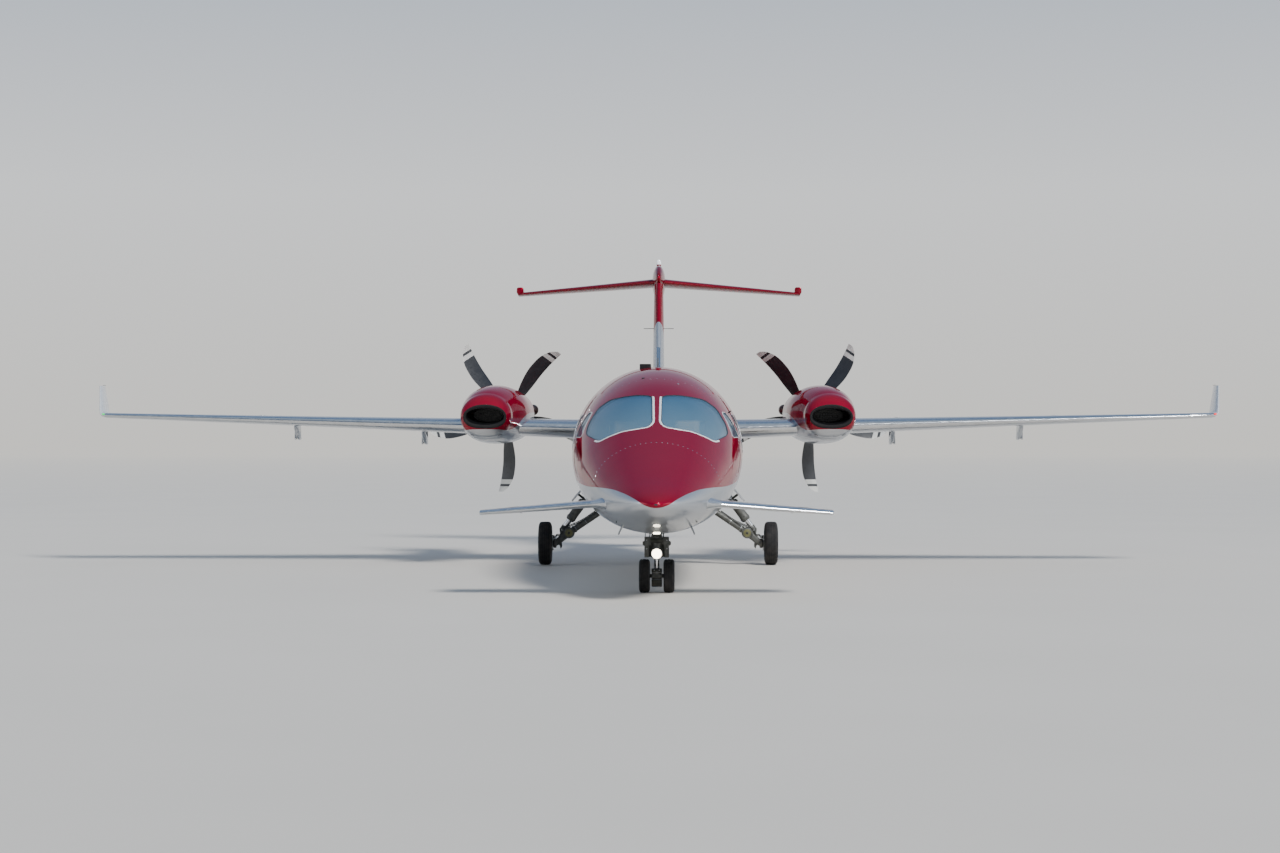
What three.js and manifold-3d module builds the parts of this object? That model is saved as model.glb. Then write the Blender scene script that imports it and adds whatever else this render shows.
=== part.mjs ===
// Twin turboprop business aircraft with a fore wing, a mid wing, two pusher propellers and a T tail.
// Units are millimetres. +Z is up, the nose points to -Y and the left side is +X.
// The origin is on the ground, on the centre line, halfway along the aircraft.
import * as THREE from "three";
import { mergeVertices } from "three/addons/utils/BufferGeometryUtils.js";
import Module from "manifold-3d";

const wasm = await Module();
wasm.setup();

// Driving dimensions. A station is a distance behind the tip of the nose.
const LENGTH = 14410;
const GAP = 0.3; // between touching pieces
const CLEAR = 8; // round moving pieces
const PIN_GAP = 0.8; // between a hinge pin's end and the piece that it holds
const WALL = 50; // fuselage skin, frames and trim together
const RING = 28; // points round a fuselage section
const INNER_RING = 14; // points round its inner side

// Fuselage sections.
// Columns: station, half width, top, bottom, height of the widest point.
const FUSELAGE = [
  [0, 14, 957, 943, 950],
  [25, 68, 984, 917, 950],
  [80, 124, 1014, 888, 951],
  [180, 194, 1056, 852, 953],
  [350, 280, 1114, 806, 957],
  [620, 388, 1200, 750, 965],
  [1000, 505, 1330, 690, 985],
  [1500, 635, 1505, 635, 1040],
  [1950, 722, 1668, 605, 1110],
  [2500, 815, 1868, 582, 1200],
  [3000, 875, 2045, 564, 1280],
  [3500, 917, 2190, 545, 1350],
  [4100, 948, 2312, 524, 1405],
  [5000, 972, 2405, 497, 1450],
  [6000, 975, 2422, 486, 1463],
  [7400, 954, 2412, 522, 1470],
  [8200, 918, 2395, 575, 1485],
  [9000, 858, 2370, 665, 1515],
  [9800, 762, 2335, 800, 1570],
  [10600, 632, 2290, 980, 1650],
  [11300, 494, 2240, 1175, 1730],
  [12000, 325, 2170, 1410, 1800],
  [12450, 200, 2105, 1590, 1845],
  [12600, 110, 2040, 1690, 1865],
];

// Stations where the fuselage panels meet.
const JOIN = { radome: 620, cockpit: 1620, cabin: 3740, centre: 7420, rear: 9480, cone: 11300, end: 12600 };

// Lifting surfaces. X runs outboard, and lead is the station of the leading edge.
const WING = {
  tipX: 7015, rootLead: 7600, tipLead: 7890, rootChord: 1820, tipChord: 620,
  rootZ: 1683, rise: 0.0288, rootThick: 0.13, tipThick: 0.1,
};
const FOREPLANE = {
  tipX: 1750, rootLead: 1000, tipLead: 1240, rootChord: 790, tipChord: 550,
  rootZ: 979, rise: -0.0805, rootThick: 0.12, tipThick: 0.1,
};
const TAILPLANE = {
  tipX: 2125, rootLead: 12440, tipLead: 13820, rootChord: 1200, tipChord: 590,
  rootZ: 3870, rise: -0.047, rootThick: 0.1, tipThick: 0.09,
};
// The fin and the ventral fins are drawn lying flat, and then turned about the fuselage axis.
const FIN = {
  tipX: 1880, rootLead: 9650, tipLead: 11780, rootChord: 2960, tipChord: 1620,
  rootZ: 0, rise: 0, rootThick: 0.052, tipThick: 0.075,
};
const VENTRAL_FIN = {
  tipX: 780, rootLead: 11320, tipLead: 12250, rootChord: 1180, tipChord: 700,
  rootZ: 0, rise: 0, rootThick: 0.035, tipThick: 0.045,
};
const FIN_BASE = 2050;
const FIN_TOP = 3740;
const VENTRAL_BASE = 1800;
const VENTRAL_DROP = 52; // degrees below the horizontal
// Bullet fairing sections. Columns as for the fuselage.
const BULLET = [
  [11700, 10, 3882, 3862, 3872],
  [11850, 52, 3985, 3752, 3870],
  [12150, 84, 4072, 3670, 3868],
  [12600, 95, 4110, 3632, 3868],
  [13100, 92, 4095, 3650, 3870],
  [13550, 66, 4030, 3735, 3875],
  [13900, 12, 3925, 3897, 3910],
];

// Control surfaces: where each starts and ends, and the share of the chord ahead of its hinge.
const AILERON = { from: 5150, to: 6780, hinge: 0.75 };
const FLAP_OUTER = { from: 2525, to: 5120, hinge: 0.74 };
const FLAP_INNER = { from: 1030, to: 1610, hinge: 0.76 };
const FOREPLANE_FLAP = { from: 650, to: 1600, hinge: 0.7 };
const ELEVATOR = { from: 290, to: 1960, hinge: 0.68 };
const RUDDER = { from: 600, to: 1500, hinge: 0.69 };
const FLAP_ARM = { places: [3010, 4640], drop: 190, halfWidth: 30 }; // the outer flap's two hinge fairings

// Winglet sections. Columns: x, z, turn in degrees, leading edge, chord.
const WINGLET = [
  [7015, 1885, 0, 7890, 620],
  [7060, 1894, 35, 7920, 590],
  [7090, 1932, 68, 7965, 540],
  [7157, 2266, 78, 8240, 300],
];

// Nacelle sections. Columns as for the fuselage, then x of the section's middle.
const NACELLE = [
  [6950, 268, 2005, 1708, 1857, 2128],
  [7010, 292, 2062, 1664, 1862, 2127],
  [7250, 322, 2158, 1588, 1872, 2120],
  [7600, 372, 2228, 1545, 1890, 2098],
  [8000, 415, 2262, 1527, 1904, 2076],
  [8700, 432, 2268, 1526, 1915, 2065],
  [9400, 415, 2240, 1565, 1925, 2065],
  [9860, 335, 2196, 1650, 1938, 2065],
  [10275, 205, 2142, 1746, 1945, 2065],
];
const NACELLE_X = 2065;
const NACELLE_SKIN = 25;
const ENGINE = {
  from: 8650, to: 10080, radius: 205, endRadius: 165, z: 1955,
  exhaust: 9860, exhaustZ: 1965, exhaustRadius: 82, exhaustReach: 455,
};
const PROP = { station: 10425, z: 1945, blades: 5 };
// Spinner outline. Columns: place behind the propeller's middle, radius.
const SPINNER = [
  [-142, 0], [-142, 178], [40, 182], [200, 146], [340, 88], [440, 26], [466, 0],
];
// Propeller blade sections. Columns: radius, chord, thickness, sweep of its middle, pitch in degrees.
const BLADE = [
  [110, 110, 80, 0, 62],
  [250, 150, 44, 0, 58],
  [460, 222, 26, -16, 48],
  [720, 232, 17, -22, 40],
  [960, 175, 10, 24, 33],
  [1080, 70, 5, 92, 30],
];

// Undercarriage. x and z are of the wheel's middle.
const NOSE_WHEEL = {
  station: 1950, x: 126, z: 172, radius: 172, width: 118, rim: 88, bore: 20, axlePlay: 0.7,
};
const MAIN_WHEEL = {
  station: 7740, x: 1420, z: 272, radius: 272, width: 172, rim: 132, bore: 36, axlePlay: 0.65,
};
const KNEE = { x: 1119, z: 403, radius: 67, halfLength: 95 };
const LEG_STRUTS = [ // main leg, as seen from ahead: x and z of its foot, of its head, radius
  [[1119, 403], [533, 794], 38],
  [[1203, 440], [707, 988], 36],
];
const MAIN_KEEL = { to: 8350, top: 1080 };
const SOCKET_CLEAR = 14;
const NOSE_LEG = { halfWidth: 127, halfDepth: 52, lugReach: 146, top: 573, bore: 28, play: 0.8 };
const PISTON_TOP = 560;
const LAMP = { z: 404, radius: 56 };
const NOSE_WELL = { from: 1870, to: 2240, halfWidth: 120, top: 790 };
const STEER_GAP = 362; // height of the fixed nose leg's lower edge

// Openings in the fuselage
const WINDSCREEN = [ // x and z of the outline's corners, as seen from ahead
  [45, 1745], [52, 2030], [88, 2042], [205, 2050], [350, 2034], [510, 2003], [641, 1911], [740, 1740],
  [765, 1622], [600, 1550], [522, 1594], [358, 1657], [224, 1679], [95, 1700],
];
const SIDE_WINDOW = [[3080, 1600], [3400, 1865], [3620, 1865], [3620, 1600]]; // station and z
const WINDOW = { z: 1660, halfLength: 150, halfHeight: 190, first: 4105, pitch: 515, count: 7 };
const LINING = { low: 1630, high: 1690 }; // the clear strip that joins a side's panes
const DOOR = { from: 3800, to: 4410, low: -56, split: -8, high: 31 }; // degrees round the section's middle
const BAGGAGE = { from: 9560, to: 10160, low: 1400, high: 1980 };
const DOOR_EDGE = 0.85; // degrees, the clearance at a door's upper or lower edge
const DOOR_END = 13; // clearance at a door's front and rear edges, which swing a little along the cabin
const AXIS_Z = 1405; // height of the point that the door's angles are seen from
const HINGE_INSET = 8;

// Jacking pads, whose lower faces are flat. Places: x, station and height of the face.
const JACK = { nose: [0, 1350, 632], wing: [1350, 8100, 1600], radius: 45, depth: 80 };

// Interior
const KEEL = { to: 2500, top: 880 }; // the solid floor round the nose wheel's well
const FLOOR = 730;
const SEAT = { halfWidth: 230, depth: 470, cushionTop: 400, cushion: 140, backTop: 1060, back: 110 };

const paint = {
  red: { color: 0x8f0f2c, roughness: 0.22, metalness: 0.45 },
  silver: { color: 0xc9ccd0, roughness: 0.25, metalness: 0.6 },
  gear: { color: 0x6d716c, roughness: 0.5, metalness: 0.4 },
  rubber: { color: 0x17181a, roughness: 0.85, metalness: 0 },
  blade: { color: 0x2b2d30, roughness: 0.4, metalness: 0.2 },
  glass: { color: 0x7fa6bd, roughness: 0.05, metalness: 0, transparent: true, opacity: 0.35 },
  trim: { color: 0x8d8678, roughness: 0.8, metalness: 0 },
  leather: { color: 0xcdbfa5, roughness: 0.6, metalness: 0 },
  panel: { color: 0x24262a, roughness: 0.6, metalness: 0 },
};
const materials = Object.fromEntries(
  Object.entries(paint).map(([name, look]) => [name, new THREE.MeshStandardMaterial(look)]),
);

const aircraft = new THREE.Group();
const { lerp, degToRad } = THREE.MathUtils;
const at = (station) => station - LENGTH / 2; // Y of a station
const vec = (x, station, z) => new THREE.Vector3(x, at(station), z);

// A closed geometry as a solid, with its faces turned outwards.
function solid(geometry) {
  const points = geometry.getAttribute("position").clone();
  const plain = new THREE.BufferGeometry().setAttribute("position", points);
  if (geometry.index) plain.setIndex(geometry.index.clone());
  const merged = mergeVertices(plain, 1e-3);
  const vertProperties = merged.attributes.position.array;
  const triVerts = new Uint32Array(merged.index.array);
  const body = new wasm.Manifold(new wasm.Mesh({ numProp: 3, vertProperties, triVerts }));
  if (body.volume() > 0) return body;
  for (let i = 0; i < triVerts.length; i += 3) {
    [triVerts[i + 1], triVerts[i + 2]] = [triVerts[i + 2], triVerts[i + 1]];
  }
  return new wasm.Manifold(new wasm.Mesh({ numProp: 3, vertProperties, triVerts }));
}

function geometryOf(body) {
  const { vertProperties, triVerts } = body.getMesh();
  const geometry = new THREE.BufferGeometry();
  geometry.setAttribute("position", new THREE.BufferAttribute(vertProperties, 3));
  geometry.setIndex(new THREE.BufferAttribute(triVerts, 1));
  return geometry;
}

const join = (...bodies) => bodies.flat().reduce((whole, body) => whole.add(body));
const cut = (body, ...tools) => tools.flat().reduce((rest, tool) => rest.subtract(tool), body);
const moved = (body, matrix) => solid(geometryOf(body).applyMatrix4(matrix));
const mirrored = (body) => moved(body, new THREE.Matrix4().makeScale(-1, 1, 1));

// Adds a body to the aircraft. side -1 mirrors it across the centre line.
function place(name, body, material, side = 1) {
  const geometry = geometryOf(body).toNonIndexed();
  geometry.computeVertexNormals();
  const mesh = new THREE.Mesh(geometry, materials[material].clone());
  mesh.name = name;
  mesh.scale.x = side;
  aircraft.add(mesh);
}

function placePair(name, body, material) {
  place(name + "_left", body, material);
  place(name + "_right", body, material, -1);
}

// A smooth curve through one column of a table whose first column is the place along it.
function smooth(table, column, x) {
  const last = table.length - 1;
  let i = table.findIndex((row) => row[0] > x) - 1;
  if (i < 0) i = x < table[0][0] ? 0 : last - 1;
  const slope = (k) => {
    const low = table[Math.max(k - 1, 0)], high = table[Math.min(k + 1, last)];
    if (k === 0 || k === last) return (high[column] - low[column]) / (high[0] - low[0]);
    const a = table[k][0] - low[0], b = high[0] - table[k][0];
    return (b * (table[k][column] - low[column]) / a + a * (high[column] - table[k][column]) / b) / (a + b);
  };
  const width = table[i + 1][0] - table[i][0], t = (x - table[i][0]) / width;
  return (2 * t ** 3 - 3 * t ** 2 + 1) * table[i][column] + (t ** 3 - 2 * t ** 2 + t) * width * slope(i)
    + (3 * t ** 2 - 2 * t ** 3) * table[i + 1][column] + (t ** 3 - t ** 2) * width * slope(i + 1);
}

// A closed body through rings of points, one after another, with flat ends.
function loft(rings) {
  const count = rings[0].length, points = rings.flat(), index = [];
  for (let r = 0; r < rings.length - 1; r++) {
    for (let k = 0; k < count; k++) {
      const a = r * count + k, b = r * count + (k + 1) % count;
      index.push(a, b, a + count, b, b + count, a + count);
    }
  }
  const cap = (start, flip) => {
    const ring = points.slice(start, start + count);
    const middle = ring.reduce((sum, p) => sum.add(p), new THREE.Vector3()).divideScalar(count);
    const hub = points.push(middle) - 1;
    for (let k = 0; k < count; k++) {
      const a = start + k, b = start + (k + 1) % count;
      index.push(...(flip ? [hub, b, a] : [hub, a, b]));
    }
  };
  cap(0, true);
  cap((rings.length - 1) * count, false);
  return solid(new THREE.BufferGeometry().setFromPoints(points).setIndex(index));
}

// A point on a table's section, at an angle above the horizontal in radians, drawn in by inset.
function skinPoint(table, station, angle, inset, middle) {
  const [half, top, bottom, wide] = [1, 2, 3, 4].map((column) => smooth(table, column, station));
  const height = Math.sin(angle) > 0 ? top - wide : wide - bottom;
  return vec(
    middle + (half - inset) * Math.cos(angle), station, wide + (height - inset) * Math.sin(angle),
  );
}

// A body through a table's sections between two stations. Where the table has a sixth column,
// it holds x of each section's middle.
function hull(table, from, to, { inset = 0, count = RING } = {}) {
  const between = table.map((row) => row[0]).filter((s) => s > from + 15 && s < to - 15);
  const angles = Array.from({ length: count }, (_, k) => (k * 2 * Math.PI) / count);
  const middle = (s) => (table[0].length > 5 ? smooth(table, 5, s) : 0);
  const ring = (s) => angles.map((angle) => skinPoint(table, s, angle, inset, middle(s)));
  return loft([from, ...between, to].map(ring));
}

// A block between two corners, each given as x, station, z.
function block([x0, s0, z0], [x1, s1, z1]) {
  const box = new THREE.BoxGeometry(x1 - x0, s1 - s0, z1 - z0);
  return solid(box.translate((x0 + x1) / 2, (at(s0) + at(s1)) / 2, (z0 + z1) / 2));
}

// A round bar or cone between two points.
function bar(from, to, radius, endRadius = radius, sides = 10) {
  const along = to.clone().sub(from);
  const shape = new THREE.CylinderGeometry(endRadius, radius, along.length(), sides);
  const upright = new THREE.Vector3(0, 1, 0);
  shape.applyQuaternion(new THREE.Quaternion().setFromUnitVectors(upright, along.normalize()));
  const middle = from.clone().add(to).multiplyScalar(0.5);
  return solid(shape.translate(middle.x, middle.y, middle.z));
}

// A flat plate from an outline of number pairs, thick along one axis from low to high.
// Along x the pairs are station and z, along y they are x and z, along z they are x and station.
function plate(outline, along, low, high) {
  const shape = new THREE.Shape(outline.map(([a, b]) => new THREE.Vector2(a, b)));
  const body = new THREE.ExtrudeGeometry(shape, { depth: high - low, bevelEnabled: false });
  const turn = new THREE.Matrix4();
  if (along === "x") turn.set(0, 0, 1, 0, 1, 0, 0, at(0), 0, 1, 0, 0, 0, 0, 0, 1);
  if (along === "y") turn.set(1, 0, 0, 0, 0, 0, 1, at(0), 0, 1, 0, 0, 0, 0, 0, 1);
  if (along === "z") turn.set(1, 0, 0, 0, 0, 1, 0, at(0), 0, 0, 1, 0, 0, 0, 0, 1);
  return solid(body.translate(0, 0, low).applyMatrix4(turn));
}

// An outline whose corners are rounded.
function rounded(corners, radius, steps = 2) {
  const points = corners.map(([a, b]) => new THREE.Vector2(a, b));
  return points.flatMap((here, k) => {
    const before = points.at(k - 1).clone().sub(here);
    const after = points[(k + 1) % points.length].clone().sub(here);
    const reach = Math.min(radius, before.length() / 2.1, after.length() / 2.1);
    const start = before.setLength(reach).add(here), end = after.setLength(reach).add(here);
    return new THREE.QuadraticBezierCurve(start, here, end).getPoints(steps).map((p) => [p.x, p.y]);
  });
}

const rectangle = (a0, b0, a1, b1) => [[a0, b0], [a1, b0], [a1, b1], [a0, b1]];

// An outline drawn in towards its middle by about a given distance.
function shrunk(outline, distance) {
  const points = outline.map(([a, b]) => new THREE.Vector2(a, b));
  const middle = points.reduce((sum, p) => sum.add(p), new THREE.Vector2()).divideScalar(points.length);
  return points.map((p) => {
    const away = p.clone().sub(middle);
    away.setLength(away.length() - distance).add(middle);
    return [away.x, away.y];
  });
}

// A body turned about an axis along x or y. The profile holds pairs: place along the axis, radius.
function turnedBody(profile, centre, axis, sides = 24) {
  const points = profile.map(([along, radius]) => new THREE.Vector2(radius, along));
  const body = new THREE.LatheGeometry(points, sides);
  if (axis === "x") body.rotateZ(-Math.PI / 2);
  return solid(body.translate(centre.x, centre.y, centre.z));
}

// Fuselage
const slab = (from, to) => block([-1200, from, 300], [1200, to, 2600]);
const skin = hull(FUSELAGE, 0, JOIN.end);
const skinGrown = hull(FUSELAGE, 0, JOIN.end, { inset: -GAP });
const panel = (from, to) => skin.intersect(slab(from + GAP / 2, to - GAP / 2));

// The space inside the fuselage between two stations, drawn in by inset from the skin. It is cut from
// the same loft whatever the stations are, so that linings and panes stay parallel to the wall.
function inside(from, to, inset = WALL) {
  const count = inset < WALL / 2 ? RING : INNER_RING;
  return hull(FUSELAGE, JOIN.radome, JOIN.end - 150, { inset, count }).intersect(slab(from, to));
}

// A jacking pad that stands out below a skin.
const jackPad = ([x, station, face]) =>
  bar(vec(x, station, face + JACK.depth), vec(x, station, face), JACK.radius);

function noseCone() {
  place("radome", skin.intersect(slab(-10, JOIN.radome - GAP / 2)), "red");
  place("nose_section", join(panel(JOIN.radome, JOIN.cockpit), jackPad(JACK.nose)), "red");
}

// The sectors that the windscreen and the side window are cut with, on the left side.
const windscreenCut = (shrink) => plate(shrunk(WINDSCREEN, shrink), "y", 1900, 3390);
const sideWindowCut = (shrink) => plate(shrunk(rounded(SIDE_WINDOW, 70), shrink), "x", 500, 1100);

function cockpit() {
  const keel = block([-1000, JOIN.cockpit, 300], [1000, KEEL.to, KEEL.top]);
  const hollow = cut(inside(JOIN.cockpit + WALL, JOIN.cabin + WALL), keel);
  const { from, to, halfWidth, top } = NOSE_WELL;
  const well = block([-halfWidth, from, 300], [halfWidth, to, top]);
  const windows = [windscreenCut(0), sideWindowCut(0)];
  const shell = cut(panel(JOIN.cockpit, JOIN.cabin), hollow, well, windows, windows.map(mirrored));
  place("cockpit_shell", shell, "red");
}

// The windscreen and the side window of one side are one bent pane, held behind the post between them.
function cockpitGlass() {
  const leaf = (outer, inner) => cut(
    inside(1950, 3700, outer), inside(1900, 3720, inner), block([-2000, 1900, 0], [30, 3800, 3000]),
  );
  const front = leaf(14, 62).intersect(windscreenCut(0.6));
  const side = leaf(14, 62).intersect(sideWindowCut(0.6));
  const strip = leaf(WALL + GAP, 62).intersect(plate(
    [[2960, 1620], [3160, 1620], [3480, 1850], [3400, 1900], [3300, 1850]], "x", 400, 1100,
  ));
  placePair("windscreen", join(front, strip, side), "glass");
}

// A sector of the fuselage between two stations and two angles, seen from its middle.
function sector(from, to, low, high) {
  const middle = [0, AXIS_Z], reach = 1600;
  const ray = (angle) => {
    const turn = degToRad(angle);
    return [middle[0] + reach * Math.cos(turn), middle[1] + reach * Math.sin(turn)];
  };
  return plate([middle, ray(low), ray((low + high) / 2), ray(high)], "y", from, to);
}

// The line just inside the skin that a door turns about, at an angle seen as the sector's are.
function doorHinge({ from, to }, angle) {
  return [from, to].map((station) => {
    let near = 0, far = 1600;
    const point = (reach) => vec(
      reach * Math.cos(degToRad(angle)), station, AXIS_Z + reach * Math.sin(degToRad(angle)),
    );
    const [half, top, bottom, wide] = [1, 2, 3, 4].map((column) => smooth(FUSELAGE, column, station));
    for (let step = 0; step < 30; step++) {
      const { x, z } = point((near + far) / 2);
      const height = (z > wide ? top - wide : wide - bottom) - HINGE_INSET;
      const outside = (x / (half - HINGE_INSET)) ** 2 + ((z - wide) / height) ** 2 > 1;
      if (outside) far = (near + far) / 2;
      else near = (near + far) / 2;
    }
    return point(near);
  });
}

// Stub pins at both ends of a hinge line, which reach to just short of the moving piece.
function hingePins([start, end], clearance = CLEAR, radius = 5) {
  const along = end.clone().sub(start).normalize();
  const stub = (from, way) => bar(
    from.clone().addScaledVector(along, -10 * way),
    from.clone().addScaledVector(along, (clearance - PIN_GAP) * way), radius, radius, 6,
  );
  return [stub(start, 1), stub(end, -1)];
}

const windowStations = Array.from({ length: WINDOW.count }, (_, k) => WINDOW.first + k * WINDOW.pitch);

// One cabin window's outline, made smaller all round by shrink.
function windowCut(station, shrink, side = 1) {
  const length = WINDOW.halfLength - shrink, height = WINDOW.halfHeight - shrink;
  const box = rectangle(station - length, WINDOW.z - height, station + length, WINDOW.z + height);
  return plate(rounded(box, 110), "x", side > 0 ? 500 : -1200, side > 0 ? 1200 : -500);
}

function cabin() {
  const { from, to, low, split, high } = DOOR;
  const walls = cut(panel(JOIN.cabin, JOIN.centre), inside(JOIN.cabin - WALL, JOIN.centre + WALL));
  const right = windowStations.map((station) => windowCut(station, 0, -1));
  const left = windowStations.map((station) => windowCut(station, 0));
  const doorway = sector(from, to, low, high);
  const pins = [high - DOOR_EDGE, low + DOOR_EDGE].flatMap((angle) => {
    return hingePins(doorHinge(DOOR, angle), DOOR_END);
  });
  place("cabin_shell", join(cut(walls, right, left.slice(1), doorway), pins), "red");

  const upper = walls.intersect(
    sector(from + DOOR_END, to - DOOR_END, split + DOOR_EDGE / 2, high - DOOR_EDGE),
  );
  place("door_upper", cut(upper, left[0]), "red");
  place("door_window", windowPane(windowStations[0], 1), "glass");
  const lower = walls.intersect(
    sector(from + DOOR_END, to - DOOR_END, low + DOOR_EDGE, split - DOOR_EDGE / 2),
  );
  place("door_lower", join(lower, airstair()), "silver");
}

// Two steps on the inner face of the lower door, which lies flat when it is open.
function airstair() {
  const { from, to } = DOOR;
  const tread = (angle) => sector(from + 90, to - 90, angle - 1.6, angle + 1.6)
    .intersect(cut(inside(from, to, WALL - 5), inside(from - 50, to + 50, WALL + 150)));
  return [tread(-22), tread(-36)];
}

// A pane that fills one window opening.
function windowPane(station, side) {
  const leaf = cut(inside(station - 200, station + 200, 12), inside(station - 250, station + 250, 34));
  return leaf.intersect(windowCut(station, 0.4, side));
}

// The panes of one side are joined by the clear inner lining behind the wall.
function cabinWindows() {
  const lining = (from, to, side) => cut(inside(from, to, WALL + GAP), inside(from - 50, to + 50, 58))
    .intersect(block([side > 0 ? 500 : -1200, from, LINING.low], [side > 0 ? 1200 : -500, to, LINING.high]));
  const pane = (station, side) => cut(
    inside(station - 200, station + 200, 12), inside(station - 250, station + 250, 58),
  ).intersect(windowCut(station, 0.4, side));
  const side = (stations, way) => join(
    lining(stations[0] - 120, stations.at(-1) + 120, way), stations.map((station) => pane(station, way)),
  );
  place("cabin_windows_left", side(windowStations.slice(1), 1), "glass");
  place("cabin_windows_right", side(windowStations, -1), "glass");
}

// The cabin's end wall, and the floor, which is cut back from the door.
function floorAndBulkhead() {
  const end = JOIN.centre - 20;
  place("rear_bulkhead", inside(end - 30, end, WALL + GAP), "trim");
  const sheet = block([-1000, KEEL.to + GAP, FLOOR - 30], [1000, end - 30 - GAP, FLOOR]);
  const doorSill = cut(
    panel(DOOR.from - CLEAR, DOOR.to + CLEAR), inside(DOOR.from - WALL, DOOR.to + WALL, WALL + CLEAR),
  ).intersect(block([0, DOOR.from - WALL, 300], [1200, DOOR.to + WALL, 2600]));
  place("floor", cut(sheet.intersect(inside(KEEL.to, JOIN.centre, WALL + GAP)), doorSill), "trim");
}

// A seat that faces forward when way is 1 and aft when it is -1.
function seat(x, station, floor, way) {
  const { halfWidth, depth, cushionTop, cushion, backTop, back } = SEAT;
  const [low, high] = way > 0 ? [station, station + depth] : [station - depth, station];
  const backFrom = way > 0 ? high - back : low;
  return [
    block([x - 65, low + 60, floor], [x + 65, high - 60, floor + cushionTop - cushion + 10]),
    block([x - halfWidth, low, floor + cushionTop - cushion], [x + halfWidth, high, floor + cushionTop]),
    block(
      [x - halfWidth + 10, backFrom, floor + cushionTop - 40],
      [x + halfWidth - 10, backFrom + back, floor + backTop],
    ),
  ];
}

// Two seats share a floor rail: side by side in the cockpit, facing each other in the cabin.
function seats() {
  const floor = FLOOR + GAP, rail = 20;
  place("pilot_seats", join(
    block([-430, 3150, floor], [430, 3300, floor + rail]),
    [-330, 330].flatMap((x) => seat(x, 3000, floor, 1)),
  ), "leather");
  const rows = [[4950, -1], [5560, 1], [6200, 1]];
  placePair("cabin_seats", join(
    block([360, 4560, floor], [480, 6600, floor + rail]),
    rows.flatMap(([station, way]) => seat(425, station, floor, way)),
  ), "leather");
}

function instrumentPanel() {
  const outline = [[2560, 1180], [2640, 1180], [2760, 1480], [2560, 1530], [2500, 1480]];
  const body = plate(outline, "x", -1000, 1000).intersect(inside(2000, 3200, WALL + GAP));
  place("instrument_panel", body, "panel");
}

// Wings and tail
const FOIL_SHARES = [1, 0.72, 0.46, 0.24, 0.09, 0.02, 0]; // shares of the chord with a point

// Half the aerofoil's thickness at a share of its chord, as a share of the chord.
function foilHalf(share, thick) {
  const curve = 0.2969 * Math.sqrt(share) - 0.126 * share - 0.3516 * share ** 2
    + 0.2843 * share ** 3 - 0.1015 * share ** 4;
  return 5 * thick * curve + 0.0015 * share;
}

function foilAt(wing, x) {
  const t = x / wing.tipX;
  return {
    lead: lerp(wing.rootLead, wing.tipLead, t), chord: lerp(wing.rootChord, wing.tipChord, t),
    z: wing.rootZ + wing.rise * x, thick: lerp(wing.rootThick, wing.tipThick, t),
  };
}

// The ring of points round an aerofoil, grown by grow and turned up by turn.
function foilRing(x, { lead, chord, z, thick }, grow = 0, turn = 0) {
  const half = (share) => foilHalf(share, thick) * chord + grow;
  const upper = FOIL_SHARES.map((share) => [share, share ? half(share) : 0]);
  const lower = FOIL_SHARES.slice(0, -1).reverse().map((share) => [share, -half(share)]);
  return [...upper, ...lower].map(([share, up]) => {
    const edge = grow * (share === 1 ? 1 : share ? 0 : -1);
    return vec(x - up * Math.sin(turn), lead + share * chord + edge, z + up * Math.cos(turn));
  });
}

const foilLoft = (wing, from, to, grow = 0) =>
  loft([from, to].map((x) => foilRing(x, foilAt(wing, x), grow)));

// Height of a wing's lower skin at a share of its chord.
function lowerSkin(wing, x, share) {
  const { z, chord, thick } = foilAt(wing, x);
  return z - foilHalf(share, thick) * chord;
}

const hingeStation = (wing, surface, x) => foilAt(wing, x).lead + surface.hinge * foilAt(wing, x).chord;

// The ends of a surface's hinge line, at mid thickness, or at a height above the lower skin.
function hingeLine(wing, surface, above = null) {
  return [surface.from, surface.to].map((x) => {
    const z = above === null ? foilAt(wing, x).z : lowerSkin(wing, x, surface.hinge) + above;
    return vec(x, hingeStation(wing, surface, x), z);
  });
}

// Everything behind a hinge line, with ends square to it, drawn in by inset and moved aft by back.
function behind([start, end], inset, back) {
  const along = new THREE.Vector2(end.x - start.x, end.y - start.y).normalize();
  const aft = new THREE.Vector2(-along.y, along.x);
  const corner = (point, way, distance) => new THREE.Vector2(point.x, point.y - at(0))
    .addScaledVector(along, way * inset).addScaledVector(aft, distance).toArray();
  const reach = 1500, outline = [
    corner(start, 1, back), corner(end, -1, back), corner(end, -1, reach), corner(start, 1, reach),
  ];
  return plate(outline, "z", start.z - 500, start.z + 500);
}

// Parts a round-nosed surface from a wing. Returns the rest of the wing and the surface.
function splitRound(body, wing, surface) {
  const line = hingeLine(wing, surface);
  const along = line[1].clone().sub(line[0]).normalize();
  const half = (x) => foilHalf(surface.hinge, foilAt(wing, x).thick) * foilAt(wing, x).chord;
  const round = (inset, grow) => bar(
    line[0].clone().addScaledVector(along, inset), line[1].clone().addScaledVector(along, -inset),
    half(surface.from) + grow, half(surface.to) + grow, 12,
  );
  const moving = join(body.intersect(behind(line, CLEAR, 0)), round(CLEAR, -1));
  const fixed = cut(body, behind(line, 0, 0), round(0, CLEAR));
  return [join(fixed, hingePins(line)), moving];
}

// Parts a flap, hinged just above the lower skin, from a wing. Returns the rest and the flap.
function splitFlap(body, wing, surface) {
  const line = hingeLine(wing, surface, 6);
  const moving = body.intersect(behind(line, CLEAR, -10));
  const fixed = cut(body, behind(line, 0, -10 - CLEAR));
  return [join(fixed, hingePins(line)), moving];
}

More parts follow.
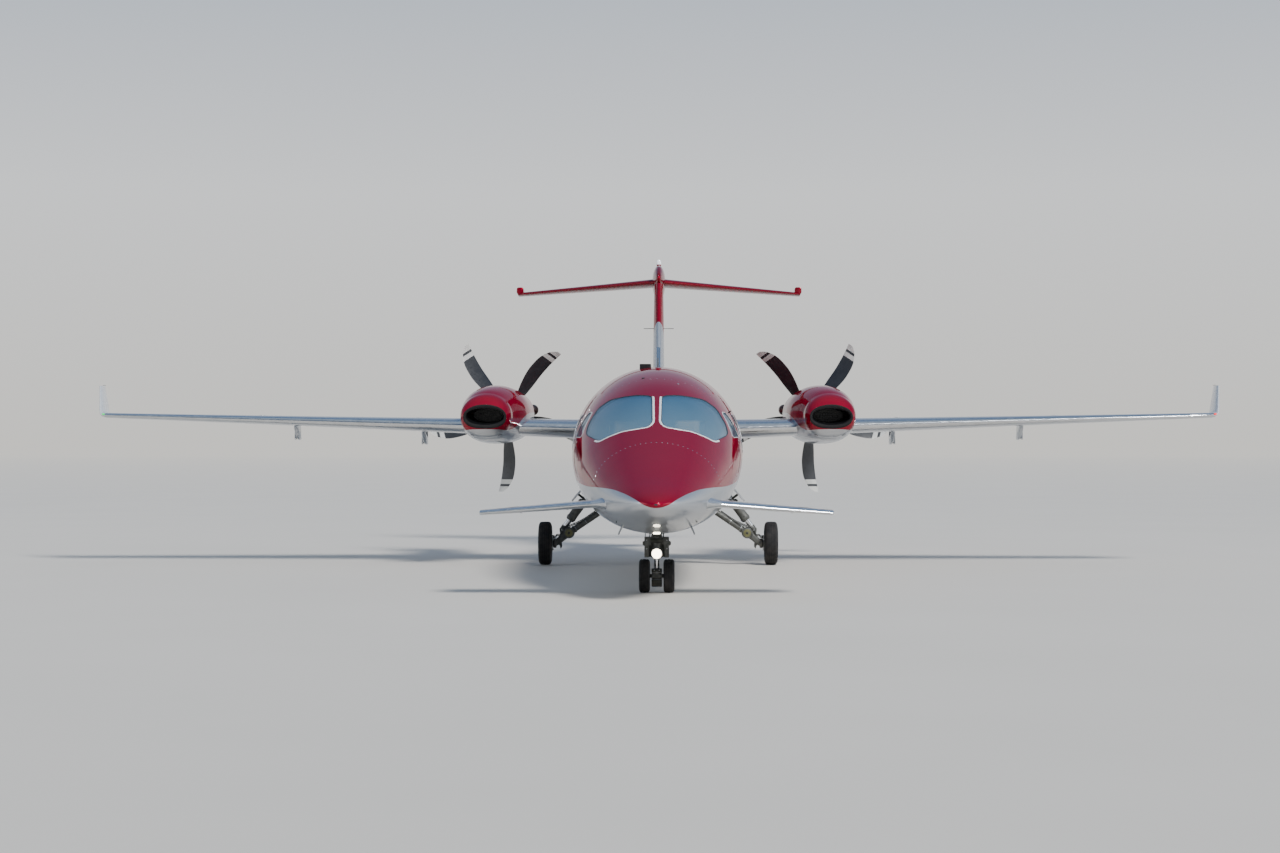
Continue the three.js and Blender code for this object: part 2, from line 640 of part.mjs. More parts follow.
// Parts the outer flap, which hangs from two fairings below the wing. Returns the rest and the flap.
function splitHungFlap(body, wing, surface) {
  const line = hingeLine(wing, surface, 0);
  const { places, drop, halfWidth } = FLAP_ARM;
  const axis = places.map((x) => {
    return vec(x, hingeStation(wing, surface, x), lowerSkin(wing, x, surface.hinge) - drop);
  });
  const along = axis[1].clone().sub(axis[0]).normalize();
  const pin = (point, radius, from, to) => bar(
    point.clone().addScaledVector(along, from), point.clone().addScaledVector(along, to), radius,
  );
  const armFrom = halfWidth + CLEAR, armTo = armFrom + 22;
  const fairings = places.map((x, k) => {
    const { lead, chord } = foilAt(wing, x), hinge = lead + surface.hinge * chord, low = axis[k].z;
    const skinAt = (share) => [lead + share * chord, lowerSkin(wing, x, share) + 12];
    const outline = [
      skinAt(0.36), [lead + 0.5 * chord, low + 110], [hinge - 60, low - 12], [hinge, low - 24],
      [hinge + 22, low - 8], [hinge + 18, low + 16], [hinge - 30, low + 70], skinAt(surface.hinge - 0.02),
    ];
    return join(plate(outline, "x", x - halfWidth, x + halfWidth), pin(axis[k], 10, 0, armTo + 6));
  });
  const arms = places.map((x, k) => {
    const { lead, chord } = foilAt(wing, x + armFrom), hinge = lead + surface.hinge * chord;
    const inFlap = (share) => [lead + share * chord, lowerSkin(wing, x + armFrom, share) + 10];
    const foot = axis[k].z + along.z / along.x * armFrom;
    const outline = [
      [hinge - 22, foot - 14], [hinge + 2, foot - 24], [hinge + 24, foot - 10], inFlap(0.86), inFlap(0.76),
    ];
    return cut(plate(outline, "x", x + armFrom, x + armTo), pin(axis[k], 10.9, 0, armTo + 20));
  });
  const moving = join(body.intersect(behind(line, CLEAR, 0)), arms);
  return [join(cut(body, behind(line, 0, -CLEAR)), fairings), moving];
}

// The main wing with its winglet, before its flaps and aileron are parted from it.
function wholeWing() {
  const panels = [600, WING.tipX].map((x) => foilRing(x, foilAt(WING, x)));
  const tips = WINGLET.slice(1).map(([x, z, turn, lead, chord]) =>
    foilRing(x, { lead, chord, z, thick: WING.tipThick }, 0, degToRad(turn)));
  return loft([...panels, ...tips]);
}

function wings() {
  let wing = cut(wholeWing(), skinGrown), aileron, inner, outer;
  [wing, aileron] = splitRound(wing, WING, AILERON);
  [wing, inner] = splitFlap(wing, WING, FLAP_INNER);
  [wing, outer] = splitHungFlap(wing, WING, FLAP_OUTER);
  placePair("wing", join(wing, jackPad(JACK.wing)), "silver");
  placePair("aileron", aileron, "silver");
  placePair("flap_inner", inner, "silver");
  placePair("flap_outer", outer, "silver");
}

function foreplanes() {
  const whole = cut(foilLoft(FOREPLANE, 200, FOREPLANE.tipX), skinGrown);
  const [foreplane, flap] = splitFlap(whole, FOREPLANE, FOREPLANE_FLAP);
  placePair("foreplane", foreplane, "silver");
  placePair("foreplane_flap", flap, "silver");
}

// Turns a surface that lies flat about the fuselage's axis: 90 degrees stands it up.
function stood(body, degrees, base) {
  const turn = new THREE.Matrix4().makeRotationY(-degToRad(degrees));
  return moved(body, turn.setPosition(0, 0, base));
}

function tail() {
  const bullet = join(
    hull(BULLET, BULLET[0][0], BULLET.at(-1)[0], { count: 12 }),
    bar(vec(0, 12480, 4080), vec(0, 12480, 4188), 34, 14),
  );
  const bulletGrown = hull(BULLET, BULLET[0][0], BULLET.at(-1)[0], { inset: -GAP, count: 12 });
  const [finRest, rudder] = splitRound(foilLoft(FIN, 0, FIN_TOP - FIN_BASE), FIN, RUDDER);
  place("fin", cut(stood(finRest, 90, FIN_BASE), skinGrown, bulletGrown), "red");
  place("rudder", stood(rudder, 90, FIN_BASE), "red");
  const [half, elevator] = splitRound(foilLoft(TAILPLANE, 0, TAILPLANE.tipX), TAILPLANE, ELEVATOR);
  place("tailplane", join(bullet, half, mirrored(half)), "red");
  placePair("elevator", elevator, "red");
}

function rearFuselage() {
  const { from, to, low, high } = BAGGAGE;
  const walls = cut(panel(JOIN.rear, JOIN.cone), inside(JOIN.rear - WALL, JOIN.cone - WALL));
  const doorCut = (end, edge) => plate(
    rectangle(from + end, low + edge, to - end, high - edge), "x", 400, 1200,
  );
  place("rear_fuselage", join(cut(walls, doorCut(0, 0)), hingePins(baggageHinge(), DOOR_END)), "red");
  place("baggage_door", walls.intersect(doorCut(DOOR_END, CLEAR)), "red");
  const ventral = stood(foilLoft(VENTRAL_FIN, 0, VENTRAL_FIN.tipX), -VENTRAL_DROP, VENTRAL_BASE);
  place("tail_cone", join(panel(JOIN.cone, JOIN.end), ventral, mirrored(ventral)), "red");
}

// The baggage door turns about the line at its upper edge, just inside the skin.
function baggageHinge() {
  const z = BAGGAGE.high - CLEAR;
  return [BAGGAGE.from, BAGGAGE.to].map((station) => {
    const [half, top, , wide] = [1, 2, 3, 4].map((column) => smooth(FUSELAGE, column, station));
    const share = (z - wide) / (top - wide - HINGE_INSET);
    return vec((half - HINGE_INSET) * Math.sqrt(1 - share ** 2), station, z);
  });
}

// The wall between the cabin and the tail, with the solid keel that the main legs stand in.
function centreSection() {
  const keel = block([-1000, JOIN.centre, 300], [1000, MAIN_KEEL.to, MAIN_KEEL.top]);
  const hollow = cut(inside(JOIN.centre - WALL, JOIN.rear + WALL), keel);
  const pockets = legSockets(SOCKET_CLEAR);
  place("centre_section", cut(panel(JOIN.centre, JOIN.rear), hollow, pockets, pockets.map(mirrored)), "red");
}

// Engines and propellers
const wingGrown = foilLoft(WING, 600, WING.tipX, GAP);

// The exhaust stubs of one engine, which stick out on both sides.
const exhaustBar = (radius, reach) => bar(
  vec(NACELLE_X - reach, ENGINE.exhaust, ENGINE.exhaustZ),
  vec(NACELLE_X + reach, ENGINE.exhaust, ENGINE.exhaustZ), radius,
);

function nacelles() {
  const [front, rear] = [NACELLE[0][0], NACELLE.at(-1)[0]];
  const outer = hull(NACELLE, front, rear, { count: 16 });
  const inner = hull(NACELLE, front - 10, rear + 10, { inset: NACELLE_SKIN, count: 12 });
  const holes = exhaustBar(ENGINE.exhaustRadius + GAP, 500);
  placePair("nacelle", cut(outer, inner, wingGrown, holes), "red");
}

// A plain block for the heavy engine, with its gear case, its shaft and its exhaust stubs.
function engines() {
  const { from, to, radius, endRadius, z } = ENGINE;
  const face = PROP.station + SPINNER[0][0];
  const body = join(
    bar(vec(NACELLE_X, from, z), vec(NACELLE_X, to, PROP.z + 3), radius, endRadius, 16),
    bar(vec(NACELLE_X, to - 20, PROP.z + 3), vec(NACELLE_X, to + 175, PROP.z), endRadius - 10, 75, 16),
    bar(vec(NACELLE_X, to, PROP.z), vec(NACELLE_X, face - GAP, PROP.z), 60),
    exhaustBar(ENGINE.exhaustRadius, ENGINE.exhaustReach),
  );
  placePair("engine", cut(body, wingGrown), "gear");
}

// One blade that points outboard, from rings of a lens-shaped section.
function blade() {
  const corners = Array.from({ length: 6 }, (_, k) => (k * Math.PI) / 3);
  return loft(BLADE.map(([radius, chord, thick, sweep, pitch]) => corners.map((corner) => {
    const a = (chord / 2) * Math.cos(corner), b = (thick / 2) * Math.sin(corner), turn = degToRad(pitch);
    return new THREE.Vector3(
      radius, a * Math.sin(turn) + b * Math.cos(turn), sweep + a * Math.cos(turn) - b * Math.sin(turn),
    );
  })));
}

function propellers() {
  const centre = vec(NACELLE_X, PROP.station, PROP.z);
  const hub = turnedBody(SPINNER, centre, "y", 16);
  const blades = Array.from({ length: PROP.blades }, (_, k) => {
    const fromTop = (2 * Math.PI * (k + 0.5)) / PROP.blades;
    const turn = new THREE.Matrix4().makeRotationY(fromTop - Math.PI / 2);
    return moved(blade(), turn.setPosition(centre));
  });
  placePair("propeller", join(hub, blades), "blade");
}

// Undercarriage
// A wheel part turned about the axle, standing on a flat of its outline.
function wheelBody(profile, wheel, x, sides) {
  const stretch = 1 / Math.cos(Math.PI / sides);
  const points = profile.map(([along, radius]) => new THREE.Vector2(radius * stretch, along));
  const body = new THREE.LatheGeometry(points, sides).rotateZ(-Math.PI / 2).rotateX(Math.PI / sides);
  return solid(body.translate(x, at(wheel.station), wheel.z));
}

// A tyre's closed outline: from bead to bead over the tread.
function tyreProfile({ radius, rim, width }) {
  const half = width / 2, deep = radius - rim;
  const side = [
    [0.72, rim + GAP], [0.96, rim + 0.3 * deep], [0.96, rim + 0.72 * deep], [0.72, radius - 0.05 * deep],
    [0.3, radius],
  ].map(([share, r]) => [share * half, r]);
  const outline = [...side.map(([a, r]) => [-a, r]), ...side.toReversed()];
  return [...outline, outline[0]];
}

// The main wheel's rim, with a bore for the axle.
function mainRimProfile({ rim, width, bore }) {
  const half = width / 2;
  const outline = [
    [-0.72, bore], [-0.72, bore + 22], [-0.2, rim - 30], [-0.76, rim - 14], [-0.76, rim],
    [0.76, rim], [0.76, rim - 12], [0.4, rim - 30], [0.72, bore + 18], [0.72, bore],
  ].map(([share, r]) => [share * half, r]);
  return [...outline, outline[0]];
}

function mainWheels() {
  const sides = 22;
  placePair("main_rim", wheelBody(mainRimProfile(MAIN_WHEEL), MAIN_WHEEL, MAIN_WHEEL.x, sides), "silver");
  placePair("main_tyre", wheelBody(tyreProfile(MAIN_WHEEL), MAIN_WHEEL, MAIN_WHEEL.x, sides), "rubber");
}

// The main leg's two struts, as seen from ahead: lower end, upper end in its socket, radius.
function legStrut([x0, z0], [x1, z1], radius, short = 0) {
  const foot = vec(x0, MAIN_WHEEL.station, z0), head = vec(x1, MAIN_WHEEL.station, z1);
  const along = head.clone().sub(foot).normalize();
  return bar(foot, head.addScaledVector(along, -short), radius);
}

const legSockets = (clearance) =>
  LEG_STRUTS.map(([foot, head, radius]) => legStrut(foot, head, radius + clearance));

function mainLegs() {
  const { station, x, z, bore, axlePlay } = MAIN_WHEEL, face = x - 96;
  const knee = vec(KNEE.x, station, KNEE.z), barrel = new THREE.Vector3(0, KNEE.halfLength, 0);
  const [foot, head] = LEG_STRUTS[1], axle = bore - axlePlay;
  const leg = join(
    bar(knee.clone().sub(barrel), knee.clone().add(barrel), KNEE.radius, KNEE.radius, 16), // pivot barrel
    bar(knee, vec(face - 34, station, z + 10), 48, 44), // trailing arm
    bar(vec(face - 42, station, z), vec(face, station, z), 60, 52, 16), // axle flange
    bar(vec(face - 34, station, z), vec(x + 76, station, z), axle, axle, 16),
    bar(vec(face - 134, station, z + 73), vec(foot[0], station, foot[1]), 30), // lug of the shock strut
    LEG_STRUTS.map(([low, high, radius]) => legStrut(low, high, radius, GAP)),
    bar(vec(1060, station, 588), vec((foot[0] + head[0]) / 2 - 75, station, 794), 58), // shock cylinder
  );
  placePair("main_leg", leg, "gear");
  const door = plate([[792, 1090], [808, 1106], [1086, 816], [1070, 800]], "y", station - 220, station + 190);
  placePair("main_gear_door", cut(door, skinGrown), "silver");
}

// The nose leg: a cylinder in the well, a yoke with the lamp and the towing lugs, and a drag stay.
function noseLeg() {
  const { station } = NOSE_WHEEL, { halfWidth, lugReach, top, bore } = NOSE_LEG;
  const front = station - NOSE_LEG.halfDepth, back = station + NOSE_LEG.halfDepth;
  const bridge = (low, high) => block([-halfWidth, front, low], [halfWidth, back, high]);
  const cheek = block([halfWidth - 40, front, STEER_GAP], [halfWidth, back, top]);
  const body = join(
    bar(vec(0, station, STEER_GAP), vec(0, station, NOSE_WELL.top - GAP), 60, 60, 16),
    bridge(STEER_GAP, STEER_GAP + 40), bridge(top - 52, top), cheek, mirrored(cheek),
    block([-lugReach, station - 22, 484], [lugReach, station + 22, 528]),
    bar(vec(0, station - 30, LAMP.z), vec(0, station - 125, LAMP.z), LAMP.radius - 12, LAMP.radius, 16),
    bar(vec(0, station + 20, 470), vec(0, NOSE_WELL.to - 40, NOSE_WELL.top - 40), 24),
    block([-40, NOSE_WELL.to - 75, NOSE_WELL.top - 60], [40, NOSE_WELL.to - 15, NOSE_WELL.top - GAP]),
  );
  const piston = bar(vec(0, station, 300), vec(0, station, PISTON_TOP), bore, bore, 16);
  place("nose_leg", cut(body, piston), "gear");
}

// The steered fork: a piston in the leg, and a housing for the axle.
function noseFork() {
  const { station, z, bore, axlePlay } = NOSE_WHEEL;
  const piston = NOSE_LEG.bore - NOSE_LEG.play, hole = bore + axlePlay;
  const body = join(
    bar(vec(0, station, z + 20), vec(0, station, PISTON_TOP - GAP), piston, piston, 16),
    bar(vec(-52, station, z), vec(52, station, z), 40, 40, 16),
    bar(vec(0, station, z), vec(0, station, z + 62), 40, 34, 16),
  );
  place("nose_fork", cut(body, bar(vec(-80, station, z), vec(80, station, z), hole, hole, 16)), "gear");
}

function noseWheels() {
  const { station, x, z, bore, rim, width } = NOSE_WHEEL, sides = 18, half = width / 2;
  const rimProfile = [
    [-0.8, 0], [-0.8, bore + 16], [-0.25, rim - 22], [-0.76, rim - 10], [-0.76, rim],
    [0.76, rim], [0.76, rim - 10], [0.25, rim - 22], [0.8, bore + 12], [0.8, 0],
  ].map(([share, r]) => [share * half, r]);
  const rims = [x, -x].map((middle) => wheelBody(rimProfile, NOSE_WHEEL, middle, sides));
  place("nose_rims", join(bar(vec(-x, station, z), vec(x, station, z), bore, bore, 16), rims), "silver");
  placePair("nose_tyre", wheelBody(tyreProfile(NOSE_WHEEL), NOSE_WHEEL, x, sides), "rubber");
}

noseCone();
cockpit();
cockpitGlass();
cabin();
cabinWindows();
floorAndBulkhead();
seats();
instrumentPanel();
centreSection();
rearFuselage();
wings();
foreplanes();
tail();
nacelles();
engines();
propellers();
mainLegs();
mainWheels();
noseLeg();
noseFork();
noseWheels();

export default aircraft;
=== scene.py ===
"""Looks of a parked twin turboprop business aircraft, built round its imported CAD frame.

Lengths are millimetres and places are x, station, z, where a station is the distance behind the
tip of the nose. place_of() turns a place into the frame's metres.
"""
import logging
import math
from collections.abc import Callable, Iterable, Sequence
from dataclasses import dataclass, field
from enum import Enum, IntEnum

import bmesh
import bpy
from mathutils import Matrix, Vector


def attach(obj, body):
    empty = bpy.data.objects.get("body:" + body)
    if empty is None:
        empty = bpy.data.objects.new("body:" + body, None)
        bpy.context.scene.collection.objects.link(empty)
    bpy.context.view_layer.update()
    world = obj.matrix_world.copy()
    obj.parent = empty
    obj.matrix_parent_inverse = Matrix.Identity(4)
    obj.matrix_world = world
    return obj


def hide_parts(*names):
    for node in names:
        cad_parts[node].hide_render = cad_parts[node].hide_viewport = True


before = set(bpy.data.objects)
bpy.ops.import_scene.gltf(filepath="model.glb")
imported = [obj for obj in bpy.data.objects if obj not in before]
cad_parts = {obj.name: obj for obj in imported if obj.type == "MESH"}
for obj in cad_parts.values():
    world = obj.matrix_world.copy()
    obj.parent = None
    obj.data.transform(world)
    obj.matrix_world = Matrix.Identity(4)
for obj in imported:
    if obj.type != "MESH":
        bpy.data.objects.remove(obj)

LOG = logging.getLogger("aircraft")
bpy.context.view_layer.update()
LENGTH = 14410.0
MM = 0.001
ROOT = "airframe"

CREASE = math.radians(40)  # edges of a cut surface that turn by more than this stay sharp
RAY = 1600.0  # reaches from the middle of the cabin to well outside the skin
ACROSS, AFT, AHEAD, UP = (1, 0, 0), (0, 1, 0), (0, -1, 0), (0, 0, 1)

Pair = tuple[float, float]
Place = tuple[float, float, float]
Outline = Sequence[Pair]
Rows = Sequence[tuple[float, ...]]
Piece = bpy.types.Object
Socket = bpy.types.NodeSocket
Tree = bpy.types.NodeTree


class Side(IntEnum):
    """The two sides of the aircraft, each as the sign of its x."""

    LEFT = 1
    RIGHT = -1

    @property
    def word(self) -> str:
        """Returns the side's name, which ends the names of its pieces."""
        return self.name.lower()


class Axis(Enum):
    """The way that a plate is thick or an opening is cut."""

    X = "x"
    Y = "y"
    Z = "z"


class Cut(Enum):
    """What closed forms do to a piece: they are taken out of it, bound it, or join it."""

    REMOVE = "DIFFERENCE"
    KEEP = "INTERSECT"
    JOIN = "UNION"


def place_of(x: float, station: float, z: float) -> Vector:
    """Turns a place in millimetres, with x to the left of the centre line, into the frame's metres."""
    return Vector((x, station - LENGTH / 2, z)) * MM


def linear(hex_colour: str) -> tuple[float, float, float, float]:
    """Turns six hex digits of sRGB into linear red, green and blue, with full alpha."""
    parts = [int(hex_colour[i:i + 2], 16) / 255 for i in (0, 2, 4)]
    return (*[c / 12.92 if c <= 0.04045 else ((c + 0.055) / 1.055) ** 2.4 for c in parts], 1.0)


def add_node(tree: Tree, kind: str, settings: dict | None = None,
             links: dict | None = None) -> bpy.types.Node:
    """Adds a node to a material.

    Args:
        tree: the material's node tree.
        kind: the node's type name, such as ShaderNodeMix.
        settings: property names, or input names or numbers, with their values.
        links: input names or numbers with the sockets that feed them.

    Returns:
        The new node.
    """
    node = tree.nodes.new(kind)
    for key, value in (settings or {}).items():
        if isinstance(key, str) and hasattr(node, key):
            setattr(node, key, value)
        else:
            node.inputs[key].default_value = value
    for key, socket in (links or {}).items():
        tree.links.new(socket, node.inputs[key])
    return node


def new_material(name: str) -> tuple[bpy.types.Material, bpy.types.Node]:
    """Makes an empty material with a principled surface.

    Args:
        name: the material's name.

    Returns:
        The material and its principled node.
    """
    material = bpy.data.materials.new(name)
    material.use_nodes = True
    tree = material.node_tree
    tree.nodes.clear()
    surface = add_node(tree, "ShaderNodeBsdfPrincipled")
    add_node(tree, "ShaderNodeOutputMaterial", links={"Surface": surface.outputs[0]})
    return material, surface


def set_inputs(surface: bpy.types.Node, values: dict) -> None:
    """Sets inputs of a node, each to a value or to the socket that feeds it.

    Args:
        surface: the node.
        values: input names with values or sockets.
    """
    for name, value in values.items():
        if isinstance(value, Socket):
            surface.id_data.links.new(value, surface.inputs[name])
        else:
            surface.inputs[name].default_value = value


def object_space(tree: Tree) -> Socket:
    """Returns the socket of the piece's own coordinates, in metres."""
    return add_node(tree, "ShaderNodeTexCoord").outputs["Object"]


def mottle(tree: Tree, size_mm: float, detail: float = 3.0,
           stretch: Place = (1.0, 1.0, 1.0)) -> Socket:
    """Adds noise whose patches are about a given size.

    Args:
        tree: the material's node tree.
        size_mm: width of a patch.
        detail: how many finer octaves the noise has.
        stretch: how many times finer the patches are along each axis.

    Returns:
        The noise's value, about 0.5 on average.
    """
    scaled = add_node(tree, "ShaderNodeMapping", {"Scale": stretch}, {"Vector": object_space(tree)})
    noise = add_node(tree, "ShaderNodeTexNoise", {"Scale": 1000 / size_mm, "Detail": detail},
                     {"Vector": scaled.outputs[0]})
    return noise.outputs["Fac"]


def spread(tree: Tree, value: Socket, low: float, high: float,
           start: float = 0.3, end: float = 0.7) -> Socket:
    """Maps a value so that start gives low and end gives high."""
    return add_node(tree, "ShaderNodeMapRange", {1: start, 2: end, 3: low, 4: high}, {0: value}).outputs[0]


def mixed(tree: Tree, factor: Socket, low: object,
          high: object) -> Socket:
    """Mixes two colours, each given as hex digits or as a socket.

    Args:
        tree: the material's node tree.
        factor: 0 gives low and 1 gives high.
        low: first colour.
        high: second colour.

    Returns:
        The mixed colour.
    """
    node = add_node(tree, "ShaderNodeMix", {"data_type": "RGBA"}, {0: factor})
    for number, colour in ((6, low), (7, high)):
        if isinstance(colour, str):
            node.inputs[number].default_value = linear(colour)
        else:
            tree.links.new(colour, node.inputs[number])
    return node.outputs[2]


def roughen(tree: Tree, surface: bpy.types.Node, height: Socket,
            depth_mm: float, strength: float = 1.0) -> None:
    """Gives a surface a bump.

    Args:
        tree: the material's node tree.
        surface: the principled node.
        height: socket with the relief, from 0 to 1.
        depth_mm: height of the relief.
        strength: share of the relief that is used.
    """
    bump = add_node(tree, "ShaderNodeBump", {"Strength": strength, "Distance": depth_mm * MM},
                    {"Height": height})
    tree.links.new(bump.outputs[0], surface.inputs["Normal"])


@dataclass(frozen=True)
class ClearCoated:
    """Two-pack aircraft enamel, sprayed over a metallic base and polished: deep colour, sharp gloss."""

    name: str
    colour: str
    metallic: float = 0.55
    roughness: float = 0.3
    coat: float = 1.0
    orange_peel_mm: float = 9.0

    def material(self) -> bpy.types.Material:
        """Returns the finish as a material.

        Returns:
            The material.
        """
        material, surface = new_material(self.name)
        dress_enamel(material.node_tree, surface, self)
        return material


def dress_enamel(tree: Tree, surface: bpy.types.Node, finish: ClearCoated,
                 colour: Socket | None = None) -> None:
    """Gives a surface sprayed metallic enamel, with its flake, its peel and a film of dust.

    Args:
        tree: the material's node tree.
        surface: the principled node.
        finish: the enamel.
        colour: socket that takes the place of the enamel's own colour.
    """
    base = colour if colour else finish.colour
    drift = spread(tree, mottle(tree, 900, 4.0), 0.0, 0.015)
    paint = mixed(tree, drift, base, "9a938c")
    set_inputs(surface, {
        "Base Color": paint, "Specular Tint": paint, "Metallic": finish.metallic,
        "Coat Weight": finish.coat, "Coat Roughness": 0.02, "Coat IOR": 1.33, "IOR": 1.5,
        "Specular IOR Level": 0.0})
    haze = spread(tree, mottle(tree, 260, 5.0), finish.roughness - 0.04, finish.roughness + 0.05)
    set_inputs(surface, {"Roughness": haze})
    roughen(tree, surface, mottle(tree, finish.orange_peel_mm, 1.0), 0.01, 0.06)


class Boundary(Enum):
    """Where a two-tone scheme turns from silver to red: station and height pairs in millimetres."""

    FUSELAGE = ((0, 902), (25, 921), (80, 948), (165, 981), (300, 1012), (430, 1035), (600, 1057),
                (800, 1076), (1160, 1088), (1900, 1092), (2500, 1112), (3500, 1140), (5000, 1165),
                (7400, 1200), (9500, 1330), (11300, 1560), (12600, 1800))
    NACELLE = ((6950, 1704), (7150, 1692), (7450, 1730), (7700, 1830), (8000, 1895), (8700, 1925),
               (10300, 1950))
    FIN = ((9600, 4000), (11200, 3080), (11900, 2640), (12600, 2380), (13500, 2330))


@dataclass(frozen=True)
class TwoTone:
    """Candy red over a silver base, masked along a line: the silver has the coarser flake."""

    name: str
    boundary: Boundary
    red: ClearCoated = ClearCoated("red", "96002b", 0.5, 0.32, 0.75)
    silver: ClearCoated = ClearCoated("silver", "bfc3c8", 0.8, 0.2)
    seams: tuple[float, ...] = ()
    seam_mm: float = 3.5

    def material(self) -> bpy.types.Material:
        """Returns the scheme as a material.

        Returns:
            The material.
        """
        material, surface = new_material(self.name)
        tree = material.node_tree
        place = add_node(tree, "ShaderNodeSeparateXYZ", links={0: object_space(tree)})
        first, last = self.boundary.value[0][0], self.boundary.value[-1][0]
        along = add_node(tree, "ShaderNodeMapRange", {
            1: (first - LENGTH / 2) * MM, 2: (last - LENGTH / 2) * MM, 3: 0.0, 4: 1.0}, {0: place.outputs[1]})
        curve = add_node(tree, "ShaderNodeFloatCurve", links={"Value": along.outputs[0]})
        line = curve.mapping.curves[0]
        points = [((s - first) / (last - first), z * MM / 10) for s, z in self.boundary.value]
        for number, point in enumerate(points):
            if number in (0, len(points) - 1):
                line.points[0 if number == 0 else -1].location = point
            else:
                line.points.new(*point)
        curve.mapping.use_clip = False
        curve.mapping.update()
        height = add_node(tree, "ShaderNodeMath", {"operation": "MULTIPLY", 1: 10.0}, {0: curve.outputs[0]})
        over = add_node(tree, "ShaderNodeMath", {"operation": "SUBTRACT"},
                        {0: place.outputs[2], 1: height.outputs[0]})
        is_red = spread(tree, over.outputs[0], 0.0, 1.0, -0.0015, 0.0015)
        colour = mixed(tree, is_red, self.silver.colour, self.red.colour)
        for seam in self.seams:
            colour = self._seam(tree, place.outputs[1], colour, seam)
        dress_enamel(tree, surface, self.red, colour)
        metal = spread(tree, is_red, self.silver.metallic, self.red.metallic, 0.0, 1.0)
        set_inputs(surface, {"Metallic": metal})
        return material

    def _seam(self, tree: Tree, along: Socket, colour: Socket,
              station: float) -> Socket:
        """Darkens a joint between two skins, where sealant and dust lie in the gap.

        Args:
            tree: the material's node tree.
            along: the place along the aircraft, in metres.
            colour: the colour round the seam.
            station: where the seam is.

        Returns:
            The colour with the seam.
        """
        near = add_node(tree, "ShaderNodeMath", {
            "operation": "COMPARE", 1: (station - LENGTH / 2) * MM, 2: self.seam_mm * MM / 2}, {0: along})
        return mixed(tree, near.outputs[0], colour, "4a2a34")


@dataclass(frozen=True)
class PolishedMetal:
    """Bare aluminium or hard chrome, rubbed along one direction: bright, with fine lengthwise haze."""

    name: str
    colour: str = "d5d7d9"
    roughness: float = 0.18
    scratch_mm: float = 4.0
    stretch: Place = (0.05, 1.0, 1.0)

    def material(self) -> bpy.types.Material:
        """Returns the finish as a material.

        Returns:
            The material.
        """
        material, surface = new_material(self.name)
        tree = material.node_tree
        set_inputs(surface, {"Metallic": 1.0})
        rubbed = mottle(tree, self.scratch_mm, 4.0, self.stretch)
        set_inputs(surface, {
            "Base Color": mixed(tree, spread(tree, mottle(tree, 120, 4.0), 0.0, 0.25), self.colour, "8f9092"),
            "Roughness": spread(tree, rubbed, self.roughness - 0.06, self.roughness + 0.12)})
        roughen(tree, surface, rubbed, 0.02, 0.2)
        return material


@dataclass(frozen=True)
class GearEnamel:
    """Grey epoxy enamel brushed over forged steel: satin, with oily dust in the hollows."""

    name: str
    colour: str = "6f736c"
    grime: str = "2b2a26"
    roughness: float = 0.42

    def material(self) -> bpy.types.Material:
        """Returns the finish as a material.

        Returns:
            The material.
        """
        material, surface = new_material(self.name)
        tree = material.node_tree
        dirt = add_node(tree, "ShaderNodeMath", {"operation": "MULTIPLY"}, {
            0: spread(tree, mottle(tree, 45, 6.0), 0.0, 1.0, 0.42, 0.72),
            1: spread(tree, mottle(tree, 220, 3.0), 0.2, 0.9)})
        set_inputs(surface, {
            "Base Color": mixed(tree, dirt.outputs[0], self.colour, self.grime),
            "Roughness": spread(tree, mottle(tree, 30, 4.0), self.roughness, self.roughness + 0.2),
            "Metallic": 0.25, "IOR": 1.5})
        roughen(tree, surface, mottle(tree, 6, 3.0), 0.15, 0.4)
        return material


@dataclass(frozen=True)
class Rubber:
    """Carbon-filled tyre rubber, moulded: matt black, greyer where it is scuffed and dusty."""

    name: str
    colour: str = "17171a"
    dust: str = "4c4843"

    def material(self) -> bpy.types.Material:
        """Returns the finish as a material.

        Returns:
            The material.
        """
        material, surface = new_material(self.name)
        tree = material.node_tree
        dusty = spread(tree, mottle(tree, 60, 6.0), 0.02, 0.4, 0.35, 0.8)
        set_inputs(surface, {
            "Base Color": mixed(tree, dusty, self.colour, self.dust), "Roughness": 0.78, "IOR": 1.5,
            "Specular IOR Level": 0.35})
        roughen(tree, surface, mottle(tree, 4, 4.0), 0.25, 0.5)
        return material


@dataclass(frozen=True)
class Moulded:
    """Painted or moulded plastic and small painted parts: even colour under a fine grain."""

    name: str
    colour: str
    roughness: float = 0.5
    grain_mm: float = 3.0
    grain_depth_mm: float = 0.05
    shade: str = "101012"
    metallic: float = 0.0

    def material(self) -> bpy.types.Material:
        """Returns the finish as a material.

        Returns:
            The material.
        """
        material, surface = new_material(self.name)
        tree = material.node_tree
        set_inputs(surface, {"Base Color": mixed(tree, spread(tree, mottle(tree, 90, 4.0), 0.0, 0.16),
                                                 self.colour, self.shade),
                             "Roughness": spread(tree, mottle(tree, 25, 3.0), self.roughness - 0.05,
                                                 self.roughness + 0.08), "IOR": 1.5,
                             "Metallic": self.metallic})
        roughen(tree, surface, mottle(tree, self.grain_mm, 2.0), self.grain_depth_mm, 0.5)
        return material


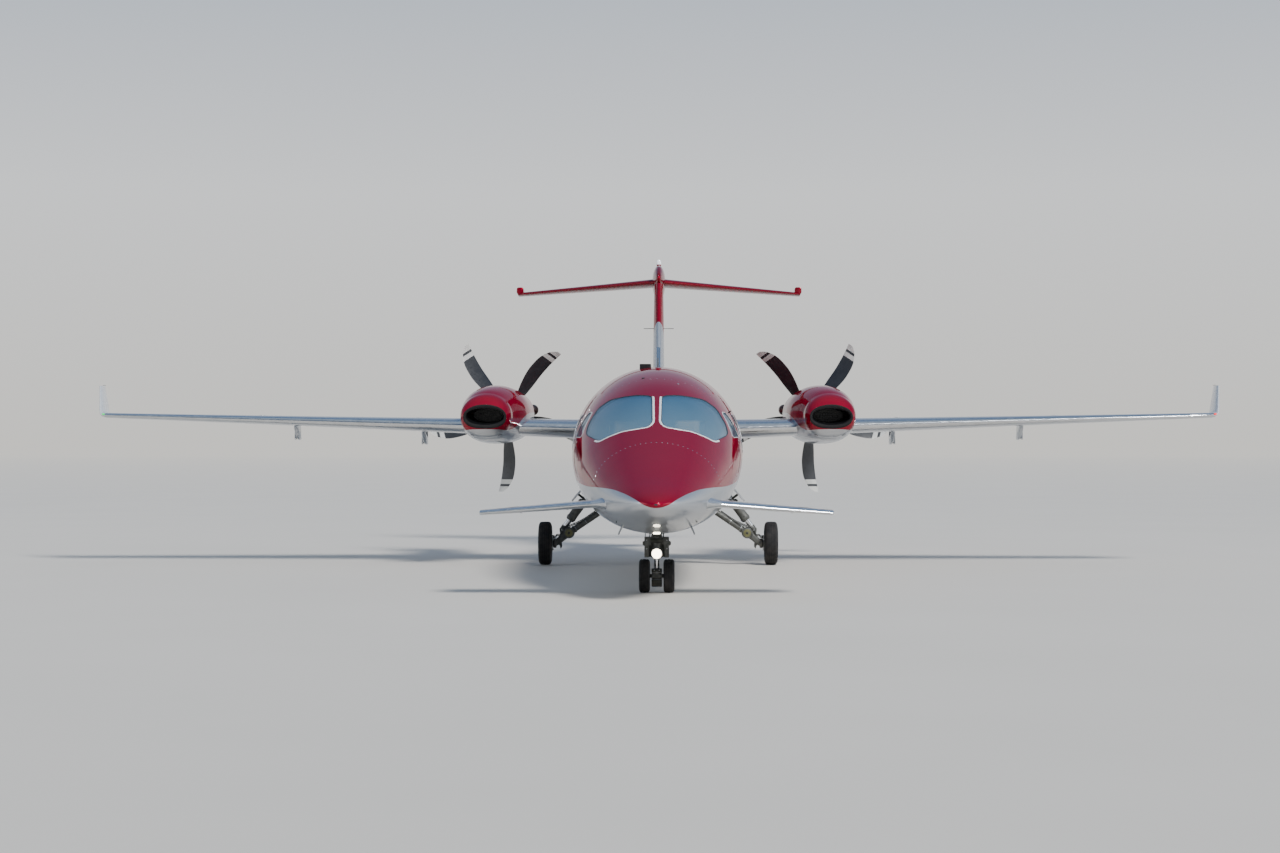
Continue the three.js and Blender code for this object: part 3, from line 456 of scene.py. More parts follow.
@dataclass(frozen=True)
class StretchedAcrylic:
    """Cast and stretched acrylic with a gold-tinted heater film: clear, a little blue in reflection, and
    graded by height with a painted reflection of the sky.
    """

    name: str
    colours: tuple[str, str] = ("9cbabc", "5f92a8")
    cover: float = 0.4

    def material(self) -> bpy.types.Material:
        """Returns the finish as a material.

        Returns:
            The material.
        """
        material, surface = new_material(self.name)
        tree = material.node_tree
        set_inputs(surface, {
            "IOR": 1.49, "Metallic": 0.0, "Alpha": self.cover,
            "Coat Weight": 1.0, "Coat Roughness": 0.02, "Coat Tint": linear("e2eeff")})
        split = add_node(tree, "ShaderNodeSeparateXYZ", links={0: object_space(tree)})
        # Base colour: the tint, lighter low down and darker and bluer high up, which is a painted reflection
        # of the sky.
        set_inputs(surface, {
            "Base Color": mixed(tree, spread(tree, split.outputs[2], 0.0, 1.0, 1.62, 2.05), *self.colours),
            "Roughness": spread(tree, mottle(tree, 400, 4.0), 0.02, 0.06)})
        return material


@dataclass(frozen=True)
class Hide:
    """Dyed and embossed cowhide over foam: soft sheen, pebbled grain, darker in the creases."""

    name: str
    colour: str = "cbb894"
    crease: str = "7d6a4c"
    grain_mm: float = 7.0  # drawn four times too coarse, so that it shows

    def material(self) -> bpy.types.Material:
        """Returns the finish as a material.

        Returns:
            The material.
        """
        material, surface = new_material(self.name)
        tree = material.node_tree
        cells = add_node(tree, "ShaderNodeTexVoronoi",
                         {"feature": "DISTANCE_TO_EDGE", "Scale": 1000 / self.grain_mm},
                         {"Vector": object_space(tree)})
        pebble = spread(tree, cells.outputs["Distance"], 0.0, 1.0, 0.0, 0.25)
        shade = mixed(tree, spread(tree, mottle(tree, 120, 4.0), 0.0, 0.35), self.colour, self.crease)
        set_inputs(surface, {"Base Color": shade, "Roughness": 0.5, "IOR": 1.45, "Sheen Weight": 0.1})
        roughen(tree, surface, pebble, 0.3, 0.5)
        return material


@dataclass(frozen=True)
class Lit:
    """A lamp's glass with its filament on: bright in the middle of a silvered bowl."""

    name: str
    colour: str
    strength: float

    def material(self) -> bpy.types.Material:
        """Returns the finish as a material.

        Returns:
            The material.
        """
        material, surface = new_material(self.name)
        tree = material.node_tree
        glow = spread(tree, mottle(tree, 14, 2.0), self.strength * 0.85, self.strength * 1.15)
        set_inputs(surface, {
            "Base Color": linear(self.colour), "Roughness": 0.08, "IOR": 1.5,
            "Emission Color": linear(self.colour), "Emission Strength": glow})
        return material


class Look(Enum):
    """Every finish on the aircraft."""

    FUSELAGE = TwoTone("fuselage_enamel", Boundary.FUSELAGE, seams=(3740.0, 7420.0, 9480.0, 11300.0))
    NACELLE = TwoTone("nacelle_enamel", Boundary.NACELLE, seams=(7450.0, 8650.0, 9700.0))
    FIN = TwoTone("fin_enamel", Boundary.FIN, ClearCoated("red", "900026", 0.5, 0.46, 0.35))
    # A darker copy of the fuselage's red for the bullet, tailplane, elevators and tail fittings: painted
    # shade. The cockpit's red knobs share it.
    RED = ClearCoated("red_enamel", "820020", 0.5, 0.32, 0.75)
    SILVER = ClearCoated("silver_enamel", "c3c7cc", 0.8, 0.2)
    WHITE = ClearCoated("pearl_enamel", "d9dcdf", 0.35, 0.25)
    POLISHED = PolishedMetal("polished_aluminium")
    CHROME = PolishedMetal("hard_chrome", "e4e5e7", 0.06, 3.0, (1.0, 1.0, 0.1))
    WORN_METAL = PolishedMetal("machined_aluminium", "a9abad", 0.32, 6.0, (1.0, 1.0, 1.0))
    HOT_METAL = PolishedMetal("heat_tinted_steel", "54463c", 0.4, 12.0, (1.0, 1.0, 1.0))
    GEAR = GearEnamel("gear_enamel", "5c5d59")
    GEAR_DARK = GearEnamel("shadowed_gear_enamel", "3a3b34", "191815")
    OLIVE = GearEnamel("olive_primer", "75744c", "3b3a2a")
    WELL = GearEnamel("wheel_well_primer", "8d927c", "3b3a30")
    TYRE = Rubber("tyre_rubber")
    SEAL = Moulded("window_seal", "2a2f38", 0.55)
    # Near white: a painted glint of the sun on the metal retainers round the cockpit windows.
    PAINTED_GLINT_FRAME = Moulded("painted_glint_window_frame", "eceff0", 0.3)
    HOSE = Moulded("hydraulic_hose", "141517", 0.45)
    BLACK = Moulded("satin_black_paint", "1b1c1f", 0.4)
    LIP = Rubber("intake_lip_rubber", "0e0e10", "1f1e1d")
    BOOT = Moulded("black_aerial_paint", "101114", 0.35)
    BLADE = Moulded("blade_paint", "26282b", 0.32, shade="4a4b4d")
    BLADE_TIP = Moulded("blade_tip_paint", "c9c9c4", 0.4)
    PANEL = Moulded("instrument_panel_paint", "202226", 0.6)
    SCREEN = Moulded("display_glass", "0b1014", 0.12)
    LINING = Moulded("cabin_lining", "b9b2a4", 0.75, 6.0, 0.15, "8d8678")
    CARPET = Moulded("cabin_carpet", "6e6253", 0.95, 5.0, 0.8, "3d352b")
    GLASS = StretchedAcrylic("stretched_acrylic")
    CABIN_GLASS = StretchedAcrylic("cabin_acrylic", ("41555c", "2f434c"), 0.5)
    HIDE = Hide("cream_hide")
    LAMP = Lit("lamp_glass", "fff4dc", 9.0)
    NAV_RED = Lit("port_lamp_glass", "ff1a10", 1.2)
    NAV_GREEN = Lit("starboard_lamp_glass", "14d060", 1.0)
    WHITE_LENS = Lit("clear_lamp_glass", "e9eef2", 0.4)


_MADE: dict[Look, bpy.types.Material] = {}


def look(finish: Look) -> bpy.types.Material:
    """Returns a finish's material, which is made once.

    Args:
        finish: which finish.

    Returns:
        The material.
    """
    if finish not in _MADE:
        _MADE[finish] = finish.value.material()
    return _MADE[finish]


def smooth(places: Sequence[float], values: Sequence[float], at: float) -> float:
    """Reads a smooth curve through values.

    Args:
        places: where the values are, rising.
        values: one value for each place.
        at: where the curve is read.

    Returns:
        The curve's value.
    """
    last = len(places) - 1
    i = next((k for k, p in enumerate(places) if p > at), last) - 1
    i = min(max(i, 0), last - 1)

    def slope(k: int) -> float:
        """Returns the curve's slope at a value.

        Args:
            k: the value's number.

        Returns:
            The slope.
        """
        low, high = max(k - 1, 0), min(k + 1, last)
        if k in (0, last):
            return (values[high] - values[low]) / (places[high] - places[low])
        a, b = places[k] - places[low], places[high] - places[k]
        return (b * (values[k] - values[low]) / a + a * (values[high] - values[k]) / b) / (a + b)

    width = places[i + 1] - places[i]
    t = (at - places[i]) / width
    return ((2 * t**3 - 3 * t**2 + 1) * values[i] + (t**3 - 2 * t**2 + t) * width * slope(i)
            + (3 * t**2 - 2 * t**3) * values[i + 1] + (t**3 - t**2) * width * slope(i + 1))


def row_at(rows: Rows, number: float) -> list[float]:
    """Reads the smooth curves through rows of values at a row's number, or between two rows."""
    places = list(range(len(rows)))
    return [smooth(places, column, number) for column in zip(*rows)]


@dataclass(frozen=True)
class Sections:
    """A rounded body, as rows of station, half width, top, bottom, height of the widest point and,
    where it is not on the centre line, x of the middle.

    blunt says that the body starts in a rounded nose, so that its curves are drawn against the square
    root of the distance from the first row. power holds how square the sections are above and below
    the widest point: 2 is an ellipse.
    """

    rows: Rows
    blunt: bool = False
    power: Pair = (2.0, 2.0)
    known: dict[float, tuple[float, ...]] = field(default_factory=dict, compare=False, repr=False)

    def _along(self, station: float) -> float:
        """Returns the place along the curves for a station."""
        run = station - self.rows[0][0]
        return math.sqrt(max(run, 0.0)) if self.blunt else run

    def at(self, station: float) -> tuple[float, float, float, float, float]:
        """Returns half width, top, bottom, height of the widest point and x of the middle.

        Args:
            station: distance behind the tip of the nose.

        Returns:
            The five values in millimetres.
        """
        key = round(station, 2)
        if key not in self.known:
            places = [self._along(row[0]) for row in self.rows]
            x = self._along(station)
            found = [smooth(places, [row[k] for row in self.rows], x) for k in range(1, len(self.rows[0]))]
            self.known[key] = (*found, 0.0)[:5]
        return self.known[key]

    def point(self, station: float, angle: float, inset: float = 0.0) -> Vector:
        """Finds a point of the skin.

        Args:
            station: where along the body.
            angle: radians above the horizontal, from the left side.
            inset: how far the point lies inside the skin.

        Returns:
            The place in millimetres.
        """
        half, top, bottom, wide, middle = self.at(station)
        above = math.sin(angle) > 0
        height = (top - wide if above else wide - bottom) - inset
        curve = 2 / self.power[0 if above else 1]
        across, up = (math.copysign(abs(value) ** curve, value)
                      for value in (math.cos(angle), math.sin(angle)))
        return Vector((middle + (half - inset) * across, station, wide + height * up))

    def depth(self, place: Vector, inset: float = 0.0) -> float:
        """Returns about how many millimetres a place lies outside the skin: negative is inside.

        Args:
            place: the place in millimetres.
            inset: how far inside the skin.

        Returns:
            The distance.
        """
        half, top, bottom, wide, middle = self.at(place.y)
        above = place.z > wide
        height = (top - wide if above else wide - bottom) - inset
        half -= inset
        if half <= 1 or height <= 1:
            return 1e3
        power = self.power[0 if above else 1]
        share = (abs((place.x - middle) / half) ** power
                 + abs((place.z - wide) / height) ** power) ** (1 / power)
        return (share - 1) * min(half, height)

    def normal(self, place: Vector) -> Vector:
        """Returns the skin's outward direction near a place.

        Args:
            place: the place in millimetres.

        Returns:
            A direction of length 1.
        """
        step = 2.0
        slopes = []
        for axis in range(3):
            shift = Vector([step if k == axis else 0.0 for k in range(3)])
            slopes.append(self.depth(place + shift) - self.depth(place - shift))
        return Vector(slopes).normalized()

    def side(self, station: float, z: float) -> float:
        """Returns how far the skin is from the middle plane.

        Args:
            station: distance behind the tip of the nose.
            z: height above the ground.

        Returns:
            The distance.
        """
        half, top, bottom, wide, _ = self.at(station)
        height = top - wide if z > wide else wide - bottom
        return half * math.sqrt(max(1 - ((z - wide) / height) ** 2, 0.0))

    def ahead(self, x: float, z: float, first: float, last: float) -> float:
        """Finds the station where a line along the aircraft at x and z meets the skin.

        Args:
            x: distance from the centre line.
            z: height.
            first: a station where the line is outside the skin.
            last: a station where it is inside.

        Returns:
            The station.
        """
        for _ in range(32):
            half_way = (first + last) / 2
            if self.depth(Vector((x, half_way, z))) > 0:
                first = half_way
            else:
                last = half_way
        return last

    def rings(self, stations: Iterable[float], around: int, inset: float = 0.0) -> list[list[Vector]]:
        """Returns closed rings of points at stations."""
        turns = [2 * math.pi * k / around for k in range(around)]
        return [[self.point(s, turn, inset) for turn in turns] for s in stations]


def steps(first: float, last: float, step: float) -> list[float]:
    """Returns evenly spaced numbers from first to last, about step apart."""
    count = max(1, round(abs(last - first) / step))
    return [first + (last - first) * k / count for k in range(count + 1)]


def ellipse(a: float, b: float, count: int, power: float = 1.0) -> list[Pair]:
    """Returns a closed outline: an ellipse, or with a power under 1 a rounded rectangle.

    Args:
        a: half its width.
        b: half its height.
        count: number of points.
        power: 1 for an ellipse, less for a squarer outline.

    Returns:
        The points.
    """
    def curved(value: float) -> float:
        """Raises a sine or cosine to the power and keeps its sign."""
        return math.copysign(abs(value) ** power, value)
    turns = [2 * math.pi * k / count for k in range(count)]
    return [(a * curved(math.cos(t)), b * curved(math.sin(t))) for t in turns]


def rounded(corners: Outline, radius: float, count: int = 6) -> list[Pair]:
    """Rounds an outline's corners.

    Args:
        corners: the outline.
        radius: about how far from each corner the rounding starts.
        count: how many steps each corner has.

    Returns:
        The rounded outline.
    """
    result = []
    for k, corner in enumerate(corners):
        here = Vector(corner)
        before, after = Vector(corners[k - 1]) - here, Vector(corners[(k + 1) % len(corners)]) - here
        reach = min(radius, before.length / 2.05, after.length / 2.05)
        start, end = here + before.normalized() * reach, here + after.normalized() * reach
        for n in range(count + 1):
            t = n / count
            result.append(tuple(start * (1 - t) ** 2 + here * 2 * t * (1 - t) + end * t**2))
    return result


def finer(outline: Outline, longest: float, closed: bool = True) -> list[Pair]:
    """Splits an outline's straight edges, so that none is longer than a length.

    Args:
        outline: the outline's points.
        longest: the longest edge that stays.
        closed: whether the last point joins the first.

    Returns:
        The outline with the extra points.
    """
    result = []
    for k, here in enumerate(outline):
        result.append(tuple(here))
        if k == len(outline) - 1 and not closed:
            break
        there = outline[(k + 1) % len(outline)]
        parts = max(1, math.ceil(math.dist(here, there) / longest))
        result += [(here[0] + (there[0] - here[0]) * n / parts, here[1] + (there[1] - here[1]) * n / parts)
                   for n in range(1, parts)]
    return result


def frame_along(way: Vector, up: Vector = Vector(UP)) -> Matrix:
    """Returns a turn whose Z runs along a direction and whose X is as near as can be to up.

    Args:
        way: the direction.
        up: what X comes near to.

    Returns:
        The turn.
    """
    z = way.normalized()
    x = up - z * up.dot(z)
    if x.length < 1e-3:
        x = Vector(ACROSS) - z * z.x
    x.normalize()
    return Matrix((x, z.cross(x), z)).transposed()


class Form:
    """A mesh in the making, with corners in millimetres and a finish number for each face."""

    def __init__(self) -> None:
        """Starts an empty form."""
        self.points: list[Vector] = []
        self.faces: list[tuple[int, ...]] = []
        self.slots: list[int] = []

    def add(self, points: Iterable[Sequence[float]], faces: Iterable[Sequence[int]], slot: int = 0) -> "Form":
        """Adds corners, and faces that count from the first of them.

        Args:
            points: the corners.
            faces: each face's corners.
            slot: finish number.

        Returns:
            The form.
        """
        start = len(self.points)
        self.points += [Vector(p) for p in points]
        for face in faces:
            self.faces.append(tuple(start + k for k in face))
            self.slots.append(slot)
        return self

    def loft(self, rings: Sequence[Sequence[Sequence[float]]], slot: int = 0, caps: bool = True,
             closed: bool = True) -> "Form":
        """Adds a skin through rings of points.

        Args:
            rings: rings with the same number of points.
            slot: finish number.
            caps: whether the first and the last ring are filled.
            closed: whether each ring closes on itself.

        Returns:
            The form.
        """
        count = len(rings[0])
        wraps = count if closed else count - 1
        faces = [(r * count + k, r * count + (k + 1) % count, (r + 1) * count + (k + 1) % count,
                  (r + 1) * count + k) for r in range(len(rings) - 1) for k in range(wraps)]
        if caps:
            faces += [tuple(reversed(range(count))),
                      tuple(range((len(rings) - 1) * count, len(rings) * count))]
        return self.add([p for ring in rings for p in ring], faces, slot)

    def tube(self, path: Sequence[Sequence[float]], radius: float | Sequence[float], slot: int = 0,
             sides: int = 12) -> "Form":
        """Adds a round bar or hose along points, with one radius or one for each point.

        Args:
            path: places along its middle.
            radius: its radius, or one for each place.
            slot: finish number.
            sides: number of flats round it.

        Returns:
            The form.
        """
        line = [Vector(p) for p in path]
        radii = [radius] * len(line) if isinstance(radius, (int, float)) else radius
        rings, turn = [], None
        for k, here in enumerate(line):
            way = (line[min(k + 1, len(line) - 1)] - line[max(k - 1, 0)]).normalized()
            if turn is None:
                turn = frame_along(way)
            else:
                turn = frame_along(way, turn.col[0])
            rings.append([here + turn @ Vector((radii[k] * math.cos(a), radii[k] * math.sin(a), 0))
                          for a in (2 * math.pi * n / sides for n in range(sides))])
        return self.loft(rings, slot)

    def lathe(self, profile: Outline, centre: Sequence[float], way: Sequence[float],
              slot: int = 0, sides: int = 32) -> "Form":
        """Adds a turned body.

        Args:
            profile: pairs of place along the axis and radius. It closes on itself, or ends on the axis.
            centre: where place 0 is.
            way: direction of the axis.
            slot: finish number.
            sides: number of flats round it.

        Returns:
            The form.
        """
        turn = frame_along(Vector(way))
        rings = []
        for n in range(sides):
            a = 2 * math.pi * n / sides
            rings.append([Vector(centre) + turn @ Vector((r * math.cos(a), r * math.sin(a), place))
                          for place, r in profile])
        return self.loft([*rings, rings[0]], slot, caps=False, closed=profile[0] == profile[-1])

    def block(self, low: Sequence[float], high: Sequence[float], slot: int = 0) -> "Form":
        """Adds a block between two corners.

        Args:
            low: the lower corner.
            high: the upper corner.
            slot: finish number.

        Returns:
            The form.
        """
        (a, b, c), (d, e, f) = low, high
        rings = [[(a, b, z), (d, b, z), (d, e, z), (a, e, z)] for z in (c, f)]
        return self.loft(rings, slot)

    def plate(self, outline: Outline, along: Axis, low: float, high: float,
              slot: int = 0) -> "Form":
        """Adds a plate that is thick along x, y or z: its pairs are the other two of x, station and z."""
        lay = {Axis.X: lambda a, b, t: (t, a, b), Axis.Y: lambda a, b, t: (a, t, b),
               Axis.Z: lambda a, b, t: (a, b, t)}[along]
        return self.loft([[lay(a, b, t) for a, b in outline] for t in (low, high)], slot)

    def merge(self, other: "Form", matrix: Matrix | None = None) -> "Form":
        """Adds a copy of another form, moved by a matrix.

        Args:
            other: the form to copy.
            matrix: the move, or nothing.

        Returns:
            The form.
        """
        start = len(self.points)
        flip = matrix is not None and matrix.to_3x3().determinant() < 0
        self.points += [matrix @ p if matrix else p.copy() for p in other.points]
        for face, slot in zip(other.faces, other.slots):
            moved = tuple(start + k for k in face)
            self.faces.append(tuple(reversed(moved)) if flip else moved)
            self.slots.append(slot)
        return self

    def mirrored(self) -> "Form":
        """Returns a copy for the other side of the aircraft."""
        return Form().merge(self, Matrix.Diagonal((-1, 1, 1, 1)))

    def piece(self, name: str, looks: Sequence[Look] = (), sharp: float = 35.0, bevel: float = 0.0,
              segments: int = 2) -> Piece:
        """Makes the Blender object.

        Args:
            name: the piece's name.
            looks: finishes, in the order of the faces' finish numbers.
            sharp: edges turning by more degrees than this stay sharp.
            bevel: width in millimetres of the rounding of sharp edges.
            segments: steps of that rounding.

        Returns:
            The object, at the origin.
        """
        mesh = bpy.data.meshes.new(name)
        mesh.from_pydata([place_of(*p) for p in self.points], [], self.faces)
        for finish in looks:
            mesh.materials.append(look(finish))
        for polygon, slot in zip(mesh.polygons, self.slots):
            polygon.material_index = slot
        work = bmesh.new()
        work.from_mesh(mesh)
        bmesh.ops.remove_doubles(work, verts=work.verts, dist=1e-6)
        bmesh.ops.recalc_face_normals(work, faces=work.faces)
        if bevel:
            edges = [e for e in work.edges if len(e.link_faces) == 2
                     and e.calc_face_angle(0) > math.radians(sharp)]
            bmesh.ops.bevel(work, geom=edges, offset=bevel * MM, segments=segments, profile=0.5,
                            affect="EDGES", clamp_overlap=True)
        work.to_mesh(mesh)
        work.free()
        mesh.shade_smooth()
        mesh.set_sharp_from_angle(angle=math.radians(sharp))
        piece = bpy.data.objects.new(name, mesh)
        bpy.context.scene.collection.objects.link(piece)
        return piece


def carve(piece: Piece, tools: "Iterable[Form | Piece]",
          operation: Cut = Cut.REMOVE) -> Piece:
    """Cuts a piece with closed forms, or keeps what it shares with them.

    Args:
        piece: a closed mesh.
        tools: closed forms, or closed meshes, which are used up.
        operation: what the forms do.

    Returns:
        The piece.
    """
    for tool in tools:
        knife = tool.piece("knife") if isinstance(tool, Form) else tool
        modifier = piece.modifiers.new("carve", "BOOLEAN")
        modifier.operation, modifier.solver, modifier.object = operation.value, "MANIFOLD", knife
        graph = bpy.context.evaluated_depsgraph_get()
        mesh = bpy.data.meshes.new_from_object(piece.evaluated_get(graph))
        piece.modifiers.clear()
        old, piece.data = piece.data, mesh
        bpy.data.meshes.remove(old)
        bpy.data.meshes.remove(knife.data)
    return piece


def resmooth(piece: Piece) -> None:
    """Shades a cut piece smoothly, with its sharp edges kept."""
    piece.data.shade_smooth()
    piece.data.set_sharp_from_angle(angle=CREASE)


def true_normals(piece: Piece, skins: Sequence[tuple[Sections, float, int]], other: int,
                 slack: float = 2.5, side: Side = Side.LEFT) -> None:
    """Gives a cut shell the exact shading of the skins that it lies on, and their finish numbers.

    Args:
        piece: the shell.
        skins: sections with the inset of the skin and its finish number.
        other: finish number of faces that lie on none of the skins.
        slack: how many millimetres off a skin a face may be.
        side: the right when the piece is the mirror image of the sections.
    """
    mesh = piece.data
    flip = Vector((side, 1, 1))
    normals: list[Vector] = [Vector()] * len(mesh.loops)
    places = [(Vector(v.co) / MM + Vector((0, LENGTH / 2, 0))) * flip for v in mesh.vertices]
    facing: dict[int, Vector] = {}
    for polygon in mesh.polygons:
        centre = (Vector(polygon.center) / MM + Vector((0, LENGTH / 2, 0))) * flip
        polygon.material_index = other
        polygon.use_smooth = True
        hit = None
        for sections, inset, slot in skins:
            out = sections.normal(centre) * flip
            if abs(sections.depth(centre, inset)) < slack and abs(out.dot(polygon.normal)) > 0.8:
                hit = sections
                polygon.material_index = slot
                break
        for loop in polygon.loop_indices:
            if hit is None:
                normals[loop] = polygon.normal.copy()
                continue
            vertex = mesh.loops[loop].vertex_index
            if vertex not in facing:
                facing[vertex] = hit.normal(places[vertex]) * flip
            normals[loop] = facing[vertex] * (1 if facing[vertex].dot(polygon.normal) > 0 else -1)
    mesh.normals_split_custom_set(normals)


def settle(piece: Piece, body: str, slot: str, nodes: Sequence[str] = ()) -> Piece:
    """Puts a piece on its body, hides the CAD nodes that it stands for and logs it.

    Args:
        piece: the piece.
        body: the CAD body that carries it.
        slot: a material slot's name, which is not used.
        nodes: CAD nodes that it replaces.

    Returns:
        The piece.
    """
    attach(piece, body)
    if nodes:
        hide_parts(*nodes)
    LOG.info("%s on %s, %d faces", piece.name, body, len(piece.data.polygons))
    return piece


SKIN = Sections((
    (0, 14, 957, 943, 950), (25, 68, 984, 917, 950), (80, 124, 1014, 888, 951), (180, 194, 1056, 852, 953),
    (350, 280, 1114, 806, 957), (620, 388, 1200, 750, 965), (1000, 505, 1330, 690, 985),
    (1500, 635, 1505, 635, 1040), (1950, 722, 1668, 605, 1110), (2500, 815, 1868, 582, 1200),
    (3000, 875, 2045, 564, 1280), (3500, 917, 2190, 545, 1350), (4100, 948, 2312, 524, 1405),
    (5000, 972, 2405, 497, 1450), (6000, 975, 2422, 486, 1463), (7400, 954, 2412, 522, 1470),
    (8200, 918, 2395, 575, 1485), (9000, 858, 2370, 665, 1515), (9800, 762, 2335, 800, 1570),
    (10600, 632, 2290, 980, 1650), (11300, 494, 2240, 1175, 1730), (12000, 325, 2170, 1410, 1800),
    (12450, 200, 2105, 1590, 1845), (12600, 110, 2040, 1690, 1865),
), blunt=True)


def skin_place(station: float, z: float, side: Side) -> Vector:
    """Returns the place on the fuselage skin at a station and a height, on one side."""
    return Vector((side * SKIN.side(station, z), station, z))


def rays_from(z: float, turns: Iterable[float]) -> list[Pair]:
    """Returns an outline of x and z: the middle of the cabin at z, then a far point at each of the turns."""
    spread_out = [(RAY * math.cos(math.radians(turn)), z + RAY * math.sin(math.radians(turn)))
                  for turn in turns]
    return [(0.0, z), *spread_out]


@dataclass(frozen=True)
class Strip:
    """A narrow raised strip that follows a line on the skin, such as a window's retainer.

    width and height are its section, out is how far it lies outside the line, sink how deep it starts.
    """

    width: float = 14.0
    height: float = 3.0
    out: float = 0.0
    sink: float = 6.0

    def add_to(self, form: Form, line: Sequence[Vector], slot: int = 0, closed: bool = True) -> None:
        """Adds the strip to a form.

        Args:
            form: the form.
            line: places on the skin, anticlockwise as seen from outside.
            slot: finish number.
            closed: whether the line closes on itself.
        """
        rings, count = [], len(line)
        for k, here in enumerate(line):
            after = line[(k + 1) % count] if closed else line[min(k + 1, count - 1)]
            before = line[k - 1] if closed else line[max(k - 1, 0)]
            up = SKIN.normal(here)
            across = (after - before).cross(up).normalized()
            half, slope = self.width / 2, min(self.height, self.width / 4)
            rings.append([here + across * (self.out + a) + up * b for a, b in (
                (-half, -self.sink), (-half, 0), (-half + slope, self.height), (half - slope, self.height),
                (half, 0), (half, -self.sink))])
        form.loft([*rings, rings[0]] if closed else rings, slot, caps=not closed)


@dataclass
class Fuselage:
    """The pressure hull, nose and tail cone, in the panels that the frame has."""

    joins: tuple[float, ...] = (0.0, 620.0, 1620.0, 3740.0, 7420.0, 9480.0, 11300.0, 12600.0)
    wall: float = 50.0
    around: int = 96
    pitch: float = 80.0
    windscreen: tuple[Pair, ...] = (
        (45, 1745), (52, 2030), (88, 2042), (205, 2050), (350, 2034), (510, 2003), (641, 1911), (740, 1740),
        (765, 1622), (600, 1550), (522, 1594), (358, 1657), (224, 1679), (95, 1700))
    side_window: tuple[Pair, ...] = ((3080, 1600), (3400, 1865), (3620, 1865), (3620, 1600))
    window_z: float = 1660.0
    window_size: Pair = (150.0, 190.0)
    window_first: float = 4105.0
    window_pitch: float = 515.0
    window_count: int = 7
    door: Pair = (3800.0, 4410.0)
    door_turns: Place = (-56.0, -8.0, 31.0)
    door_edge: float = 0.85
    door_rim: float = 3.0
    door_gap: float = 6.0
    door_z: float = 1405.0
    baggage: tuple[float, float, float, float] = (9560.0, 10160.0, 1400.0, 1980.0)
    baggage_drop: float = 13.0
    screen_reach: Pair = (1900.0, 3390.0)
    side_reach: Pair = (500.0, 1200.0)
    glass_inset: float = 5.0
    pane_shrink: float = 3.0

    def build(self) -> None:
        """Builds every panel, pane and door of the fuselage."""
        names = ("radome", "nose_section", "cockpit_shell", "cabin_shell", "centre_section", "rear_fuselage",
                 "tail_cone")
        slots = ("composite_red", "paint_red", "paint_red", "paint_red", "paint_red", "paint_red",
                 "composite_red")
        for number, name in enumerate(names):
            piece = self._panel(name, self.joins[number] + 0.2, self.joins[number + 1] - 0.2,
                                hollow=name not in ("radome", "nose_section", "tail_cone"))
            carve(piece, self._openings(name))
            self._shade(piece)
            settle(piece, ROOT, slots[number], [name])
        self._doors()
        self._glass()
        self._frames()

    def _panel(self, name: str, first: float, last: float, hollow: bool) -> Piece:
        """Makes a closed panel of the skin between two stations, with a wall or solid.

        Args:
            name: the panel's name.
            first: the first station.
            last: the last station.
            hollow: whether the wall's inner side is cut out.

        Returns:
            The piece.
        """
        near_nose = [first + (620 - first) * (k / 26) ** 2 for k in range(26)] if first < 300 else [first]
        start = max(first, 620) + (self.pitch if first > 300 else 0)
        stations = [*near_nose, *steps(start, last, self.pitch)]
        piece = Form().loft(SKIN.rings(stations, self.around)).piece(
            name + "_skin", (Look.FUSELAGE, Look.LINING, Look.SEAL))
        if hollow:
            start = first + self.wall if name == "cockpit_shell" else first - 20
            core = Form().loft(SKIN.rings(steps(start, last + 20, self.pitch), self.around // 2, self.wall))
            core = core.piece("core")
            keels = {"cockpit_shell": ((-1000, first - 100, 300), (1000, 2500, 880)),
                     "centre_section": ((-1000, first - 100, 300), (1000, 8350, 1080))}
            if name in keels:
                carve(core, [Form().block(*keels[name])])
            carve(piece, [core])
        return piece

    def _openings(self, name: str) -> list[Form]:
        """Returns what is cut out of a panel.

        Args:
            name: the panel's name.

        Returns:
            Closed forms.
        """
        if name == "cockpit_shell":
            left = [self._pane_cut(self._screen_outline(), Axis.Y, 0),
                    self._pane_cut(self._side_outline(), Axis.X, 0)]
            first, last, half, top = NoseGear.well
            well = Form().block((-half, first, 300), (half, last, top))
            return [*left, *[form.mirrored() for form in left], well]
        if name == "cabin_shell":
            panes = Form()
            for number in range(self.window_count):
                for side in Side:
                    if side is Side.RIGHT or number:
                        panes.merge(self._pane_cut(self._cabin_outline(number), Axis.X, 0, side))
            low, _, high = self.door_turns
            return [panes, self._sector(self.door[0] + self.door_rim, self.door[1] - self.door_rim, low,
                                        high)]
        if name == "rear_fuselage":
            first, last, low, high = self.baggage
            return [Form().block((400, first, low), (1200, last, high))]
        if name == "centre_section":
            legs = Form()
            for foot, head, radius in MainGear().struts:
                legs.tube([(foot[0], MainGear().station, foot[1]), (head[0], MainGear().station, head[1])],
                          radius + 14, sides=24)
            return [legs, legs.mirrored()]
        return []

    def _shade(self, piece: Piece) -> None:
        """Gives a panel the skin's shading outside and the lining's inside."""
        true_normals(piece, ((SKIN, 0.0, 0), (SKIN, self.wall, 1)), 2)

    def _screen_outline(self) -> list[Pair]:
        """Returns the windscreen's outline, as x and z, with rounded corners."""
        return rounded(self.windscreen, 45, 4)

    def _side_outline(self) -> list[Pair]:
        """Returns the cockpit side window's outline, as station and z."""
        return rounded(self.side_window, 75, 7)

    def _cabin_outline(self, number: int) -> list[Pair]:
        """Returns a cabin window's outline, as station and z.

        Args:
            number: the window's number, from the front.

        Returns:
            The outline.
        """
        middle = self.window_first + number * self.window_pitch
        length, height = self.window_size
        corners = [(middle - length, self.window_z - height), (middle + length, self.window_z - height),
                   (middle + length, self.window_z + height), (middle - length, self.window_z + height)]
        return rounded(corners, 122, 8)

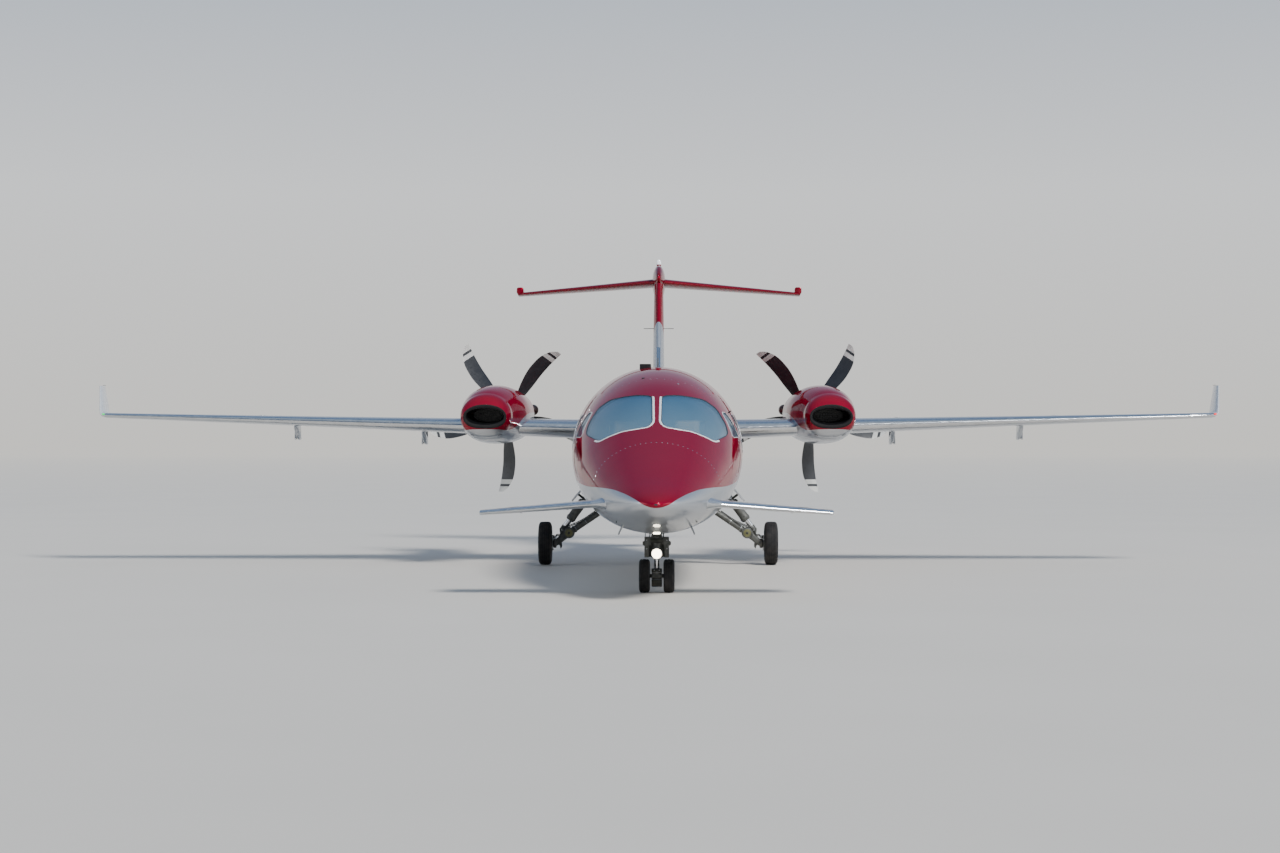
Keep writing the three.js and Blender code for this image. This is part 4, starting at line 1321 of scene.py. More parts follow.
    @staticmethod
    def _drawn_in(outline: Outline, distance: float) -> list[Pair]:
        """Returns an outline made smaller all round by a distance.

        Args:
            outline: the outline.
            distance: how far it is drawn in.

        Returns:
            The smaller outline.
        """
        points = [Vector(p) for p in outline]
        area = sum(a.x * b.y - b.x * a.y for a, b in zip(points, [*points[1:], points[0]]))
        result = []
        for k, here in enumerate(points):
            way = (points[(k + 1) % len(points)] - points[k - 1]).normalized()
            inward = Vector((-way.y, way.x)) * (1 if area > 0 else -1)
            result.append(tuple(here + inward * distance))
        return result

    def _pane_cut(self, outline: Outline, along: Axis, shrink: float, side: Side = Side.LEFT) -> Form:
        """Returns the form that cuts one window's opening, or its pane when shrink is above 0.

        Args:
            outline: the opening's outline.
            along: the way that it is cut.
            shrink: how much smaller the form is.
            side: which side.

        Returns:
            The closed form.
        """
        outline = self._drawn_in(outline, shrink) if shrink else outline
        if along is Axis.Y:
            return Form().plate(outline, Axis.Y, *self.screen_reach)
        return Form().plate(outline, Axis.X, *sorted(side * reach for reach in self.side_reach))

    def _sector(self, first: float, last: float, low: float, high: float) -> Form:
        """Returns a wedge between two stations and two angles, seen from the middle of the cabin."""
        return Form().plate(rays_from(self.door_z, (low, (low + high) / 2, high)), Axis.Y, first, last)

    def _doors(self) -> None:
        """Builds the two halves of the cabin door and the baggage door."""
        low, split, high = self.door_turns
        clear = self.door_rim + self.door_gap
        first, last = self.door[0] + clear, self.door[1] - clear
        edge, window = self.door_edge, self._pane_cut(self._cabin_outline(0), Axis.X, 0)
        start, end, bottom, top = self.baggage
        hatch = Form().block((400, start + self.door_gap, bottom + self.door_gap),
                             (1200, end - self.door_gap, top - self.baggage_drop))
        upper = self._sector(first, last, split + edge / 3, high - edge)
        lower = self._sector(first, last, low + edge, split - edge / 3)
        for name, reach, leaf, holes, slot in (
                ("door_upper", (3700, 4500), upper, [window], "paint_red"),
                ("door_lower", (3700, 4500), lower, [], "paint_silver"),
                ("baggage_door", (9500, 10220), hatch, [], "paint_red")):
            piece = self._panel(name, *reach, hollow=True)
            carve(piece, [leaf], Cut.KEEP)
            carve(piece, holes)
            self._shade(piece)
            settle(piece, name, slot, [name])

    def _pane(self, name: str, reach: Pair, thick: float, glass: Look, cut: Form, body: str,
              node: str) -> None:
        """Builds panes, cut from a thin closed shell just inside the skin.

        Args:
            name: the piece's name.
            reach: the shell's first and last station.
            thick: the glass's thickness.
            glass: its finish.
            cut: what the panes share with the shell.
            body: the CAD body that carries them.
            node: the CAD node that they replace.
        """
        inner = self.glass_inset + thick
        stations = steps(*reach, 60)
        pane = Form().loft(SKIN.rings(stations, self.around, self.glass_inset)).piece(name, (glass,))
        carve(pane, [Form().loft(SKIN.rings([reach[0] - 20, *stations, reach[1] + 20], self.around, inner))])
        carve(pane, [cut], Cut.KEEP)
        true_normals(pane, ((SKIN, self.glass_inset, 0), (SKIN, inner, 0)), 0)
        settle(pane, body, "glazing", [node])

    def _glass(self) -> None:
        """Builds the panes of the cockpit, the cabin and the door."""
        shrink = self.pane_shrink
        for side in Side:
            cut = self._pane_cut(self._screen_outline(), Axis.Y, shrink)
            cut.merge(self._pane_cut(self._side_outline(), Axis.X, shrink))
            self._pane("cockpit_panes_" + side.word, (1950, 3700), 14, Look.GLASS, both_sides(cut, side),
                       ROOT, "windscreen_" + side.word)
            cuts = Form()
            for number in range(1 if side is Side.LEFT else 0, self.window_count):
                cuts.merge(self._pane_cut(self._cabin_outline(number), Axis.X, shrink, side))
            self._pane("cabin_panes_" + side.word, (3900, 7410), 10, Look.CABIN_GLASS, cuts, ROOT,
                       "cabin_windows_" + side.word)
        cut = self._pane_cut(self._cabin_outline(0), Axis.X, shrink)
        self._pane("door_pane", (3900, 4400), 10, Look.CABIN_GLASS, cut, "door_upper", "door_window")

    def _line_round(self, outline: Outline, along: Axis, side: Side,
                    closed: bool = True) -> list[Vector]:
        """Returns the line where an outline meets the skin, anticlockwise as seen from outside.

        Args:
            outline: the outline.
            along: the way that it is seen.
            side: which side.
            closed: whether the outline closes on itself.

        Returns:
            Places on the skin.
        """
        outline = finer(outline, 40.0, closed)
        if along is Axis.Y:
            line = [Vector((side * x, SKIN.ahead(x, z, 1500, self.screen_reach[1]), z)) for x, z in outline]
        else:
            line = [skin_place(station, z, side) for station, z in outline]
        middle = sum(line, Vector()) / len(line)
        turn = sum(((line[k - 1] - middle).cross(line[k] - middle) for k in range(len(line))), Vector())
        return line if turn.dot(SKIN.normal(middle)) > 0 else line[::-1]

    def _frames(self) -> None:
        """Builds the retainers and seals round all panes."""
        retainer, narrow = Strip(23, 2.5, out=13), Strip(8, 1.5, out=5)
        rim, seal = Strip(12, 1.5, out=5), Strip(9, 0.5, out=-1.5, sink=12)
        cockpit = Form()
        for side in Side:
            outline = self._screen_outline()
            lowest = self._line_round(outline[45:] + outline[:8], Axis.Y, side, closed=False)
            retainer.add_to(cockpit, lowest, 0, closed=False)
            seal.add_to(cockpit, self._line_round(outline, Axis.Y, side), 1)
            line = self._line_round(self._side_outline(), Axis.X, side)
            narrow.add_to(cockpit, line, 0)
            seal.add_to(cockpit, line, 1)
        # The retainers and narrow frames of the cockpit windows are near white: a painted glint on their
        # metal.
        settle(cockpit.piece("cockpit_window_frames", (Look.PAINTED_GLINT_FRAME, Look.SEAL)), ROOT, "paint_silver")
        cabin, door = Form(), Form()
        for number in range(self.window_count):
            for side in Side:
                form = door if side is Side.LEFT and number == 0 else cabin
                line = self._line_round(self._cabin_outline(number), Axis.X, side)
                rim.add_to(form, line, 0)
                seal.add_to(form, line, 1)
        settle(cabin.piece("cabin_window_frames", (Look.POLISHED, Look.SEAL)), ROOT, "paint_silver")
        settle(door.piece("door_window_frame", (Look.POLISHED, Look.SEAL)), "door_upper", "paint_silver")


@dataclass(frozen=True)
class Surface:
    """Where a control surface starts and ends, and the share of the chord ahead of its hinge."""

    first: float
    last: float
    hinge: float


@dataclass(frozen=True)
class Foil:
    """A tapered lifting surface drawn flat: x runs outboard, lead is the leading edge's station."""

    tip_x: float
    root_lead: float
    tip_lead: float
    root_chord: float
    tip_chord: float
    root_z: float
    rise: float
    root_thick: float
    tip_thick: float
    shares: int = 26

    def at(self, x: float) -> tuple[float, float, float, float]:
        """Returns the leading edge's station, the chord, the height and the thickness share at x.

        Args:
            x: distance outboard.

        Returns:
            The four values.
        """
        t = x / self.tip_x

        def between(a: float, b: float) -> float:
            """Returns the value at x between the root's and the tip's."""
            return a + (b - a) * t
        return (between(self.root_lead, self.tip_lead), between(self.root_chord, self.tip_chord),
                self.root_z + self.rise * x, between(self.root_thick, self.tip_thick))

    @staticmethod
    def half(share: float, thick: float) -> float:
        """Returns half the thickness at a share of the chord, as a share of the chord."""
        return 5 * thick * (0.2969 * math.sqrt(share) - 0.126 * share - 0.3516 * share**2
                            + 0.2843 * share**3 - 0.1015 * share**4) + 0.0015 * share

    def ring(self, x: float, section: tuple[float, float, float, float] | None = None,
             turn: float = 0.0) -> list[Vector]:
        """Returns the outline of the section at x.

        Args:
            x: distance outboard.
            section: lead, chord, height and thickness, if not the foil's own.
            turn: how far the section is turned up, in radians.

        Returns:
            Places round the section.
        """
        lead, chord, z, thick = section or self.at(x)
        count = self.shares
        shares = [(1 + math.cos(math.pi * k / count)) / 2 for k in range(count + 1)]
        upper = [(share, self.half(share, thick) * chord) for share in shares]
        lower = [(share, -up) for share, up in reversed(upper[:-1])]
        return [Vector((x - up * math.sin(turn), lead + share * chord, z + up * math.cos(turn)))
                for share, up in [*upper, *lower]]

    def hinge_station(self, surface: Surface, x: float) -> float:
        """Returns the station of a surface's hinge line at x."""
        lead, chord, _, _ = self.at(x)
        return lead + surface.hinge * chord

    def skin_z(self, x: float, share: float) -> float:
        """Returns the height of the lower skin at a share of the chord."""
        _, chord, z, thick = self.at(x)
        return z - self.half(share, thick) * chord

    def hinge_line(self, surface: Surface) -> list[Vector]:
        """Returns the ends of a surface's hinge line, at mid thickness."""
        return [Vector((x, self.hinge_station(surface, x), self.at(x)[2]))
                for x in (surface.first, surface.last)]

    def behind(self, surface: Surface, inset: float, back: float) -> Form:
        """Returns everything behind a hinge line, with ends square to it.

        Args:
            surface: the control surface.
            inset: how far the ends are drawn in.
            back: how far the front edge is moved aft.

        Returns:
            The closed form.
        """
        start, end = self.hinge_line(surface)
        along = Vector((end.x - start.x, end.y - start.y)).normalized()
        aft = Vector((-along.y, along.x))

        def corner(point: Vector, way: int, distance: float) -> Pair:
            """Returns the corner that lies inboard or outboard of a point, and a distance behind it."""
            return tuple(point.xy + along * way * inset + aft * distance)
        outline = [corner(start, 1, back), corner(end, -1, back), corner(end, -1, 1500),
                   corner(start, 1, 1500)]
        return Form().plate(outline, Axis.Z, start.z - 500, start.z + 500)

    def round_nose(self, surface: Surface, inset: float, grow: float) -> Form:
        """Returns the round bar about a surface's hinge line, from skin to skin.

        Args:
            surface: the control surface.
            inset: how far its ends are drawn in.
            grow: how much thicker it is than the foil.

        Returns:
            The closed form.
        """
        start, end = self.hinge_line(surface)
        along = (end - start).normalized()
        radii = [self.half(surface.hinge, self.at(x)[3]) * self.at(x)[1] + grow
                 for x in (surface.first, surface.last)]
        return Form().tube([start + along * inset, end - along * inset], radii, sides=32)


def stood(form: Form, degrees: float, base: float) -> Form:
    """Turns a form that lies flat about the fuselage's axis: 90 degrees stands it up on base."""
    turn = Matrix.Rotation(-math.radians(degrees), 4, "Y")
    return Form().merge(form, Matrix.Translation((0, 0, base)) @ turn)


def both_sides(form: Form, side: Side) -> Form:
    """Returns the form for the left side, or its mirror image for the right."""
    return form if side is Side.LEFT else form.mirrored()


@dataclass
class Wing:
    """The main wings with their winglets, ailerons, flaps and flap hinge fairings."""

    foil: Foil = Foil(7015, 7600, 7890, 1820, 620, 1683, 0.0288, 0.158, 0.104)
    aileron: Surface = Surface(5150, 6780, 0.75)
    outer_flap: Surface = Surface(2525, 5120, 0.74)
    inner_flap: Surface = Surface(1030, 1610, 0.76)
    winglet: Rows = ((7015, 1885, 0, 7890, 620), (7060, 1894, 35, 7920, 590), (7090, 1932, 68, 7965, 540),
                     (7122, 2090, 76, 8096, 424), (7157, 2266, 78, 8240, 300))
    arms: Pair = (3010.0, 4640.0)
    arm_drop: float = 185.0
    arm_half_width: float = 30.0
    wick_x: float = 6960.0
    gap: float = 6.0
    cove: float = 21.0
    flap_front: float = 9.0

    def build(self) -> None:
        """Builds both wings."""
        for side in Side:
            self._wing(side)
            self._surfaces(side)
            self._fittings(side)

    def _whole(self) -> Form:
        """Returns the left wing before its flaps and aileron are parted from it.

        Returns:
            The closed form.
        """
        flat = [self.foil.ring(x) for x in steps(800, self.foil.tip_x, 310)]
        tips = []
        for k in steps(0, len(self.winglet) - 1, 0.2)[1:]:
            x, z, turn, lead, chord = row_at(self.winglet, k)
            tips.append(self.foil.ring(x, (lead, chord, z, self.foil.tip_thick), math.radians(turn)))
        return Form().loft([*flat, *tips])

    def _wing(self, side: Side) -> None:
        """Builds one wing with the openings for its surfaces.

        Args:
            side: which side.
        """
        piece = both_sides(self._whole(), side).piece(
            "wing_skin_" + side.word, (Look.SILVER, Look.POLISHED, Look.WHITE, Look.BLACK), sharp=50)
        tools = [self.foil.behind(self.aileron, 0, 0), self.foil.round_nose(self.aileron, 0, self.gap),
                 self.foil.behind(self.outer_flap, 0, -self.gap),
                 self.foil.behind(self.inner_flap, 0, -self.cove)]
        carve(piece, [both_sides(tool, side) for tool in tools])
        self._mark(piece)
        settle(piece, ROOT, "wing_silver", ["wing_" + side.word])

    def _mark(self, piece: Piece) -> None:
        """Gives the polished leading edge and the pale winglet their own finishes.

        Args:
            piece: the piece.
        """
        for polygon in piece.data.polygons:
            x, station = abs(polygon.center.x) / MM, polygon.center.y / MM + LENGTH / 2
            lead, chord, _, _ = self.foil.at(min(x, self.foil.tip_x))
            share = (station - lead) / chord
            if x > self.foil.tip_x + 20:
                polygon.material_index = 2
            elif share < 0.055:
                polygon.material_index = 1
            elif abs(polygon.normal.z) < 0.5 and share > 0.3:
                polygon.material_index = 3
        resmooth(piece)

    def _surfaces(self, side: Side) -> None:
        """Builds one side's aileron and flaps.

        Args:
            side: which side.
        """
        gap = self.gap
        parts = (("aileron", [both_sides(self.foil.behind(self.aileron, gap, 0), side)], self.aileron),
                 ("flap_outer", [both_sides(self.foil.behind(self.outer_flap, gap, 0), side)],
                  self.outer_flap),
                 ("flap_inner", [both_sides(self.foil.behind(self.inner_flap, gap, -self.flap_front), side)],
                  self.inner_flap),)
        for name, tools, surface in parts:
            rings = [self.foil.ring(x) for x in steps(surface.first - 250, surface.last + 100, 250)]
            piece = both_sides(Form().loft(rings), side).piece(
                f"{name}_skin_{side.word}", (Look.SILVER, Look.GEAR), sharp=50)
            carve(piece, tools, Cut.KEEP)
            if name == "aileron":
                carve(piece, [both_sides(self.foil.round_nose(surface, gap, -1), side)], Cut.JOIN)
            if name == "flap_outer":
                for arm in self._flap_arms():
                    carve(piece, [both_sides(arm, side)], Cut.JOIN)
            resmooth(piece)
            settle(piece, f"{name}_{side.word}", "wing_silver", [f"{name}_{side.word}"])

    def _arm_axis(self) -> list[Vector]:
        """Returns the places of the outer flap's hinge pins."""
        return [Vector((x, self.foil.hinge_station(self.outer_flap, x),
                        self.foil.skin_z(x, self.outer_flap.hinge) - self.arm_drop)) for x in self.arms]

    def _flap_arms(self) -> list[Form]:
        """Returns the brackets that carry the outer flap beside its fairings.

        Returns:
            Closed forms.
        """
        start, end = self._arm_axis()
        along = (end - start).normalized()
        first = self.arm_half_width + 8
        result = []
        for pin in (start, end):
            x = pin.x + first
            lead, chord, _, _ = self.foil.at(x)
            station, foot = self.foil.hinge_station(self.outer_flap, x), pin.z + along.z / along.x * first
            outline = [(station - 22, foot - 14), (station + 2, foot - 24), (station + 24, foot - 10),
                       (lead + 0.86 * chord, self.foil.skin_z(x, 0.86) + 8),
                       (lead + 0.76 * chord, self.foil.skin_z(x, 0.76) + 8)]
            result.append(Form().plate(rounded(outline, 12, 3), Axis.X, x, x + 22))
        return result

    def _fittings(self, side: Side) -> None:
        """Builds one side's hinge fairings, lamps and static wicks.

        Args:
            side: which side.
        """
        form = Form()
        for pin in self._arm_axis():
            lead, chord, _, _ = self.foil.at(pin.x)
            front, rear = lead + 0.3 * chord, pin.y + 34
            rings = []
            for k in range(17):
                t = k / 16
                station = front + (rear - front) * t
                share = min((station - lead) / chord, 0.735)
                top = self.foil.skin_z(pin.x, share) + 10
                low = top - (top - pin.z + 26) * math.sin(min(t * 1.12, 1) * math.pi / 2) ** 1.6
                top = top if t < 0.84 else top - (top - pin.z - 24) * ((t - 0.84) / 0.16) ** 1.5
                taper = 1 if t < 0.8 else 1 - 2.6 * (t - 0.8) ** 1.3
                wide = self.arm_half_width * min(1, 0.12 + 2.6 * t) * taper
                middle, tall = (top + low) / 2, max((top - low) / 2, 5)
                rings.append([(pin.x + a, station, middle + b) for a, b in ellipse(wide, tall, 16, 0.75)])
            form.loft(rings, 0)
            form.tube([pin, pin + Vector((44, 0, 0))], 9, 1, sides=12)
        for station in (8330, 8426):
            form.tube([(7156, station, 2262), (7158, station + 160, 2280)], 2.5, 2, 6)
        lead, chord, z, _ = self.foil.at(self.wick_x)
        form.tube([(self.wick_x, lead + chord - 6, z), (self.wick_x, lead + chord + 120, z - 4)], 2.6, 2, 6)
        piece = both_sides(form, side).piece("wing_fairings_" + side.word,
                                             (Look.SILVER, Look.GEAR, Look.BLACK))
        settle(piece, ROOT, "wing_silver")
        lamp = Form()
        rings = []
        for k in range(7):
            t = k / 6
            rings.append([(7040 + a, 7912 + 60 * t - 30, 1898 + b) for a, b in
                          ellipse(4 + 16 * math.sin(math.pi * t), 3 + 10 * math.sin(math.pi * t), 12)])
        lamp.loft(rings)
        piece = both_sides(lamp, side).piece(
            "wingtip_lamp_" + side.word, (Look.NAV_RED if side is Side.LEFT else Look.NAV_GREEN,))
        settle(piece, ROOT, "glazing")


@dataclass
class Foreplane:
    """The small fore wings on the nose, with their flaps."""

    foil: Foil = Foil(1750, 1000, 1240, 790, 550, 979, -0.0805, 0.12, 0.1)
    flap: Surface = Surface(650, 1600, 0.7)
    wick_x: float = 1690.0
    gap: float = 6.0
    cove: float = 16.0
    flap_front: float = 10.0

    def build(self) -> None:
        """Builds both fore wings."""
        for side in Side:
            rings = [self.foil.ring(x) for x in steps(330, self.foil.tip_x, 142)]
            tip_x = self.foil.tip_x
            lead, chord, z, thick = self.foil.at(tip_x)
            tips = [self.foil.ring(tip_x + grow, (lead + (1 - share) * 90, chord * share, z, thick * share))
                    for grow, share in ((12, 0.985), (20, 0.93), (24, 0.8))]
            whole = both_sides(Form().loft([*rings, *tips]), side)
            piece = whole.piece("foreplane_skin_" + side.word, (Look.SILVER, Look.POLISHED), sharp=50)
            carve(piece, [both_sides(self.foil.behind(self.flap, 0, -self.cove), side)])
            for polygon in piece.data.polygons:
                x, station = abs(polygon.center.x) / MM, polygon.center.y / MM + LENGTH / 2
                lead, chord, _, _ = self.foil.at(x)
                if (station - lead) / chord < 0.06:
                    polygon.material_index = 1
            resmooth(piece)
            settle(piece, ROOT, "composite_silver", ["foreplane_" + side.word])
            fillet = []
            for x, swell, ahead in ((400, 2.5, 110), (450, 2.1, 80), (500, 1.72, 52), (550, 1.4, 28),
                                    (600, 1.16, 11), (630, 1.06, 4), (647, 1.03, 1)):
                lead, chord, z, thick = self.foil.at(x)
                swollen = (lead - ahead, chord + ahead, z + 4 * (swell - 1), thick * swell)
                fillet.append(self.foil.ring(x, swollen))
            form = both_sides(Form().loft(fillet), side)
            settle(form.piece("foreplane_fillet_" + side.word, (Look.SILVER,), sharp=50), ROOT,
                   "composite_silver")
            form = both_sides(Form().loft(rings), side)
            flap = form.piece("foreplane_flap_skin_" + side.word, (Look.SILVER,), sharp=50)
            carve(flap, [both_sides(self.foil.behind(self.flap, self.gap, -self.flap_front), side)], Cut.KEEP)
            resmooth(flap)
            settle(flap, "foreplane_flap_" + side.word, "composite_silver", ["foreplane_flap_" + side.word])
            fittings = Form()
            for x in (900, 1370):
                lead, chord, _, _ = self.foil.at(x)
                under = self.foil.skin_z(x, 0.62)
                outline = [(lead + 0.46 * chord, under + 6), (lead + 0.56 * chord, under - 20),
                           (lead + 0.66 * chord, under - 22), (lead + 0.7 * chord, under + 2)]
                fittings.plate(rounded(outline, 14, 4), Axis.X, x - 9, x + 9)
            x = self.wick_x
            lead, chord, z, _ = self.foil.at(x)
            fittings.tube([(x, lead + chord - 5, z), (x + 4, lead + chord + 110, z - 3)], 2.5, 1, 6)
            piece = both_sides(fittings, side).piece("foreplane_fittings_" + side.word,
                                                     (Look.SILVER, Look.BLACK), bevel=3)
            settle(piece, ROOT, "composite_silver")


@dataclass
class Tail:
    """The fin with its rudder, the tailplane on top with its bullet fairing, and the ventral fins."""

    fin: Foil = Foil(1880, 9650, 11780, 2960, 1620, 0, 0, 0.052, 0.075)
    rudder: Surface = Surface(600, 1500, 0.69)
    tailplane: Foil = Foil(2125, 12440, 13820, 1200, 590, 3870, -0.047, 0.1, 0.09)
    elevator: Surface = Surface(290, 1960, 0.68)
    ventral: Foil = Foil(780, 11320, 12250, 1180, 700, 0, 0, 0.035, 0.045)
    base: float = 2050.0
    top: float = 3740.0
    ventral_base: float = 1800.0
    ventral_drop: float = 52.0
    beacon: Place = (0.0, 12480.0, 4092.0)
    bullet: Sections = Sections((
        (11700, 10, 3882, 3862, 3872), (11850, 52, 3985, 3752, 3870), (12150, 84, 4072, 3670, 3868),
        (12600, 95, 4110, 3632, 3868), (13100, 92, 4095, 3650, 3870), (13550, 66, 4030, 3735, 3875),
        (13900, 12, 3925, 3897, 3910)), blunt=True)
    gap: float = 6.0

    def build(self) -> None:
        """Builds the whole tail."""
        self._fin()
        self._tailplane()
        self._ventral_fins()
        self._fittings()

    def _round_cut(self, piece: Piece, foil: Foil, surface: Surface, lay: Callable[[Form], Form]) -> None:
        """Cuts the space of a round-nosed surface out of a piece."""
        carve(piece, [lay(foil.behind(surface, 0, 0)), lay(foil.round_nose(surface, 0, self.gap))])
        resmooth(piece)

    def _moving(self, name: str, foil: Foil, surface: Surface, lay: Callable[[Form], Form],
                finish: Look) -> Piece:
        """Makes a round-nosed surface.

        Args:
            name: the piece's name.
            foil: the foil that it is cut from.
            surface: the control surface.
            lay: puts a flat form in its place.
            finish: its finish.

        Returns:
            The piece.
        """
        rings = [foil.ring(x) for x in steps(surface.first - 200, surface.last + 100, 160)]
        piece = lay(Form().loft(rings)).piece(name, (finish,), sharp=50)
        carve(piece, [lay(foil.behind(surface, self.gap, 0))], Cut.KEEP)
        carve(piece, [lay(foil.round_nose(surface, self.gap, -1))], Cut.JOIN)
        resmooth(piece)
        return piece

    def _fin(self) -> None:
        """Builds the fin and the rudder."""

        def stand(form: Form) -> Form:
            """Stands a flat form up on the fin's base."""
            return stood(form, 90, self.base)
        rings = [self.fin.ring(x) for x in steps(-160, self.top - self.base + 60, 160)]
        piece = stand(Form().loft(rings)).piece("fin_skin", (Look.FIN, Look.POLISHED), sharp=50)
        self._round_cut(piece, self.fin, self.rudder, stand)
        for polygon in piece.data.polygons:
            up, station = polygon.center.z / MM - self.base, polygon.center.y / MM + LENGTH / 2
            lead, chord, _, _ = self.fin.at(up)
            if (station - lead) / chord < 0.022 and up < 850:
                polygon.material_index = 1
        settle(piece, ROOT, "composite_red", ["fin"])
        rudder = self._moving("rudder_skin", self.fin, self.rudder, stand, Look.FIN)
        settle(rudder, "rudder", "composite_red", ["rudder"])

    def _tailplane(self) -> None:
        """Builds the tailplane with its rounded tips, its bullet fairing and the elevators."""
        bullet = Form().loft(self.bullet.rings(
            [11700 + 300 * (k / 10) ** 2 for k in range(10)] + steps(12000, 13900, 60), 40))
        middle = bullet.piece("bullet_fairing", (Look.RED,))
        true_normals(middle, ((self.bullet, 0.0, 0),), 0)
        settle(middle, ROOT, "composite_red")
        for side in Side:
            rings = [self.tailplane.ring(x) for x in steps(20, self.tailplane.tip_x - 14, 150)]
            lead, chord, z, thick = self.tailplane.at(self.tailplane.tip_x)
            rings += [self.tailplane.ring(self.tailplane.tip_x - 14 + out, (lead, chord, z, thick * share))
                      for out, share in ((8, 0.97), (14, 0.7))]
            piece = both_sides(Form().loft(rings), side).piece(
                "tailplane_skin_" + side.word, (Look.RED,), sharp=50)
            self._round_cut(piece, self.tailplane, self.elevator,
                            lambda form, side=side: both_sides(form, side))
            settle(piece, ROOT, "composite_red", ["tailplane"])
            elevator = self._moving("elevator_skin_" + side.word, self.tailplane, self.elevator,
                                    lambda form, side=side: both_sides(form, side), Look.RED)
            settle(elevator, "elevator_" + side.word, "composite_red", ["elevator_" + side.word])

    def _ventral_fins(self) -> None:
        """Builds the two slanted fins under the tail."""
        rings = [self.ventral.ring(x) for x in steps(60, self.ventral.tip_x, 120)]
        for side in Side:
            form = both_sides(stood(Form().loft(rings), -self.ventral_drop, self.ventral_base), side)
            piece = form.piece("ventral_fin_" + side.word, (Look.SILVER,), sharp=50)
            settle(piece, ROOT, "composite_red")

    def _fittings(self) -> None:
        """Builds the beacon, the aerial rods, the blocks at the tailplane's tips and the tail lamp."""
        form = Form()
        form.lathe([(0, 0), (0, 26), (20, 34), (26, 34), (26, 0)], self.beacon, UP, 0, 20)
        form.tube([(-210, 11560, 3146), (-60, 11480, 3144), (60, 11480, 3144), (210, 11560, 3146)], 4.5, 1, 8)
        for side in Side:
            form.tube([(side * 10, 11480, 3144), (side * 46, 11480, 3144)], [16, 7], 0, 12)
        block = [[(2092 + 52 * share * a, station, 3822 + 52 * share * b + drop)
                  for a, b in ellipse(1, 1, 24, 0.55)]
                 for station, share, drop in ((13842, 0.8, 0), (13850, 1.0, 0), (14080, 0.98, -2),
                                              (14230, 0.62, -12), (14300, 0.3, -20))]
        weights = Form().loft(block, 0)
        form.merge(weights).merge(weights.mirrored())
        settle(form.piece("tail_fittings", (Look.RED, Look.BLACK)), ROOT, "composite_red")
        glass = Form()
        dome = [(26 + 70 * math.sin(math.pi / 2 * k / 8), 34 * math.cos(math.pi / 2 * k / 8) ** 0.7)
                for k in range(9)]
        glass.lathe([(26, 0), *dome[:-1], (96, 0)], self.beacon, UP, 0, 20)
        settle(glass.piece("beacon_glass", (Look.WHITE_LENS,)), ROOT, "glazing")
        lamp = Form()
        lamp.lathe([(0, 0), (0, 11), (10, 9), (18, 4), (20, 0)], (0, 13884, 3911), AFT, 0, 14)
        settle(lamp.piece("tail_lamp", (Look.WHITE_LENS,)), ROOT, "glazing")


